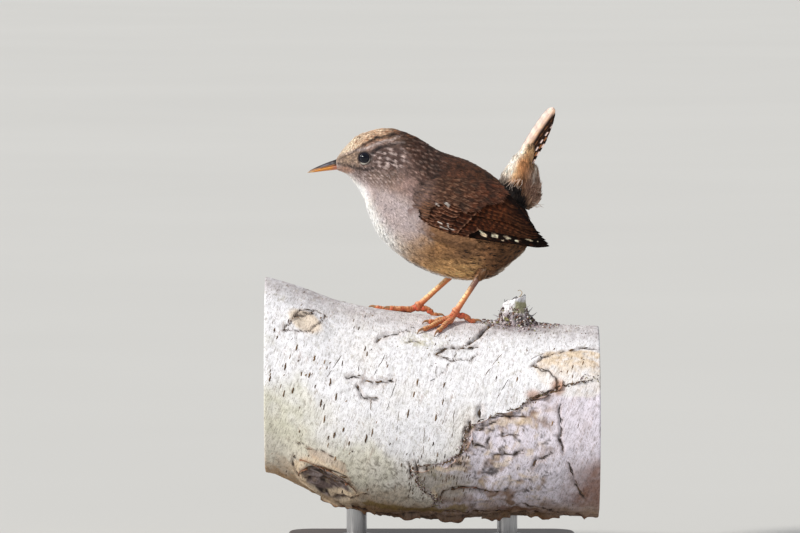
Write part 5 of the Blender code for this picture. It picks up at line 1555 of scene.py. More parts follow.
def makeEyes(eyeFinish, lidFinish):
    c = eyeColours
    for side, word in ((-1, "left"), (1, "right")):
        axis = eyeAxis(side)
        across = unit(np.cross((0, 0, 1), axis))
        high = np.cross(axis, across)
        centre = np.array([eyeCentre[0], side * abs(eyeCentre[1]), eyeCentre[2]])
        t, r = np.meshgrid(np.linspace(0.02, math.pi - 0.02, 40), np.linspace(0, tau, 48, endpoint=False),
                           indexing="ij")
        bulge = eyeRadius * (1 + 0.05 * np.exp(-(t / 0.55) ** 2))
        out = np.cos(r)[..., None] * across + np.sin(r)[..., None] * high
        rings = centre + (np.sin(t) * bulge)[..., None] * out + (np.cos(t) * bulge)[..., None] * axis
        mesh, _ = loftMesh(f"eye_globe_{word}", rings, eyeFinish)
        fromAxis = np.append(t.ravel(), (0.0, math.pi))
        setColours(mesh, layered(c["pupil"], (c["iris"], ease(fromAxis, 0.62, 0.72)),
                                 (c["rim"], ease(fromAxis, 0.92, 1.05))))
        addPiece(f"eye_globe_{word}", mesh, "eye", (f"eye_{word}",))

        turns, section = (np.linspace(0, tau, count, endpoint=False) for count in (72, 12))
        points = []
        for a in turns:
            out = across * math.cos(a) + high * math.sin(a)
            bead = 1 + lid["bead"] * math.sin(a * lid["beads"])
            droop = lid["droop"] * max(math.sin(a), 0)
            points += [centre + axis * (lid["height"] + droop + lid["thick"] * bead * math.sin(b))
                       + out * (lid["radius"] - droop + lid["thick"] * 1.5 * math.cos(b)) for b in section]
        points = np.array(points)
        quads = [[v % len(points) for v in face] for face in gridFaces(len(turns) + 1, len(section))]
        # pale under and behind the eye, dusky over and before it; the crescents are broken
        lower = np.repeat(np.cos(turns + math.radians(72)), len(section))
        broken = np.repeat(0.5 + 0.5 * np.sin(turns * 3 + 0.8), len(section))
        mesh = meshOf(f"eyelids_{word}", points, facingOut(points, quads), lidFinish)
        setColours(mesh, between(c["lidDark"], c["lidPale"], ease(lower, 0.25, 0.9) * (0.3 + 0.7 * broken)))
        addPiece(f"eyelids_{word}", mesh, "body_plumage")


# threads: tapered tubes that a node tree grows along lines, for lenticels, cracks, splinters and wisps

def buildThreadTree():
    tree, given = newTree("grow threads", (
        ("Lines", "Geometry"), ("Sides", "Int"), ("Finish", "Material")), "Threads")
    girth = named(tree, "girth", "FLOAT")
    lines = node(tree, "GeometryNodeMeshToCurve", {"Mesh": given["Lines"]})
    sized = node(tree, "GeometryNodeSetCurveRadius", {"Curve": lines.outputs[0], "Radius": girth})
    section = node(tree, "GeometryNodeCurvePrimitiveCircle", {"Resolution": given["Sides"], "Radius": 1.0})
    tubes = node(tree, "GeometryNodeCurveToMesh", {
        "Curve": sized.outputs[0], "Profile Curve": section.outputs["Curve"], "Fill Caps": True})
    if "Scale" in tubes.inputs:
        tree.links.new(girth, tubes.inputs["Scale"])
    real = node(tree, "GeometryNodeRealizeInstances", {"Geometry": tubes.outputs[0]})
    return giveOut(tree, real.outputs[0], given["Finish"])


def layThreads(name, lines, sides, finish, slot, replaces=()):
    # lines: for each its points in mm, its radii in mm and its colours
    edges, start = [], 0
    for line, _, _ in lines:
        edges += [(start + k, start + k + 1) for k in range(len(line) - 1)]
        start += len(line)
    mesh = bpy.data.meshes.new(name)
    mesh.from_pydata(lifted(np.concatenate([line for line, _, _ in lines])), edges, [])
    girth = np.concatenate([np.broadcast_to(radius, len(line)) for line, radius, _ in lines])
    carry(mesh, "girth", "FLOAT", girth * mm)
    setColours(mesh, np.concatenate([np.broadcast_to(colour, (len(line), 3)) for line, _, colour in lines]))
    made = grown(name, mesh, threadTree, {"Sides": sides, "Finish": finish})
    if "girth" in made.attributes:
        made.attributes.remove(made.attributes["girth"])
    made.shade_smooth()
    return addPiece(name, made, slot, replaces)


# limb: a cut length of birch with scars, knots, lenticels and a broken twig

limb = {"half": 57.5, "height": [-19.6, -30.6, -34.6, -35.3, -36.2], "radius": [33.4, 35.4, 35.0, 33.4, 33.0],
        "stations": 262, "sides": 320, "nearSide": (-168, 24), "nearShare": 0.66, "barkThickness": 1.5}
limbForms = [
    # x, degrees from the top towards the bird's right, height, half length, half width in degrees
    (-43, -45, 0.9, 10, 14), (-43, -45, -1.1, 5, 7), (-37, -143, 1.5, 15, 27), (-36, -143, -3.4, 9, 15),
    (47, -57, 1.3, 17, 19), (36, -118, 1.0, 24, 34), (14, -128, -1.0, 8, 15), (-12, 74, 1.2, 15, 20),
    (-12, 74, -1.4, 6, 9), (34, 112, 1.1, 18, 26)]
limbLines = [
    # places (x, degrees) along a dark line in the bark, half width in mm, depth in mm
    ([(-51.0, -56), (-47.5, -45), (-45.1, -36), (-40.3, -32), (-36.4, -32)], 0.28, 0.35),
    ([(-51.0, -56), (-43.5, -52), (-38.7, -42), (-36.4, -32)], 0.24, 0.3),
    ([(-46.6, -44), (-43.0, -37), (-40.8, -35)], 0.4, 0.4),
    ([(34.1, -53), (38.1, -46), (42.8, -42), (51.5, -36), (57.4, -36)], 0.42, 0.5),
    ([(34.1, -53), (39.7, -56), (42.4, -61), (42.8, -68)], 0.4, 0.45),
    ([(42.8, -68), (37.5, -71), (34.1, -73)], 0.6, 0.4),
    ([(-29.2, -71), (-26.8, -68.5), (-24.5, -67)], 0.42, 0.35),
    ([(-22.9, -70), (-18.0, -69), (-13.8, -67)], 0.62, 0.5),
    ([(-25.4, -73), (-24.7, -77), (-23.7, -80), (-18.6, -78)], 0.46, 0.4),
    ([(-18.9, -43), (-15.0, -37), (-11.4, -34)], 0.55, 0.5),
    ([(-10.8, -33), (-7.9, -30)], 0.26, 0.3),
    ([(-8.7, -41), (-6.0, -39), (-4.2, -40)], 0.32, 0.3),
    ([(21.5, -9), (19.0, -18), (16.7, -28), (12.7, -37)], 0.62, 0.8),
    ([(12.7, -37), (9.0, -43), (4.2, -58), (-1.0, -66)], 0.14, 0.2),
    ([(1.2, -48), (4.5, -43), (8.0, -42), (15.5, -40)], 0.48, 0.35),
    ([(1.2, -48), (8.0, -51), (13.0, -50), (15.5, -45)], 0.24, 0.25),
    ([(2.4, -139), (4.2, -133), (8.4, -131), (16.0, -134), (23.0, -134)], 0.5, 0.7),
    ([(43.9, -76), (43.2, -79), (43.9, -87), (43.7, -98), (44.6, -105)], 0.42, 0.5),
    ([(46.6, -112), (48.5, -123), (52.4, -141)], 0.45, 0.4),
    ([(34.5, -114), (35.7, -109), (37.9, -108)], 0.55, 0.5), ([(37.9, -108), (40.8, -105)], 0.3, 0.3),
    ([(13.6, -98), (14.1, -102), (18.0, -101), (19.5, -97)], 0.42, 0.4), ([(23.8, -96), (29.1, -95)], 0.34, 0.3),
    ([(21.9, -107), (26.7, -107), (31.1, -106)], 0.36, 0.3), ([(22.4, -87), (19.0, -89), (15.6, -93)], 0.4, 0.4),
    ([(31.6, -84), (25.7, -84), (20.4, -85)], 0.36, 0.4), ([(16.2, -80), (15.9, -85)], 0.75, 0.5),
    ([(12.8, -88), (12.6, -93)], 0.75, 0.5), ([(11.3, -91), (10.3, -100), (9.5, -107)], 0.36, 0.4),
    ([(5.9, -114), (8.3, -112), (11.2, -113)], 0.45, 0.4), ([(-8.1, -113), (-7.2, -123)], 0.34, 0.3),
    ([(-5.7, -113), (-4.8, -119)], 0.4, 0.3), ([(-2.3, -114), (-1.6, -119)], 0.36, 0.3),
    ([(30.6, -145), (34.5, -149), (40.3, -154), (47, -164)], 0.5, 0.5),
    ([(4.5, -153), (22.8, -156), (34.9, -162)], 0.45, 0.5),
    ([(-32.3, -158), (-26.6, -161), (-13, -165)], 0.6, 0.6),
    ([(-46.3, -120), (-42.6, -122), (-39.0, -118), (-33.5, -119)], 0.24, 0.2),
    ([(-47.2, -131), (-47.7, -141), (-45.4, -149)], 0.36, 0.3),
    ([(-44.9, -144), (-43.1, -136), (-39.9, -130), (-34.9, -128), (-28.9, -130)], 0.5, 0.4),
    ([(-44.0, -147), (-39.4, -145), (-33.0, -138), (-28.4, -132)], 0.4, 0.3),
    ([(-39.0, -131), (-36.7, -136), (-30.3, -133)], 0.36, 0.3),
    ([(-33.5, -153), (-28.0, -147), (-22, -139)], 0.4, 0.4),
    ([(-36, -176), (-27.7, -170), (-15.0, -166), (4.0, -160), (23.0, -163), (40, -160), (57, -166)], 0.6, 0.8),
    ([(-20, 100), (-12, 92), (2, 96), (14, 90)], 0.35, 0.4),
    ([(20, 60), (28, 52), (40, 50), (52, 56)], 0.4, 0.45), ([(-50, 40), (-44, 46), (-38, 44)], 0.3, 0.35),
    ([(-30, 130), (-10, 138), (20, 132), (50, 142)], 0.6, 0.7),
]
barkStreaks = [
    # places (x, degrees) along a pale or stained streak, half width in mm, colour, strength
    ([(-34.5, -151), (-30.0, -145), (-24.0, -140)], 1.3, "scar", 0.9),
    ([(-46.2, -134), (-46.5, -142), (-44.0, -150)], 0.9, "scar", 0.8),
    ([(-41.0, -122.5), (-36.0, -121), (-31.0, -123.5)], 1.9, "orange", 0.3),
    ([(2.0, -117), (8.0, -115.5), (11.0, -116)], 0.9, "scar", 0.6),
    ([(0.4, -132), (1.6, -140)], 0.7, "scar", 0.6),
    ([(20.0, -88), (27.0, -87.5), (33.0, -86)], 1.2, "scar", 0.55),
    ([(3.0, -140), (13.0, -140)], 2.0, "brown", 0.5),
    ([(-22.0, -150), (-6.0, -153), (10.0, -150)], 2.2, "moss", 0.7),
    ([(24.0, -152), (36.0, -155)], 1.4, "rust", 0.6),
]
# where the outer bark has come away: from this x on, at each turn in degrees
bareEdge = [(-180, -30), (-165, -18), (-148, 0), (-141, 1.6), (-130, -4), (-116, -7), (-112, 4), (-106, 9.6),
            (-91, 12), (-86, 18), (-80, 29), (-73, 34), (-66, 43), (-58, 62), (85, 62), (104, 34), (125, 12),
            (150, -10), (180, -30)]
tornEdge = [(x, turn) for turn, x in bareEdge[2:14]]
knot = {"place": (-36.0, -143.0), "reach": (8.6, 14.5)}
ovalScar = {"place": (49.0, -55.0), "reach": (14.6, 18.5)}
eyeScar = {"place": (-43.4, -44.0), "reach": (7.4, 11.0)}
bark = {
    "white": rgb(247, 247, 249), "cream": rgb(242, 238, 230), "lichen": rgb(214, 212, 184),
    "low": rgb(222, 216, 200), "under": rgb(156, 118, 70), "lilac": rgb(236, 229, 238),
    "brown": rgb(156, 130, 114), "rust": rgb(132, 88, 62), "line": rgb(46, 34, 29), "scar": rgb(236, 214, 182),
    "hollow": rgb(118, 102, 97), "sawn": rgb(205, 176, 136), "inner": rgb(150, 104, 72),
    "orange": rgb(182, 120, 76), "moss": rgb(146, 122, 58), "flake": rgb(186, 172, 170),
    "topShade": rgb(194, 187, 187), "foot": rgb(166, 158, 134), "stain": rgb(196, 162, 120),
    "speckle": rgb(84, 70, 44), "grime": rgb(150, 134, 138), "mossPale": rgb(184, 176, 112),
    "olive": rgb(150, 146, 100), "twigGrime": rgb(140, 124, 128),
}


def limbRow(values, x):
    return alongRows(np.array(values, float)[:, None], (np.asarray(x, float) + 58) / 29)[..., 0]


def limbPoint(x, degrees, lift=0.0):
    x, degrees, lift = np.broadcast_arrays(np.asarray(x, float), np.asarray(degrees, float), lift)
    a = np.radians(degrees)
    reach = limbRow(limb["radius"], x) + lift
    return np.stack([x, reach * np.sin(a), limbRow(limb["height"], x) + reach * np.cos(a)], -1)


# radius at which turns round the limb count as lengths
chartRadius = 34


def chart(x, degrees):
    # places on the bark as mm along it and round it, on a cylinder so that the seam closes
    a = np.radians(degrees)
    return np.stack([np.asarray(x, float), chartRadius * np.sin(a), chartRadius * np.cos(a)], -1)


def awayFrom(line, x, degrees):
    flat = np.stack([x, np.radians(degrees) * chartRadius], -1)
    places = np.array(line, float)
    places[:, 1] = np.radians(places[:, 1]) * chartRadius
    nearest = np.full(x.shape, 99.0)
    for a, b in zip(places[:-1], places[1:]):
        along = b - a
        share = np.clip((flat - a) @ along / along.dot(along), 0, 1)
        nearest = np.minimum(nearest, np.linalg.norm(flat - a - share[..., None] * along, axis=-1))
    return nearest


def within(form, x, degrees):
    # 0 in the middle of an oval form, 1 on its edge
    (middle, turn), (along, wide) = form["place"], form["reach"]
    return np.hypot((x - middle) / along, turnFrom(turn, degrees) / wide)


def bareShare(x, degrees, rough):
    return ease(x - lineAt(bareEdge, turnFrom(0, degrees)) + rough * 2.2, -0.45, 0.45)


def barkRelief(x, degrees):
    # how far the bark stands out over the plain limb
    x, degrees = np.broadcast_arrays(np.asarray(x, float), np.asarray(degrees, float))
    where = chart(x, degrees)
    rough = roughly(where, 5.0, 81)
    wavy = degrees + 2.0 * grain(where, 2.2, 87)
    height = np.zeros(x.shape)
    for place, turn, rise, length, width in limbForms:
        away = ((x - place) / length) ** 2
        height += rise * np.clip(1 - away - (turnFrom(turn, degrees) / width) ** 2, 0, None) ** 1.5
    bare = bareShare(x, degrees, rough)
    low = ease(np.abs(turnFrom(0, degrees)), 125, 165)
    calm = 1 - 0.75 * patch(x, degrees, (-4, 0), (24, 24), 0.3)
    height += calm * (0.22 * roughly(where, 11.0, 83) + 0.05 * grain(where * (1, 0.12, 0.12), 0.9, 85))
    furrows = 1 - np.abs(grain(where * (1, 0.8, 0.8), 3.4, 89)) * 2
    height += bare * (-0.35 + 0.30 * rough + 0.22 * furrows * (1 - ease(x, 38, 50) * 0.7))
    height += low * (0.6 * rough + 0.35 * furrows)
    for line, half, depth in limbLines:
        away = awayFrom(line, x + 0.4 * grain(where, 1.6, 91), wavy)
        height -= depth * (1 - ease(away, half * 0.3, half * 1.6))
        height += depth * 0.15 * np.exp(-((away - half * 2.6) / (half * 1.3)) ** 2)
    inKnot = 1 - ease(within(knot, x, degrees), 0.7, 1.0)
    return height + inKnot * 0.7 * grain(where * (0.35, 1, 1), 1.5, 93)


def barkPaint(x, degrees):
    c = bark
    where = chart(x, degrees)
    turned = turnFrom(0, degrees)
    broad, rough = roughly(where, 16.0, 95), roughly(where, 5.0, 81)
    wavy = degrees + 2.0 * grain(where, 2.2, 87)
    slanted = where - where[..., 2:] * (0.34, 0, 0)
    bent = slanted + 1.3 * np.stack([grain(where, 1.7, seed) for seed in (131, 133, 135)], -1)
    streak = grain(slanted * (1.6, 0.22, 0.22), 0.8, 97)
    ring = grain(slanted * (1.4, 0.10, 0.10), 1.1, 99)
    thin = grain(slanted * (2.2, 0.14, 0.14), 0.7, 98)
    speck, blotch = grain(bent, 0.75, 101), roughly(bent, 3.0, 96)
    sunward = ease(broad + rough * 0.5 + (-x - 10) / 60 + (np.abs(turned) - 95) / 70, 0.0, 1.2)
    # painted shade: the top of the limb painted greyer, so that the side most in the lamp's light reads no
    # brighter than its flanks
    topShade = (1 - ease(np.abs(turned + 3), 16, 36)) * (0.75 + 0.5 * grain(slanted * (1.2, 0.5, 0.5), 1.6, 137))
    # greyer on the lower sides and browner underneath, partly the bark's own colour and partly painted shade on
    # the side turned from the lamp
    colour = layered(
        c["white"], (c["cream"], ease(broad + np.abs(turned + 40) / 140, 0.1, 0.9)),
        (c["lichen"], sunward * 0.75), (c["low"], ease(np.abs(turned + 14 * rough), 98, 148)),
        (c["under"], ease(np.abs(turned + 14 * rough), 130, 162) * 0.9), (c["topShade"], topShade * 0.85))
    colour = layered(
        colour * (1 + 0.09 * streak + 0.05 * ring + 0.07 * blotch)[..., None],
        (c["low"] * 0.8, ease(speck + 0.4 * streak, 0.45, 0.9) * 0.55),
        (c["brown"], ease(thin + 0.5 * blotch, 0.62, 0.95) * 0.5))

    # the inner bark where the outer one has come away, browner on the underside, partly painted shade
    bare = bareShare(x, degrees, rough)
    crumbly = roughly(bent, 1.4, 105) + 0.5 * roughly(bent, 3.4, 106)
    mossyFoot = patch(x + rough * 3, degrees + rough * 6, (0, -129), (13, 15), 0.4)
    rust = patch(x + rough * 5, degrees + rough * 12, (58, -132), (11.5, 20), 0.5)
    lilac = layered(
        c["lilac"], (c["brown"], ease(roughly(bent, 4.0, 103), 0.0, 0.6) * (1 - ease(x, 34, 46) * 0.75)),
        (c["scar"], ease(roughly(bent, 2.4, 141), 0.0, 0.6) * (1 - ease(x, 32, 44)) * 0.65),
        (c["line"], ease(crumbly, 0.15, 0.65) * (1 - ease(x, 36, 48) * 0.85) * 0.85),
        (c["foot"], mossyFoot * 0.7), (c["brown"], ease(thin + 0.3 * rough, 0.45, 0.8) * 0.5),
        (c["rust"], rust * (0.8 + 0.3 * blotch)),
        (c["under"], ease(np.abs(turned + 6 * rough), 138, 160) * 0.8))
    lilac = lilac * (1 + 0.08 * streak + 0.05 * blotch)[..., None]

    # scars and the open knot
    oval = within(ovalScar, x, degrees) + 0.10 * rough + 0.05 * blotch
    high = ease(degrees, -64, -44)
    stained = np.clip(ease(blotch, 0.0, 0.8) * 0.4 + ease(speck, 0.0, 0.5) * 0.5, 0, 1)
    scarTone = layered(
        c["white"], (c["scar"], 0.25 + 0.75 * high),
        (c["white"], ease(roughly(bent, 2.2, 104), -0.2, 0.5) * 0.75),
        (c["stain"], stained * (0.35 + 0.45 * high)))
    scarEye = within(eyeScar, x, degrees) + 0.1 * rough
    hollow = within(knot, x, degrees) + 0.24 * rough + 0.12 * blotch
    hollowTone = layered(
        c["hollow"], (c["line"], ease(grain(where * (0.3, 1, 1), 1.3, 93), -0.2, 0.5)),
        (c["flake"], ease(grain(bent * (0.6, 1, 1), 1.5, 143), 0.1, 0.4) * 0.7),
        (c["scar"] * 0.9, ease(grain(bent * (0.5, 1, 1), 1.1, 145), 0.3, 0.55) * 0.3))
    speckled = patch(x, degrees, (-9, -127), (26, 17), 0.5) * (1 - bare)
    colour = layered(
        colour, (lilac, bare), (c["inner"], np.clip(bare * (1 - bare) * 4, 0, 1) * 0.5),
        (scarTone, (1 - ease(oval, 0.84, 1.0)) * 0.92),
        (c["orange"], patch(x, degrees, (43, -66), (2.2, 4), 0.6) * 0.8),
        (c["orange"], patch(x, degrees, (34.5, -71), (2.4, 3), 0.6) * 0.6),
        (c["scar"], (1 - ease(scarEye, 0.6, 0.9)) * 0.7),
        (c["scar"], np.exp(-((hollow - 1.18) / 0.14) ** 2) * 0.8), (hollowTone, 1 - ease(hollow, 0.84, 1.0)),
        (c["speckle"], ease(grain(bent, 0.95, 147), 0.22, 0.55) * speckled * 0.6))

    for line, half, name, strength in barkStreaks:
        away = awayFrom(line, x + 0.5 * grain(where, 1.6, 91), wavy)
        colour = between(colour, c[name], (1 - ease(away, half * 0.6, half * 1.2)) * strength)
    broken = 0.35 + 0.65 * ease(grain(where, 1.5, 107), -0.35, 0.15)
    for line, half, _ in limbLines:
        away = awayFrom(line, x + 0.55 * grain(where, 1.6, 91), wavy)
        wide = half * (1.0 + 0.7 * grain(where, 1.9, 108))
        rim = np.exp(-((away - half * 1.6) / (half * 1.1)) ** 2) * 0.4 * (1 - broken * 0.4)
        colour = layered(colour, (c["line"] * 0.8, (1 - ease(away, wide * 0.5, wide * 1.3)) * broken),
                         (c["brown"], rim))
    grimy = patch(x + rough * 2, degrees * 0.62 + rough * 3, (31, -2), (11, 11), 0.5)
    mossy = patch(x + rough * 3, degrees + rough * 6, (-3, -38), (7, 6), 0.5)
    return layered(
        colour, (between(c["grime"], c["line"], ease(roughly(where, 1.6, 109), -0.1, 0.5)), grimy * 0.75),
        (c["mossPale"], mossy * 0.35 * ease(speck, -0.2, 0.4)))


def barkFinishOf():
    parts = newFinish("birch bark", 0.72)
    finish, tree, shader = parts
    place = objectPlace(tree)
    grainy = noise(tree, slantedPlace(tree, 19, (1, 4.5, 4.5)), 2300)
    fine, broad, cloudy = (noise(tree, place, size) for size in (3200, 260, 620))
    shade = ramp(tree, grainy, [(0.34, (0.66, 0.64, 0.64)), (0.50, (1.04, 1.04, 1.06))])
    dust = ramp(tree, fine, [(0.31, (0.40, 0.37, 0.36)), (0.42, (1.0, 1.0, 1.0)), (0.6, (1.06, 1.06, 1.07))])
    cloud = ramp(tree, cloudy, [(0.36, (0.88, 0.88, 0.88)), (0.56, (1.04, 1.04, 1.06))])
    colour = times(tree, attributeOf(tree, "paint"), shade)
    colour = times(tree, times(tree, colour, dust, share=0.8), cloud)
    # year rings on the sawn ends, by their distance from the bark
    marks = node(tree, "ShaderNodeSeparateXYZ", {0: attributeOf(tree, "sawn", "Vector")}).outputs
    turns = node(tree, "ShaderNodeMath", {0: marks["X"], 1: tau / 1.7}, operation="MULTIPLY")
    uneven = node(tree, "ShaderNodeMath", {0: broad, 1: 9.0, 2: turns.outputs[0]}, operation="MULTIPLY_ADD")
    rings = node(tree, "ShaderNodeMath", {0: uneven.outputs[0]}, operation="SINE").outputs[0]
    years = ramp(tree, spread(tree, rings, 0.0, 1.0), [(0.0, (0.84, 0.79, 0.73)), (0.5, (1.0, 1.0, 1.0))])
    colour = mixed(tree, marks["Y"], colour, times(tree, colour, years))
    tree.links.new(colour, shader.inputs["Base Color"])
    tree.links.new(spread(tree, broad, 0.6, 0.85), shader.inputs["Roughness"])
    under = bump(tree, shader, grainy, 0.35, 0.00012)
    bump(tree, shader, fine, 0.3, 0.00006, under)
    return finish


def limbTurns():
    # more sides on the near side of the limb
    low, high = limb["nearSide"]
    near = round(limb["sides"] * limb["nearShare"])
    return np.concatenate([np.linspace(low, high, near, endpoint=False),
                           np.linspace(high, low + 360, limb["sides"] - near, endpoint=False)])


def makeLimb(finish):
    half, skinDepth = limb["half"], limb["barkThickness"]
    xs = np.concatenate([[-half, -half + 0.15], np.linspace(-half + 0.5, half - 0.5, limb["stations"]),
                         [half - 0.15, half]])
    x, degrees = np.meshgrid(xs, limbTurns(), indexing="ij")
    worn = 0.35 * (np.abs(x) > half - 0.1) + 0.08 * (np.abs(x) > half - 0.2)
    outside = limbPoint(x, degrees, barkRelief(x, degrees) - worn)
    layers = list(zip(outside, barkPaint(x, degrees), np.zeros(outside.shape)))
    for end in (0, -1):
        # a sawn end, ring by ring from the edge inwards
        edge, middle = layers[end][0], np.array([xs[end], 0, float(limbRow(limb["height"], xs[end]))])
        cap = []
        for inset in (0.5, skinDepth, skinDepth + 0.25, 5, 11, 18, 25, 31):
            reach = np.linalg.norm(edge - middle, axis=1, keepdims=True)
            ring = edge - (edge - middle) / reach * inset
            sunk = 0.25 * (inset == skinDepth + 0.25)
            ring[:, 0] -= np.sign(xs[end]) * (sunk + 0.05 * roughly(ring, 4.0, 111))
            wood = np.full((len(ring), 1), float(inset > skinDepth))
            tone = between(bark["inner"], bark["sawn"], wood[:, 0])
            tone = tone * (1 + 0.08 * roughly(ring, 6.0, 113))[:, None]
            cap.append((ring, tone, np.concatenate([reach - inset, wood, 0 * wood], -1)))
        layers = layers + cap if end else cap[::-1] + layers
    rings, colours, marks = (np.array(part) for part in zip(*layers))
    mesh, _ = loftMesh("limb_bark", rings, finish)
    mesh.set_sharp_from_angle(angle=math.radians(55))
    setColours(mesh, np.concatenate([colours.reshape(-1, 3), [bark["inner"]] * 2]))
    carry(mesh, "sawn", "FLOAT_VECTOR", np.concatenate([marks.reshape(-1, 3), [(0, 1, 0)] * 2]))
    places = np.meshgrid(np.linspace(0, 1, len(rings)), np.linspace(0, 1, limb["sides"]), indexing="ij")
    places = np.concatenate([np.stack(places, -1).reshape(-1, 2), [(0, 0.5), (1, 0.5)]])
    setMap(mesh, 0.01 + 0.98 * places)
    addPiece("limb_bark", mesh, "birch_bark", ("perch_limb",))


# dashes in the bark: x and degrees of the larger ones on the near side
lenticelPlaces = [
    (-46.3, -64), (-40.3, -66), (-50.2, -78), (-41.9, -77), (-34.8, -76), (-50.6, -94), (-47.6, -90),
    (-32.8, -83), (-36.8, -98), (-30.4, -100), (-20.5, -98), (-22.6, -102), (-5.1, -67), (-6.3, -74),
    (-8.3, -85), (1.2, -86), (4.0, -67), (16.3, -83), (12.7, -89), (-33.4, -105), (-55.4, -88),
    (-53.0, -62), (-38.0, -90), (-28.4, -107), (-35.5, -108)]
# thin cracks round the limb, from one end to the other
crackPlaces = [
    ((-20.9, -79), (-21.2, -90)), ((-11.4, -84), (-12.2, -96)), ((-12.0, -66), (-15.6, -85)),
    ((-2.7, -92), (-3.2, -107)), ((7.4, -81), (7.0, -94)), ((11.6, -90), (9.2, -107)),
    ((-16, -52), (-20, -66)), ((26, -62), (22, -74)), ((24, -44), (18, -60)), ((-31, -58), (-36, -74))]


def makeBarkMarks(finish):
    chances = np.random.default_rng(62)
    lines = []

    def dash(start, end, radius, count=6, tone=1.0):
        share = np.linspace(0, 1, count)
        x = start[0] + (end[0] - start[0]) * share + chances.normal(0, 0.06, count)
        degrees = start[1] + (end[1] - start[1]) * share
        swelling = 0.25 + 0.75 * np.sin(math.pi * (0.06 + 0.88 * share)) ** 0.7
        radii = radius * swelling * chances.uniform(0.8, 1.15, count)
        points = limbPoint(x, degrees, barkRelief(x, degrees) - radii * 0.45)
        colour = between(bark["line"], bark["under"], np.full(count, chances.uniform(0, 0.5))) * tone
        lines.append((points, radii, colour))

    for x, degrees in lenticelPlaces:
        reach = chances.uniform(1.3, 2.6)
        dash((x + 0.25, degrees + reach), (x - 0.25, degrees - reach), chances.uniform(0.30, 0.46))
    for start, end in crackPlaces:
        middle = (np.array(start) + end) / 2
        dash(start, middle + (end - middle) * 0.2, chances.uniform(0.08, 0.2), 9, 0.9)
        dash(middle + (end - middle) * chances.uniform(0.3, 0.5), end, chances.uniform(0.08, 0.16), 7, 0.9)
    cracks = [(line, half, True) for line, half, _ in limbLines] + [(tornEdge, 0.34, False)] * 2
    for line, half, isCrack in cracks:
        # a crack, or the torn edge of the outer bark, in broken pieces
        places = np.array(line, float)
        pieces = np.hypot(np.diff(places[:, 0]), np.radians(np.diff(places[:, 1])) * chartRadius)
        travel = np.concatenate([[0], np.cumsum(pieces)])
        begin = 0.0
        while begin < travel[-1] - 0.6:
            stop = min(begin + chances.uniform(0.9, 4.2), travel[-1])
            along = np.arange(begin, stop, 0.3)
            begin = stop + chances.uniform(0.1, 2.2 if isCrack else 0.9)
            if len(along) < 3:
                continue
            x, degrees = (np.interp(along, travel, places[:, k]) for k in (0, 1))
            if np.abs(x).max() > limb["half"] - 1.2:
                continue
            wander = 0.34 if isCrack else 0.75
            shift = chances.normal(0, wander * 0.5)
            spot = np.stack([along + shift * 9, along * 0, along * 0], -1)
            x = x + wander * grain(spot, 0.9, 161) + shift * 0.5
            degrees = degrees + 1.7 * wander * grain(spot, 0.9, 163)
            share = np.linspace(0.04, 0.96, len(along))
            radii = half * 0.62 * np.sin(math.pi * share) ** 0.6 * (0.8 + 0.6 * grain(spot, 0.7, 165))
            points = limbPoint(x, degrees, barkRelief(x, degrees) + radii * 0.1)
            tone = between(bark["line"] * 0.7, bark["under"], np.full(len(along), chances.uniform(0, 0.45)))
            lines.append((points, np.maximum(radii, 0.04), tone))
    for _ in range(70):
        x, degrees = chances.uniform(-9, 13), chances.uniform(-140, -106)
        reach = chances.uniform(0.8, 1.7)
        dash((x + 0.15, degrees + reach), (x - 0.15, degrees - reach), chances.uniform(0.12, 0.26), 5, 1.0)
    total = len(lines) + 260
    while len(lines) < total:
        x, degrees = chances.uniform(-56, 56), chances.uniform(-160, 196)
        turned = turnFrom(0, degrees)
        bare = bareShare(x, turned, 0.0)
        if bare > 0.5 and chances.uniform() < 0.8 or np.hypot((x + 2) / 22, turned / 30) < 1:
            continue
        reach = chances.uniform(0.6, 1.8) * (1.6 if chances.uniform() < 0.12 else 1)
        dash((x + 0.2, degrees + reach), (x - 0.2, degrees - reach), chances.uniform(0.10, 0.30), 5,
             chances.uniform(1.0, 1.9))
    layThreads("bark_lenticels", lines, 6, finish, "birch_bark", ("perch_limb",))


barkCurls = [
    # x, degrees, length along its hinge, width, rise, direction of the hinge in degrees
    (-41, -131, 9, 2.6, 1.5, 8), (-33, -131, 7, 2.4, 1.4, -14), (-28, -137, 6, 2.6, 1.7, -50),
    (-44, -141, 6, 2.4, 1.3, 62), (-33, -157, 11, 3.4, 1.9, 190), (-24, -160, 9, 3.0, 1.6, 176),
    (-10, -164, 12, 3.2, 1.8, 182), (6, -161, 12, 3.6, 2.0, 178), (22, -165, 10, 3.0, 1.6, 186),
    (38, -163, 12, 3.2, 1.8, 178), (50, -160, 9, 3.0, 1.7, 184), (12.5, -98, 6, 1.5, 0.8, 252),
    (17, -86.5, 5, 1.4, 0.8, 205), (26, -81, 7, 1.5, 0.9, 190), (37, -71.5, 6, 1.7, 1.0, 196),
    (43.5, -65, 4, 1.4, 0.8, 250), (6, -112, 5, 1.4, 0.8, 220), (-4, -117, 6, 1.6, 0.9, 185),
    (11, -132, 9, 2.0, 1.1, 4), (36, -45.5, 5, 0.5, 0.3, 32), (-47, -47, 5, 1.0, 0.5, 50),
    (17.5, -22, 6, 0.4, 0.2, 62), (3, -44, 4, 0.4, 0.2, 24), (-14, 100, 8, 2.0, 1.2, 20),
    (26, 96, 8, 2.2, 1.2, 190), (40, 130, 9, 2.8, 1.6, 170), (-30, 150, 10, 2.8, 1.6, 186),
    (5, 160, 12, 3.2, 1.8, 172), (50, 74, 6, 1.6, 0.9, 210),
]


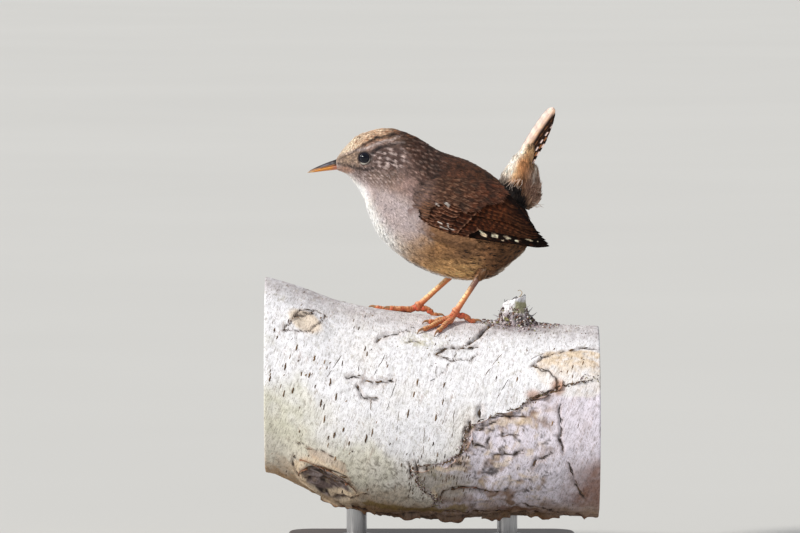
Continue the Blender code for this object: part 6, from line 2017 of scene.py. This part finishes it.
def makeBarkCurls(finish):
    chances = np.random.default_rng(63)
    bodies, colours = [], []
    u, v = np.meshgrid(np.linspace(-1, 1, 17), np.linspace(0, 1, 8), indexing="ij")
    for x, degrees, length, width, rise, hinge in barkCurls:
        seed = chances.uniform(0, 99)
        along = np.array([math.cos(math.radians(hinge)), math.sin(math.radians(hinge))])
        aside = np.array([-along[1], along[0]])
        jag = grain(np.stack([u * 3 + seed, v * 0, v * 0], -1), 0.8, 5)
        reach = width * np.sqrt(np.clip(1 - u ** 2, 0.02, 1)) * (0.8 + 0.35 * jag)
        flat = u[..., None] * along * length / 2 + (v * (1 - 0.3 * v) * reach)[..., None] * aside
        px, pd = x + flat[..., 0], degrees + np.degrees(flat[..., 1] / chartRadius)
        lift = barkRelief(px, pd) + rise * v ** 1.7 * (0.75 + 0.4 * jag)
        outer = limbPoint(px, pd, lift + 0.10 * (v > 0.01))
        inner = limbPoint(px, pd, lift - 0.22)
        outerTone = between(barkPaint(px, pd) * 0.86, bark["inner"], ease(v + 0.3 * jag, 0.55, 1.0) * 0.7)
        innerTone = between(bark["inner"], bark["rust"], ease(v, 0, 1)) * (0.85 + 0.2 * jag)[..., None]
        tone = np.concatenate([outerTone, innerTone[:, ::-1]], axis=1).reshape(-1, 3)
        bodies.append(closedLoft(np.concatenate([outer, inner[:, ::-1]], axis=1)))
        colours.append(np.concatenate([tone, tone[:1], tone[-1:]]))
    points, faces = joined(bodies)
    mesh = meshOf("bark_curls", points, faces, finish)
    setColours(mesh, np.concatenate(colours))
    addPiece("bark_curls", mesh, "birch_bark", ("perch_limb",))


# the broken twig: rows of its middle and its radius
twig = {"rows": [(30.0, -2.0, -5.0, 8.2), (29.0, -2.0, -1.4, 6.2), (28.4, -2.2, 1.0, 4.7),
                 (28.2, -2.4, 3.4, 4.1), (28.3, -2.6, 5.2, 3.9), (28.9, -2.8, 6.6, 3.3)],
        "squeeze": 0.8, "rings": 46, "sides": 64}
splinters = [
    # root, tip, radius at the root
    ((30.6, -3.4, 4.6), (31.4, -3.6, 7.4), 0.8), ((25.4, -2.6, 3.6), (24.9, -2.9, 6.3), 0.6),
    ((32.6, -2.8, 0.6), (34.6, -3.2, 3.4), 0.7), ((33.4, -2.0, -0.4), (36.2, -2.4, 1.7), 0.6),
    ((24.6, -3.4, 0.8), (22.6, -3.9, 2.6), 0.55), ((23.6, -2.6, -0.6), (21.0, -3.0, 0.9), 0.5),
    ((31.6, -4.2, 2.2), (33.6, -4.8, 4.4), 0.5)]
tendril = [(29.6, -3.0, 6.4), (30.6, -3.0, 7.6), (31.0, -3.1, 8.6), (30.3, -3.1, 9.4), (29.5, -3.0, 9.1)]


def makeTwig(finish):
    t, a = np.meshgrid(np.linspace(0, 1, twig["rings"]),
                       np.linspace(0, tau, twig["sides"], endpoint=False), indexing="ij")
    rows = alongRows(twig["rows"], t * (len(twig["rows"]) - 1))
    around = np.stack([np.cos(a) * 3, np.sin(a) * 3, rows[..., 2] * 0.25], -1)
    fluting = 1 + 0.13 * grain(around, 0.9, 121) + 0.09 * grain(around * (2, 2, 5), 0.9, 123)
    fluting += 0.16 * (1 - ease(t, 0.25, 0.6)) * grain(around * (1.6, 1.6, 1.2), 0.6, 124)
    reach = rows[..., 3] * fluting
    jag = (0.7 * grain(around * (1, 1, 0.1), 0.9, 125) + 0.28 * reach * np.cos(a)) * ease(t, 0.66, 1.0)
    points = np.stack([rows[..., 0] + reach * np.cos(a), rows[..., 1] + twig["squeeze"] * reach * np.sin(a),
                       rows[..., 2] + jag], -1)
    points, faces = closedLoft(points)
    points[-1, 2] -= 1.0
    noisy = roughly(points, 2.0, 127)
    olive = ease(points[:, 0] + noisy * 1.4, 27.6, 28.8) * ease(points[:, 2], 0.8, 2.0)
    olive = olive * (1 - ease(points[:, 2] + noisy * 0.8, 5.2, 6.2))
    low = 1 - ease(points[:, 2] + noisy * 1.5, 0.6, 3.4)
    grime = between(bark["twigGrime"], bark["line"], ease(roughly(points, 1.0, 129), -0.1, 0.5))
    colour = layered(bark["white"], (bark["olive"], olive * 0.9), (grime, low * 0.85))
    colour = colour * (1 + 0.12 * grain(points * (1, 1, 0.25), 0.7, 131))[:, None]
    mesh = meshOf("limb_twig", points, facingOut(points, faces), finish)
    setColours(mesh, colour)
    addPiece("limb_twig", mesh, "birch_bark", ("perch_limb",))

    chances = np.random.default_rng(64)
    lines = []
    for root, tip, radius in splinters:
        share = np.linspace(0, 1, 7)[:, None]
        line = np.array(root) * (1 - share) + np.array(tip) * share
        line = line + np.sin(share * math.pi) * chances.normal(0, 0.18, 3)
        line = line + chances.normal(0, 0.03, line.shape)
        tone = between(bark["white"], bark["line"], np.full(7, chances.uniform(0.05, 0.75)))
        lines.append((line, radius * 0.62 * (1 - 0.8 * share[:, 0]), tone))
    share = np.linspace(0, len(tendril) - 1.01, 24)
    lines.append((alongRows(tendril, share), np.interp(share, [0, 4], [0.24, 0.09]),
                  np.tile(bark["scar"], (24, 1))))
    layThreads("twig_splinters", lines, 7, finish, "birch_bark", ("perch_limb",))


crumbTones = np.array([rgb(168, 146, 146), rgb(70, 52, 48), rgb(148, 142, 96), rgb(226, 220, 216),
                       rgb(132, 96, 80), rgb(196, 182, 180), rgb(92, 70, 66)])
# how many lie round the twig and in the hollows, on the twig's foot, and along the torn edge
crumbCounts = {"hollow": 560, "twig": 620, "edge": 520}


def crumbColour(where, numbers, along):
    kind = np.minimum((numbers["chance"] * len(crumbTones)).astype(int), len(crumbTones) - 1)
    return crumbTones[kind] * (0.85 + 0.3 * along)[:, None]


def makeCrumbs(finish):
    # loose crumbs of bark and lichen round the broken twig and in the hollows
    chances = np.random.default_rng(65)
    count = crumbCounts["hollow"]
    away, turn = 2.0 + 10.5 * chances.uniform(0, 1, count) ** 0.8, chances.uniform(0, tau, count)
    x = 30.0 + away * np.cos(turn) * 1.15
    degrees = np.degrees((-2.2 + away * np.sin(turn) * 0.85) / chartRadius)
    far = chances.uniform(0, 1, count) < 0.22
    x = np.where(far, chances.uniform(-12, 55, count), x)
    degrees = np.where(far, chances.normal(-20, 22, count), degrees)
    near = np.hypot(x - 29.4, np.radians(degrees) * chartRadius + 2) / 8.0
    bank = np.clip(1 - near, 0, 1) ** 1.2 * 3.2
    point = limbPoint(x, degrees, barkRelief(x, degrees) + bank)
    facing = unit(point - limbPoint(x, degrees, -10.0))
    lie = unit(np.cross(facing, chances.normal(0, 1, (count, 3))))
    sizes = chances.uniform(0.35, 1.25, count) * np.where(far, 0.6, 1)
    places = np.stack([(x + 60) / 120, (degrees % 360) / 360], -1)
    # more of them on the foot of the twig itself, and along the torn edge of the outer bark
    count, torn = crumbCounts["twig"], crumbCounts["edge"]
    t, a = chances.uniform(0.12, 0.62, count) ** 1.1, chances.uniform(0, tau, count)
    rows = alongRows(twig["rows"], t * (len(twig["rows"]) - 1))
    onTwig = np.stack([rows[:, 0] + rows[:, 3] * np.cos(a),
                       rows[:, 1] + twig["squeeze"] * rows[:, 3] * np.sin(a), rows[:, 2]], -1)
    twigFacing = unit(np.stack([np.cos(a), np.sin(a), np.full(count, 0.6)], -1))
    twigLie = unit(np.cross(twigFacing, chances.normal(0, 1, (count, 3))) + (0, 0, 0.5))
    turns = chances.uniform(tornEdge[0][1], tornEdge[-1][1], torn)
    edgeX = lineAt(bareEdge, turns) + chances.normal(0.5, 0.9, torn)
    edgeX = np.minimum(edgeX, limb["half"] - chances.uniform(0.8, 8, torn))
    onEdge = limbPoint(edgeX, turns, barkRelief(edgeX, turns) - 0.05)
    edgeFacing = unit(onEdge - limbPoint(edgeX, turns, -10.0))
    edgeLie = unit(np.cross(edgeFacing, chances.normal(0, 1, (torn, 3))))
    sizes = np.concatenate([sizes, chances.uniform(0.5, 1.7, count) * (1.1 - 0.6 * t),
                            chances.uniform(0.25, 0.95, torn)])
    point, lie = np.concatenate([point, onTwig, onEdge]), np.concatenate([lie, twigLie, edgeLie])
    facing = np.concatenate([facing, twigFacing, edgeFacing])
    places = np.concatenate([places, np.stack([0.2 + 0.6 * t, a / tau], -1),
                             np.stack([(edgeX + 60) / 120, (turns % 360) / 360], -1)])
    layCoat("bark_crumbs", (point, lie, facing, places, {}), "crumb", sizes, sizes * 0.7, 0.35, finish,
            "birch_bark", crumbColour, 66, ("perch_limb",), follow=0.0)


# legs, feet and claws

legs = {
    # ankle, where the leg leaves the feathers, heel, heading of the front toes and of the hind toe in degrees
    "left": ((8.1, -8.4, 2.2), (15.2, -8.4, 13.0), (19.0, -8.4, 19.0), 220, 14),
    "right": ((-4.8, 7.0, 3.3), (6.6, 8.0, 13.6), (12.0, 8.4, 18.6), 176, 0),
}
toes = {
    # spread in degrees, length, length of the claw
    "inner": (-18, 9.4, 3.7), "middle": (0, 14.0, 4.2), "outer": (17, 10.6, 3.7), "hind": (0, 6.2, 4.0)}
foot = {"toeRadius": 1.02, "arch": 0.6, "hindArch": 1.7, "pads": 3, "ankleRadius": 1.4, "tarsus": 1.04,
        "voxel": 0.115, "sink": 0.08}
legColours = {"orange": rgb(220, 138, 86), "pale": rgb(255, 212, 160), "pink": rgb(214, 98, 70),
              "groove": rgb(146, 82, 50), "dusky": rgb(104, 78, 78), "horn": rgb(176, 134, 98),
              "hornTip": rgb(74, 54, 46)}


def onBark(x, y, height):
    x, y, height = np.broadcast_arrays(np.asarray(x, float), y, height)
    degrees = np.degrees(np.arcsin(np.clip(y / (limbRow(limb["radius"], x) + height), -1, 1)))
    return limbPoint(x, degrees, barkRelief(x, degrees) + height)


def toeBearing(word, toe):
    ankle, _, _, heading, hindHeading = legs[word]
    outward = 1 if ankle[1] < 0 else -1
    bearing = math.radians(hindHeading if toe == "hind" else heading + outward * toes[toe][0])
    return np.array([math.cos(bearing), math.sin(bearing)])


def toeLine(word, toe):
    ankle = np.array(legs[word][0])
    ahead, length = toeBearing(word, toe), toes[toe][1]
    t = np.linspace(0, 1, 31)
    pad = 0.5 + 0.5 * np.cos(tau * foot["pads"] * t)
    radius = foot["toeRadius"] * (1.10 - 0.3 * t) * (0.86 + 0.14 * pad)
    x, y = ankle[0] + ahead[0] * length * t, ankle[1] + ahead[1] * length * t
    rise = foot["hindArch"] if toe == "hind" else foot["arch"]
    arch = rise * np.sin(math.pi * np.minimum(t * 1.1, 1)) ** 2
    raised = ankle[2] - onBark(ankle[0], ankle[1], foot["toeRadius"])[2]
    line = onBark(x, y, radius - foot["sink"] + arch)
    line[:, 2] += raised * np.clip(1 - t / 0.3, 0, None)
    return line, radius


def tubeRings(line, radii, sides, squeeze=1.0, side=(0, 1, 0)):
    ahead = unit(np.gradient(line, axis=0))
    across = unit(np.cross(ahead, np.cross(np.array(side, float), ahead)))
    high = np.cross(ahead, across)
    a = np.linspace(0, tau, sides, endpoint=False)[None, :, None]
    reach = np.asarray(radii)[:, None, None]
    return line[:, None] + reach * (across[:, None] * np.cos(a) * squeeze + high[:, None] * np.sin(a))


def roundedTube(line, radii, sides, squeeze=1.0, side=(0, 1, 0)):
    # a tube with half round ends
    line, radii = np.asarray(line, float), np.asarray(radii, float)
    first, last = unit(line[0] - line[1]), unit(line[-1] - line[-2])
    steps = np.array([0.96, 0.8, 0.5])
    start = line[0] + first * radii[0] * steps[:, None]
    line = np.concatenate([start, line, line[-1] + last * radii[-1] * steps[::-1, None]])
    ends = np.sqrt(1 - steps ** 2)
    radii = np.concatenate([radii[0] * ends, radii, radii[-1] * ends[::-1]])
    return closedLoft(tubeRings(line, radii, sides, squeeze, side))


def legLine(word):
    ankle, leaves, heel = (np.array(place) for place in legs[word][:3])
    t = np.linspace(0, 1, 33)[:, None]
    line = np.concatenate([ankle + (leaves - ankle) * t, leaves + (heel - leaves) * t[1:17]])
    share = np.concatenate([t[:, 0], 1 + t[1:17, 0]])
    thick = np.interp(share, [0, 0.12, 0.5, 0.85, 1.0, 1.3, 1.6], [1.3, 1.0, 0.9, 0.96, 1.0, 1.05, 1.1])
    return line, foot["tarsus"] * thick


def fusedSkin(name, bodies, voxel):
    # several closed bodies melted into one skin
    points, faces = joined(bodies)
    carrier = bpy.data.objects.new(name, meshOf(name, points, faces))
    bpy.context.scene.collection.objects.link(carrier)
    remesh = carrier.modifiers.new("melt", "REMESH")
    remesh.mode = "VOXEL"
    remesh.voxel_size = voxel * mm
    soften = carrier.modifiers.new("soften", "SMOOTH")
    soften.factor, soften.iterations = 0.5, 5
    return evaluated(name, carrier)


def makeLeg(word, finish, clawFinish):
    bodies, lines = [], []
    line, radius = legLine(word)
    lines.append((line, radius, 1.75, np.array([-0.84, 0, 0.55])))
    bodies.append(roundedTube(line, radius, 20, 0.86))
    ankle = np.array(legs[word][0])
    ankleLine = [ankle + (0, 0, 0.25), ankle, ankle - (0, 0, 0.55)]
    bodies.append(roundedTube(ankleLine, [foot["ankleRadius"]] * 3, 20))
    for toe in toes:
        line, radius = toeLine(word, toe)
        lines.append((line, radius, 0.92, np.array([0, 0, 1.0])))
        bodies.append(roundedTube(line, radius, 16))
        for t in (0.34, 0.67, 0.97):
            k = round(t * (len(line) - 1))
            low = line[k] - (0, 0, 0.16)
            ahead = np.append(toeBearing(word, toe), 0) * 0.35
            bodies.append(roundedTube([low - ahead, low, low + ahead], [radius[k] * 0.98] * 3, 14))
    mesh = fusedSkin(f"leg_skin_{word}", bodies, foot["voxel"])
    where, normals = placesOf(mesh), read(mesh.vertex_normals, "vector", 3)
    nearest, which = np.full(len(where), 99.0), np.zeros(len(where), int)
    travel, front, plateOf = np.zeros(len(where)), np.zeros(len(where)), np.ones(len(where))
    for number, (line, radius, plate, face) in enumerate(lines):
        distance = np.concatenate([[0], np.cumsum(np.linalg.norm(np.diff(line, axis=0), axis=1))])
        for k in range(len(line) - 1):
            along = line[k + 1] - line[k]
            share = np.clip((where - line[k]) @ along / along.dot(along), 0, 1)
            away = np.linalg.norm(where - line[k] - share[:, None] * along, axis=1) - radius[k]
            closer = away < nearest
            nearest = np.where(closer, away, nearest)
            which = np.where(closer, number, which)
            travel = np.where(closer, distance[k] + share * (distance[k + 1] - distance[k]), travel)
            front = np.where(closer, normals @ face, front)
            plateOf = np.where(closer, plate, plateOf)
    step = travel / plateOf % 1
    seam = np.exp(-(np.minimum(step, 1 - step) * plateOf / 0.13) ** 2)
    scaled = ease(front, -0.15, 0.35)
    rise = scaled * (0.06 * (1 - step) - 0.075 * seam) + (1 - scaled) * 0.03 * grain(where, 0.45, 141)
    where = where + normals * rise[:, None]
    mesh.vertices.foreach_set("co", ((where + (0, 0, zenith)) * mm).astype(np.float32).ravel())
    mesh.update()
    c = legColours
    onLeg = which == 0
    # painted highlight: the leg paler on its front and the toes paler on top, the sides that face the lamp
    lit = ease(front + 0.35 * onLeg, 0.15, 0.9) * (0.75 + 0.2 * onLeg)
    colour = between(c["orange"], c["pale"], lit)
    colour = colour * np.where(which > 0, 0.84, 1.1)[:, None]
    joint = np.exp(-(np.linalg.norm(where - ankle, axis=1) / 3.2) ** 2)
    knuckles = (which > 0) * np.exp(-(np.abs((travel / 4.6 + 0.5) % 1 - 0.5) * 4.6 / 0.7) ** 2)
    flushed = (which > 0) * ease(grain(where, 1.4, 149), -0.2, 0.5) * 0.55
    # painted shade: the top of each leg under the belly darkened to dusky purple-brown, most of all the near
    # leg; the groove colour marks the seams between scales and is also laid as painted shade on the sides that
    # face away
    height = where[:, 2] + 0.8 * grain(where, 1.6, 143)
    dusky = ease(height, 7.5, 12.5) if word == "left" else ease(height, 13.0, 16.0) * 0.5
    colour = layered(
        colour, (c["pink"], np.clip(joint * 0.75 + knuckles * 0.2 + flushed, 0, 1)),
        (c["groove"], np.clip(seam * scaled * 0.8 + ease(-front, 0.2, 0.8) * 0.35, 0, 1)),
        (c["dusky"], dusky * onLeg * 0.85))
    colour = colour * (1 + 0.08 * grain(where, 0.7, 145) + 0.05 * grain(where, 0.3, 147))[:, None]
    setColours(mesh, colour)
    mesh.shade_smooth()
    mesh.materials.clear()
    mesh.materials.append(finish)
    addPiece(f"leg_skin_{word}", mesh, "leg_scales", (f"leg_{word}", f"foot_{word}"))
    for toe in toes:
        makeClaw(word, toe, *toeLine(word, toe), clawFinish)


def makeClaw(word, toe, line, radius, finish):
    end, length, ahead = line[-1], toes[toe][2], toeBearing(word, toe)
    heading = unit(line[-1] - line[-2])
    start = end + heading * 0.25
    t = np.linspace(0, 1, 20)
    forward = length * 0.74 * np.sin(math.radians(80) * t)
    x, y = start[0] + ahead[0] * forward, start[1] + ahead[1] * forward
    ground = onBark(x, y, 0.0)
    above = (start[2] - onBark(start[0], start[1], 0.0)[2]) * (1 - t) + 0.62 * np.sin(math.pi * t)
    radii = radius[-1] * 0.66 * (1 - t) ** 0.9 + 0.07
    line = ground + np.array([0, 0, 1]) * np.maximum(above, radii * 0.8 * t)[:, None]
    line = np.concatenate([[end - heading * 0.1], line])
    radii = np.concatenate([[radius[-1] * 0.6], radii])
    rings = tubeRings(line, radii, 14, 0.74, side=(-ahead[1], ahead[0], 0))
    mesh, points = loftMesh(f"horn_{word}_{toe}", rings, finish)
    share = np.append(np.repeat(np.append(0, t), 14), (0, 1))
    colour = layered(legColours["horn"], (legColours["hornTip"], ease(share, 0.45, 1.0) * 0.7),
                     (legColours["orange"], (1 - ease(share, 0.0, 0.25)) * 0.6))
    setColours(mesh, colour * (1 + 0.06 * grain(points, 0.5, 149))[:, None])
    addPiece(f"horn_{word}_{toe}", mesh, "claw_horn", (f"claw_{word}_{toe}",))


def makeBoots(finish):
    # short feathers round the top of each leg
    for seed, (word, side) in enumerate((("left", -1), ("right", 1))):
        chances = np.random.default_rng(70 + seed)
        _, leaves, heel = (np.array(place) for place in legs[word][:3])
        count = 120
        share = chances.uniform(0.22, 0.85, count)
        a = chances.uniform(0, tau, count)
        along = unit(heel - leaves)
        across = np.array([0.0, 1, 0])
        high = np.cross(along, across)
        outward = across * np.cos(a)[:, None] * 0.9 + high * np.sin(a)[:, None]
        reach = np.interp(share, [0.2, 0.85], [1.0, 1.9])
        points = leaves + (heel - leaves) * share[:, None] + outward * reach[:, None]
        lie = np.tile(-along, (count, 1))
        turn = side * np.full(count, math.pi * 0.8)
        lengths = np.interp(share, [0.2, 0.85], [1.4, 3.2])
        places = np.stack([0.02 + 0.96 * a / tau, 0.3 + 0.4 * (share + 0.2)], -1)
        layCoat(f"coat_boot_{word}", (points, lie, unit(outward), places, {"turn": turn}), "loose",
                lengths, lengths * 0.8, math.radians(9), finish, "body_plumage", bootColour, 72 + seed)


def bootColour(where, numbers, along):
    tone = between(feather["flankRear"], feather["bar"], ease(grain(where, 1.2, 151), -0.1, 0.5) * 0.5)
    tone = between(tone, feather["ventPale"], ease(numbers["chance"], 0.8, 0.95) * 0.6)
    return tone * (0.7 + 0.4 * along)[:, None]


# stand: a bevelled dark wood base and two brushed rods

stand = {"length": 100.0, "width": 76.0, "thick": 6.0, "corner": 9.0, "bevel": 1.4, "rodRadius": 3.5,
         "rods": {"front": -26.0, "rear": 26.0}, "collar": 5.4, "collarHeight": 1.6}


def woodFinishOf():
    parts = newFinish("dark stained wood", 0.42, {"Coat Weight": 0.2, "Coat Roughness": 0.3})
    tree = parts[1]
    place = objectPlace(tree, (0.10, 1, 1))
    broad, fine = noise(tree, place, 420), noise(tree, place, 3000)
    tone = ramp(tree, broad, [(0.25, (0.022, 0.013, 0.008)), (0.5, (0.055, 0.032, 0.020)),
                              (0.75, (0.10, 0.058, 0.034))])
    pores = ramp(tree, fine, [(0.30, (0.45, 0.42, 0.40)), (0.45, (1, 1, 1))])
    return dress(parts, times(tree, tone, pores), fine, (0.5, 0.34), (fine, 0.2, 0.00008))


def steelFinishOf():
    parts = newFinish("brushed steel", 0.3, {"Metallic": 1.0})
    tree = parts[1]
    fine = noise(tree, objectPlace(tree, (1, 1, 0.05)), 5200)
    colour = ramp(tree, fine, [(0.3, (0.44, 0.44, 0.45)), (0.7, (0.66, 0.66, 0.67))])
    return dress(parts, colour, fine, (0.24, 0.42), (fine, 0.12, 0.00003))


def makeStand(wood, steel):
    corner, rings = stand["corner"], []
    profile = [(0.8, 0.0), (0.25, 0.12), (0.0, 0.5), (0.0, stand["thick"] - stand["bevel"] - 0.5)]
    for k in range(7):
        a = math.radians(15 * k)
        drop = stand["bevel"] * (1 - math.sin(a))
        profile.append((stand["bevel"] * (1 - math.cos(a)), stand["thick"] - drop))
    profile += [(stand["bevel"] + 0.5, stand["thick"]), (stand["bevel"] + 12, stand["thick"])]
    for inset, height in profile:
        ring = []
        for sx, sy, start in ((1, 1, 0), (-1, 1, 90), (-1, -1, 180), (1, -1, 270)):
            cx, cy = sx * (stand["length"] / 2 - corner), sy * (stand["width"] / 2 - corner)
            for step in range(13):
                a = math.radians(start + step * 7.5)
                reach = max(corner - inset, 0.3)
                shift = min(corner - inset - reach, 0)
                ring.append((cx + sx * shift + reach * math.cos(a), cy + sy * shift + reach * math.sin(a),
                             height - zenith))
        rings.append(ring)
    mesh, _ = loftMesh("stand_board", rings, wood)
    mesh.set_sharp_from_angle(angle=math.radians(50))
    addPiece("stand_board", mesh, "stand_wood", ("stand_base",))
    low = stand["thick"] - zenith
    for word, x in stand["rods"].items():
        top = limbRow(limb["height"], x) - limbRow(limb["radius"], x) + 1.4
        r, collar, rim = stand["rodRadius"], stand["collar"], low + stand["collarHeight"]
        profile = [(collar - 0.2, low), (collar, low + 0.2), (collar, rim - 0.35), (collar - 0.35, rim),
                   (r + 0.25, rim), (r, rim + 0.25)]
        profile += [(r, z) for z in np.linspace(rim + 0.6, top - 0.4, 14)] + [(r - 0.3, top)]
        a = np.linspace(0, tau, 56, endpoint=False)
        rings = [np.stack([x + reach * np.cos(a), reach * np.sin(a), np.full(a.shape, z)], -1)
                 for reach, z in profile]
        mesh, _ = loftMesh(f"stand_rod_{word}_turned", rings, steel)
        mesh.set_sharp_from_angle(angle=math.radians(40))
        addPiece(f"stand_rod_{word}_turned", mesh, "stand_steel", (f"stand_rod_{word}",))


# the main run

def main():
    plumageFinish = paintedFinish("soft plumage", 0.82, 0.04, 2900, 0.30, 0.25)
    wingFinish = vaneFinish("barred wing vanes", 0.78, 24, 0.35, 0.85)
    tailFinish = vaneFinish("barred tail vanes", 0.78, -59, 0.3, 0.22)
    makeSkin(plumageFinish)
    makeCoat(plumageFinish)
    makeShoulders(makeWings(wingFinish), plumageFinish)
    makeTail(tailFinish)
    makeTailBase(plumageFinish)
    makeBill(hornFinish("dark horn", 0.34, 3200), hornFinish("orange horn", 0.38, 3200))
    makeEyes(eyeFinishOf(), paintedFinish("lid skin", 0.6, 0.1, 4000, 0.2, 0.3))
    barkFinish = barkFinishOf()
    makeLimb(barkFinish)
    makeBarkMarks(barkFinish)
    makeBarkCurls(barkFinish)
    makeTwig(barkFinish)
    makeCrumbs(barkFinish)
    scaleFinish, clawFinish = hornFinish("orange scales", 0.45, 2400), hornFinish("claw horn", 0.35, 3000)
    for word in legs:
        makeLeg(word, scaleFinish, clawFinish)
    makeBoots(plumageFinish)
    makeStand(woodFinishOf(), steelFinishOf())


coatTree = buildCoatTree()
threadTree = buildThreadTree()
shapesOf = {kind: shapeCollection(kind) for kind in (*tuftShapes, "crumb")}
main()
for kind, shapes in shapesOf.items():
    for shape in list(shapes.objects):
        bpy.data.objects.remove(shape)
    bpy.data.collections.remove(shapes)


# floor, light and camera

def makeFloor():
    finish, tree, shader = newFinish("pale floor", 0.85)
    place = objectPlace(tree)
    shade = ramp(tree, noise(tree, place, 2.0), [(0.3, (0.60, 0.60, 0.59)), (0.7, (0.62, 0.62, 0.61))])
    tree.links.new(shade, shader.inputs["Base Color"])
    reach = 60.0
    mesh = bpy.data.meshes.new("floor")
    corners = [(-reach, -reach, 0), (reach, -reach, 0), (reach, reach, 0), (-reach, reach, 0)]
    mesh.from_pydata(corners, [], [(0, 1, 2, 3)])
    mesh.materials.append(finish)
    floor = bpy.data.objects.new("floor", mesh)
    bpy.context.scene.collection.objects.link(floor)


lamps = {
    # name: direction from the bird, strength, how wide it shines in degrees, colour
    "key": ((-0.70, -0.42, 0.58), 3.2, 9.0, (1.0, 0.965, 0.90)),
    "rim": ((-0.75, 0.45, 0.45), 0.9, 20.0, (1.0, 0.98, 0.95)),
}
studioGlow = 0.40


def makeLights():
    for name, (way, strength, width, colour) in lamps.items():
        light = bpy.data.lights.new(name, "SUN")
        light.energy = strength
        light.angle = math.radians(width)
        light.color = colour
        lamp = bpy.data.objects.new(name, light)
        lamp.rotation_euler = (-Vector(way)).to_track_quat("-Z", "Y").to_euler()
        bpy.context.scene.collection.objects.link(lamp)
    world = bpy.data.worlds.new("studio")
    world.use_nodes = True
    world.node_tree.nodes["Background"].inputs["Color"].default_value = (0.94, 0.965, 1.0, 1)
    world.node_tree.nodes["Background"].inputs["Strength"].default_value = studioGlow
    bpy.context.scene.world = world


cameraSettings = {"lens": 360.0, "distance": 2.76, "elevation": 3.25, "target": (-11.04, 0.0, 17.4)}


def makeCamera():
    camera = bpy.data.cameras.new("camera")
    camera.lens = cameraSettings["lens"]
    camera.sensor_width = 36.0
    camera.clip_end = 100.0
    raised = math.radians(cameraSettings["elevation"])
    x, y, z = cameraSettings["target"]
    target = Vector((x, y, z + zenith)) * mm
    holder = bpy.data.objects.new("camera", camera)
    holder.location = target + Vector((0, -math.cos(raised), math.sin(raised))) * cameraSettings["distance"]
    holder.rotation_euler = (math.pi / 2 - raised, 0, 0)
    bpy.context.scene.collection.objects.link(holder)
    bpy.context.scene.camera = holder


makeFloor()
makeLights()
makeCamera()
bpy.context.scene.view_settings.view_transform = "Standard"
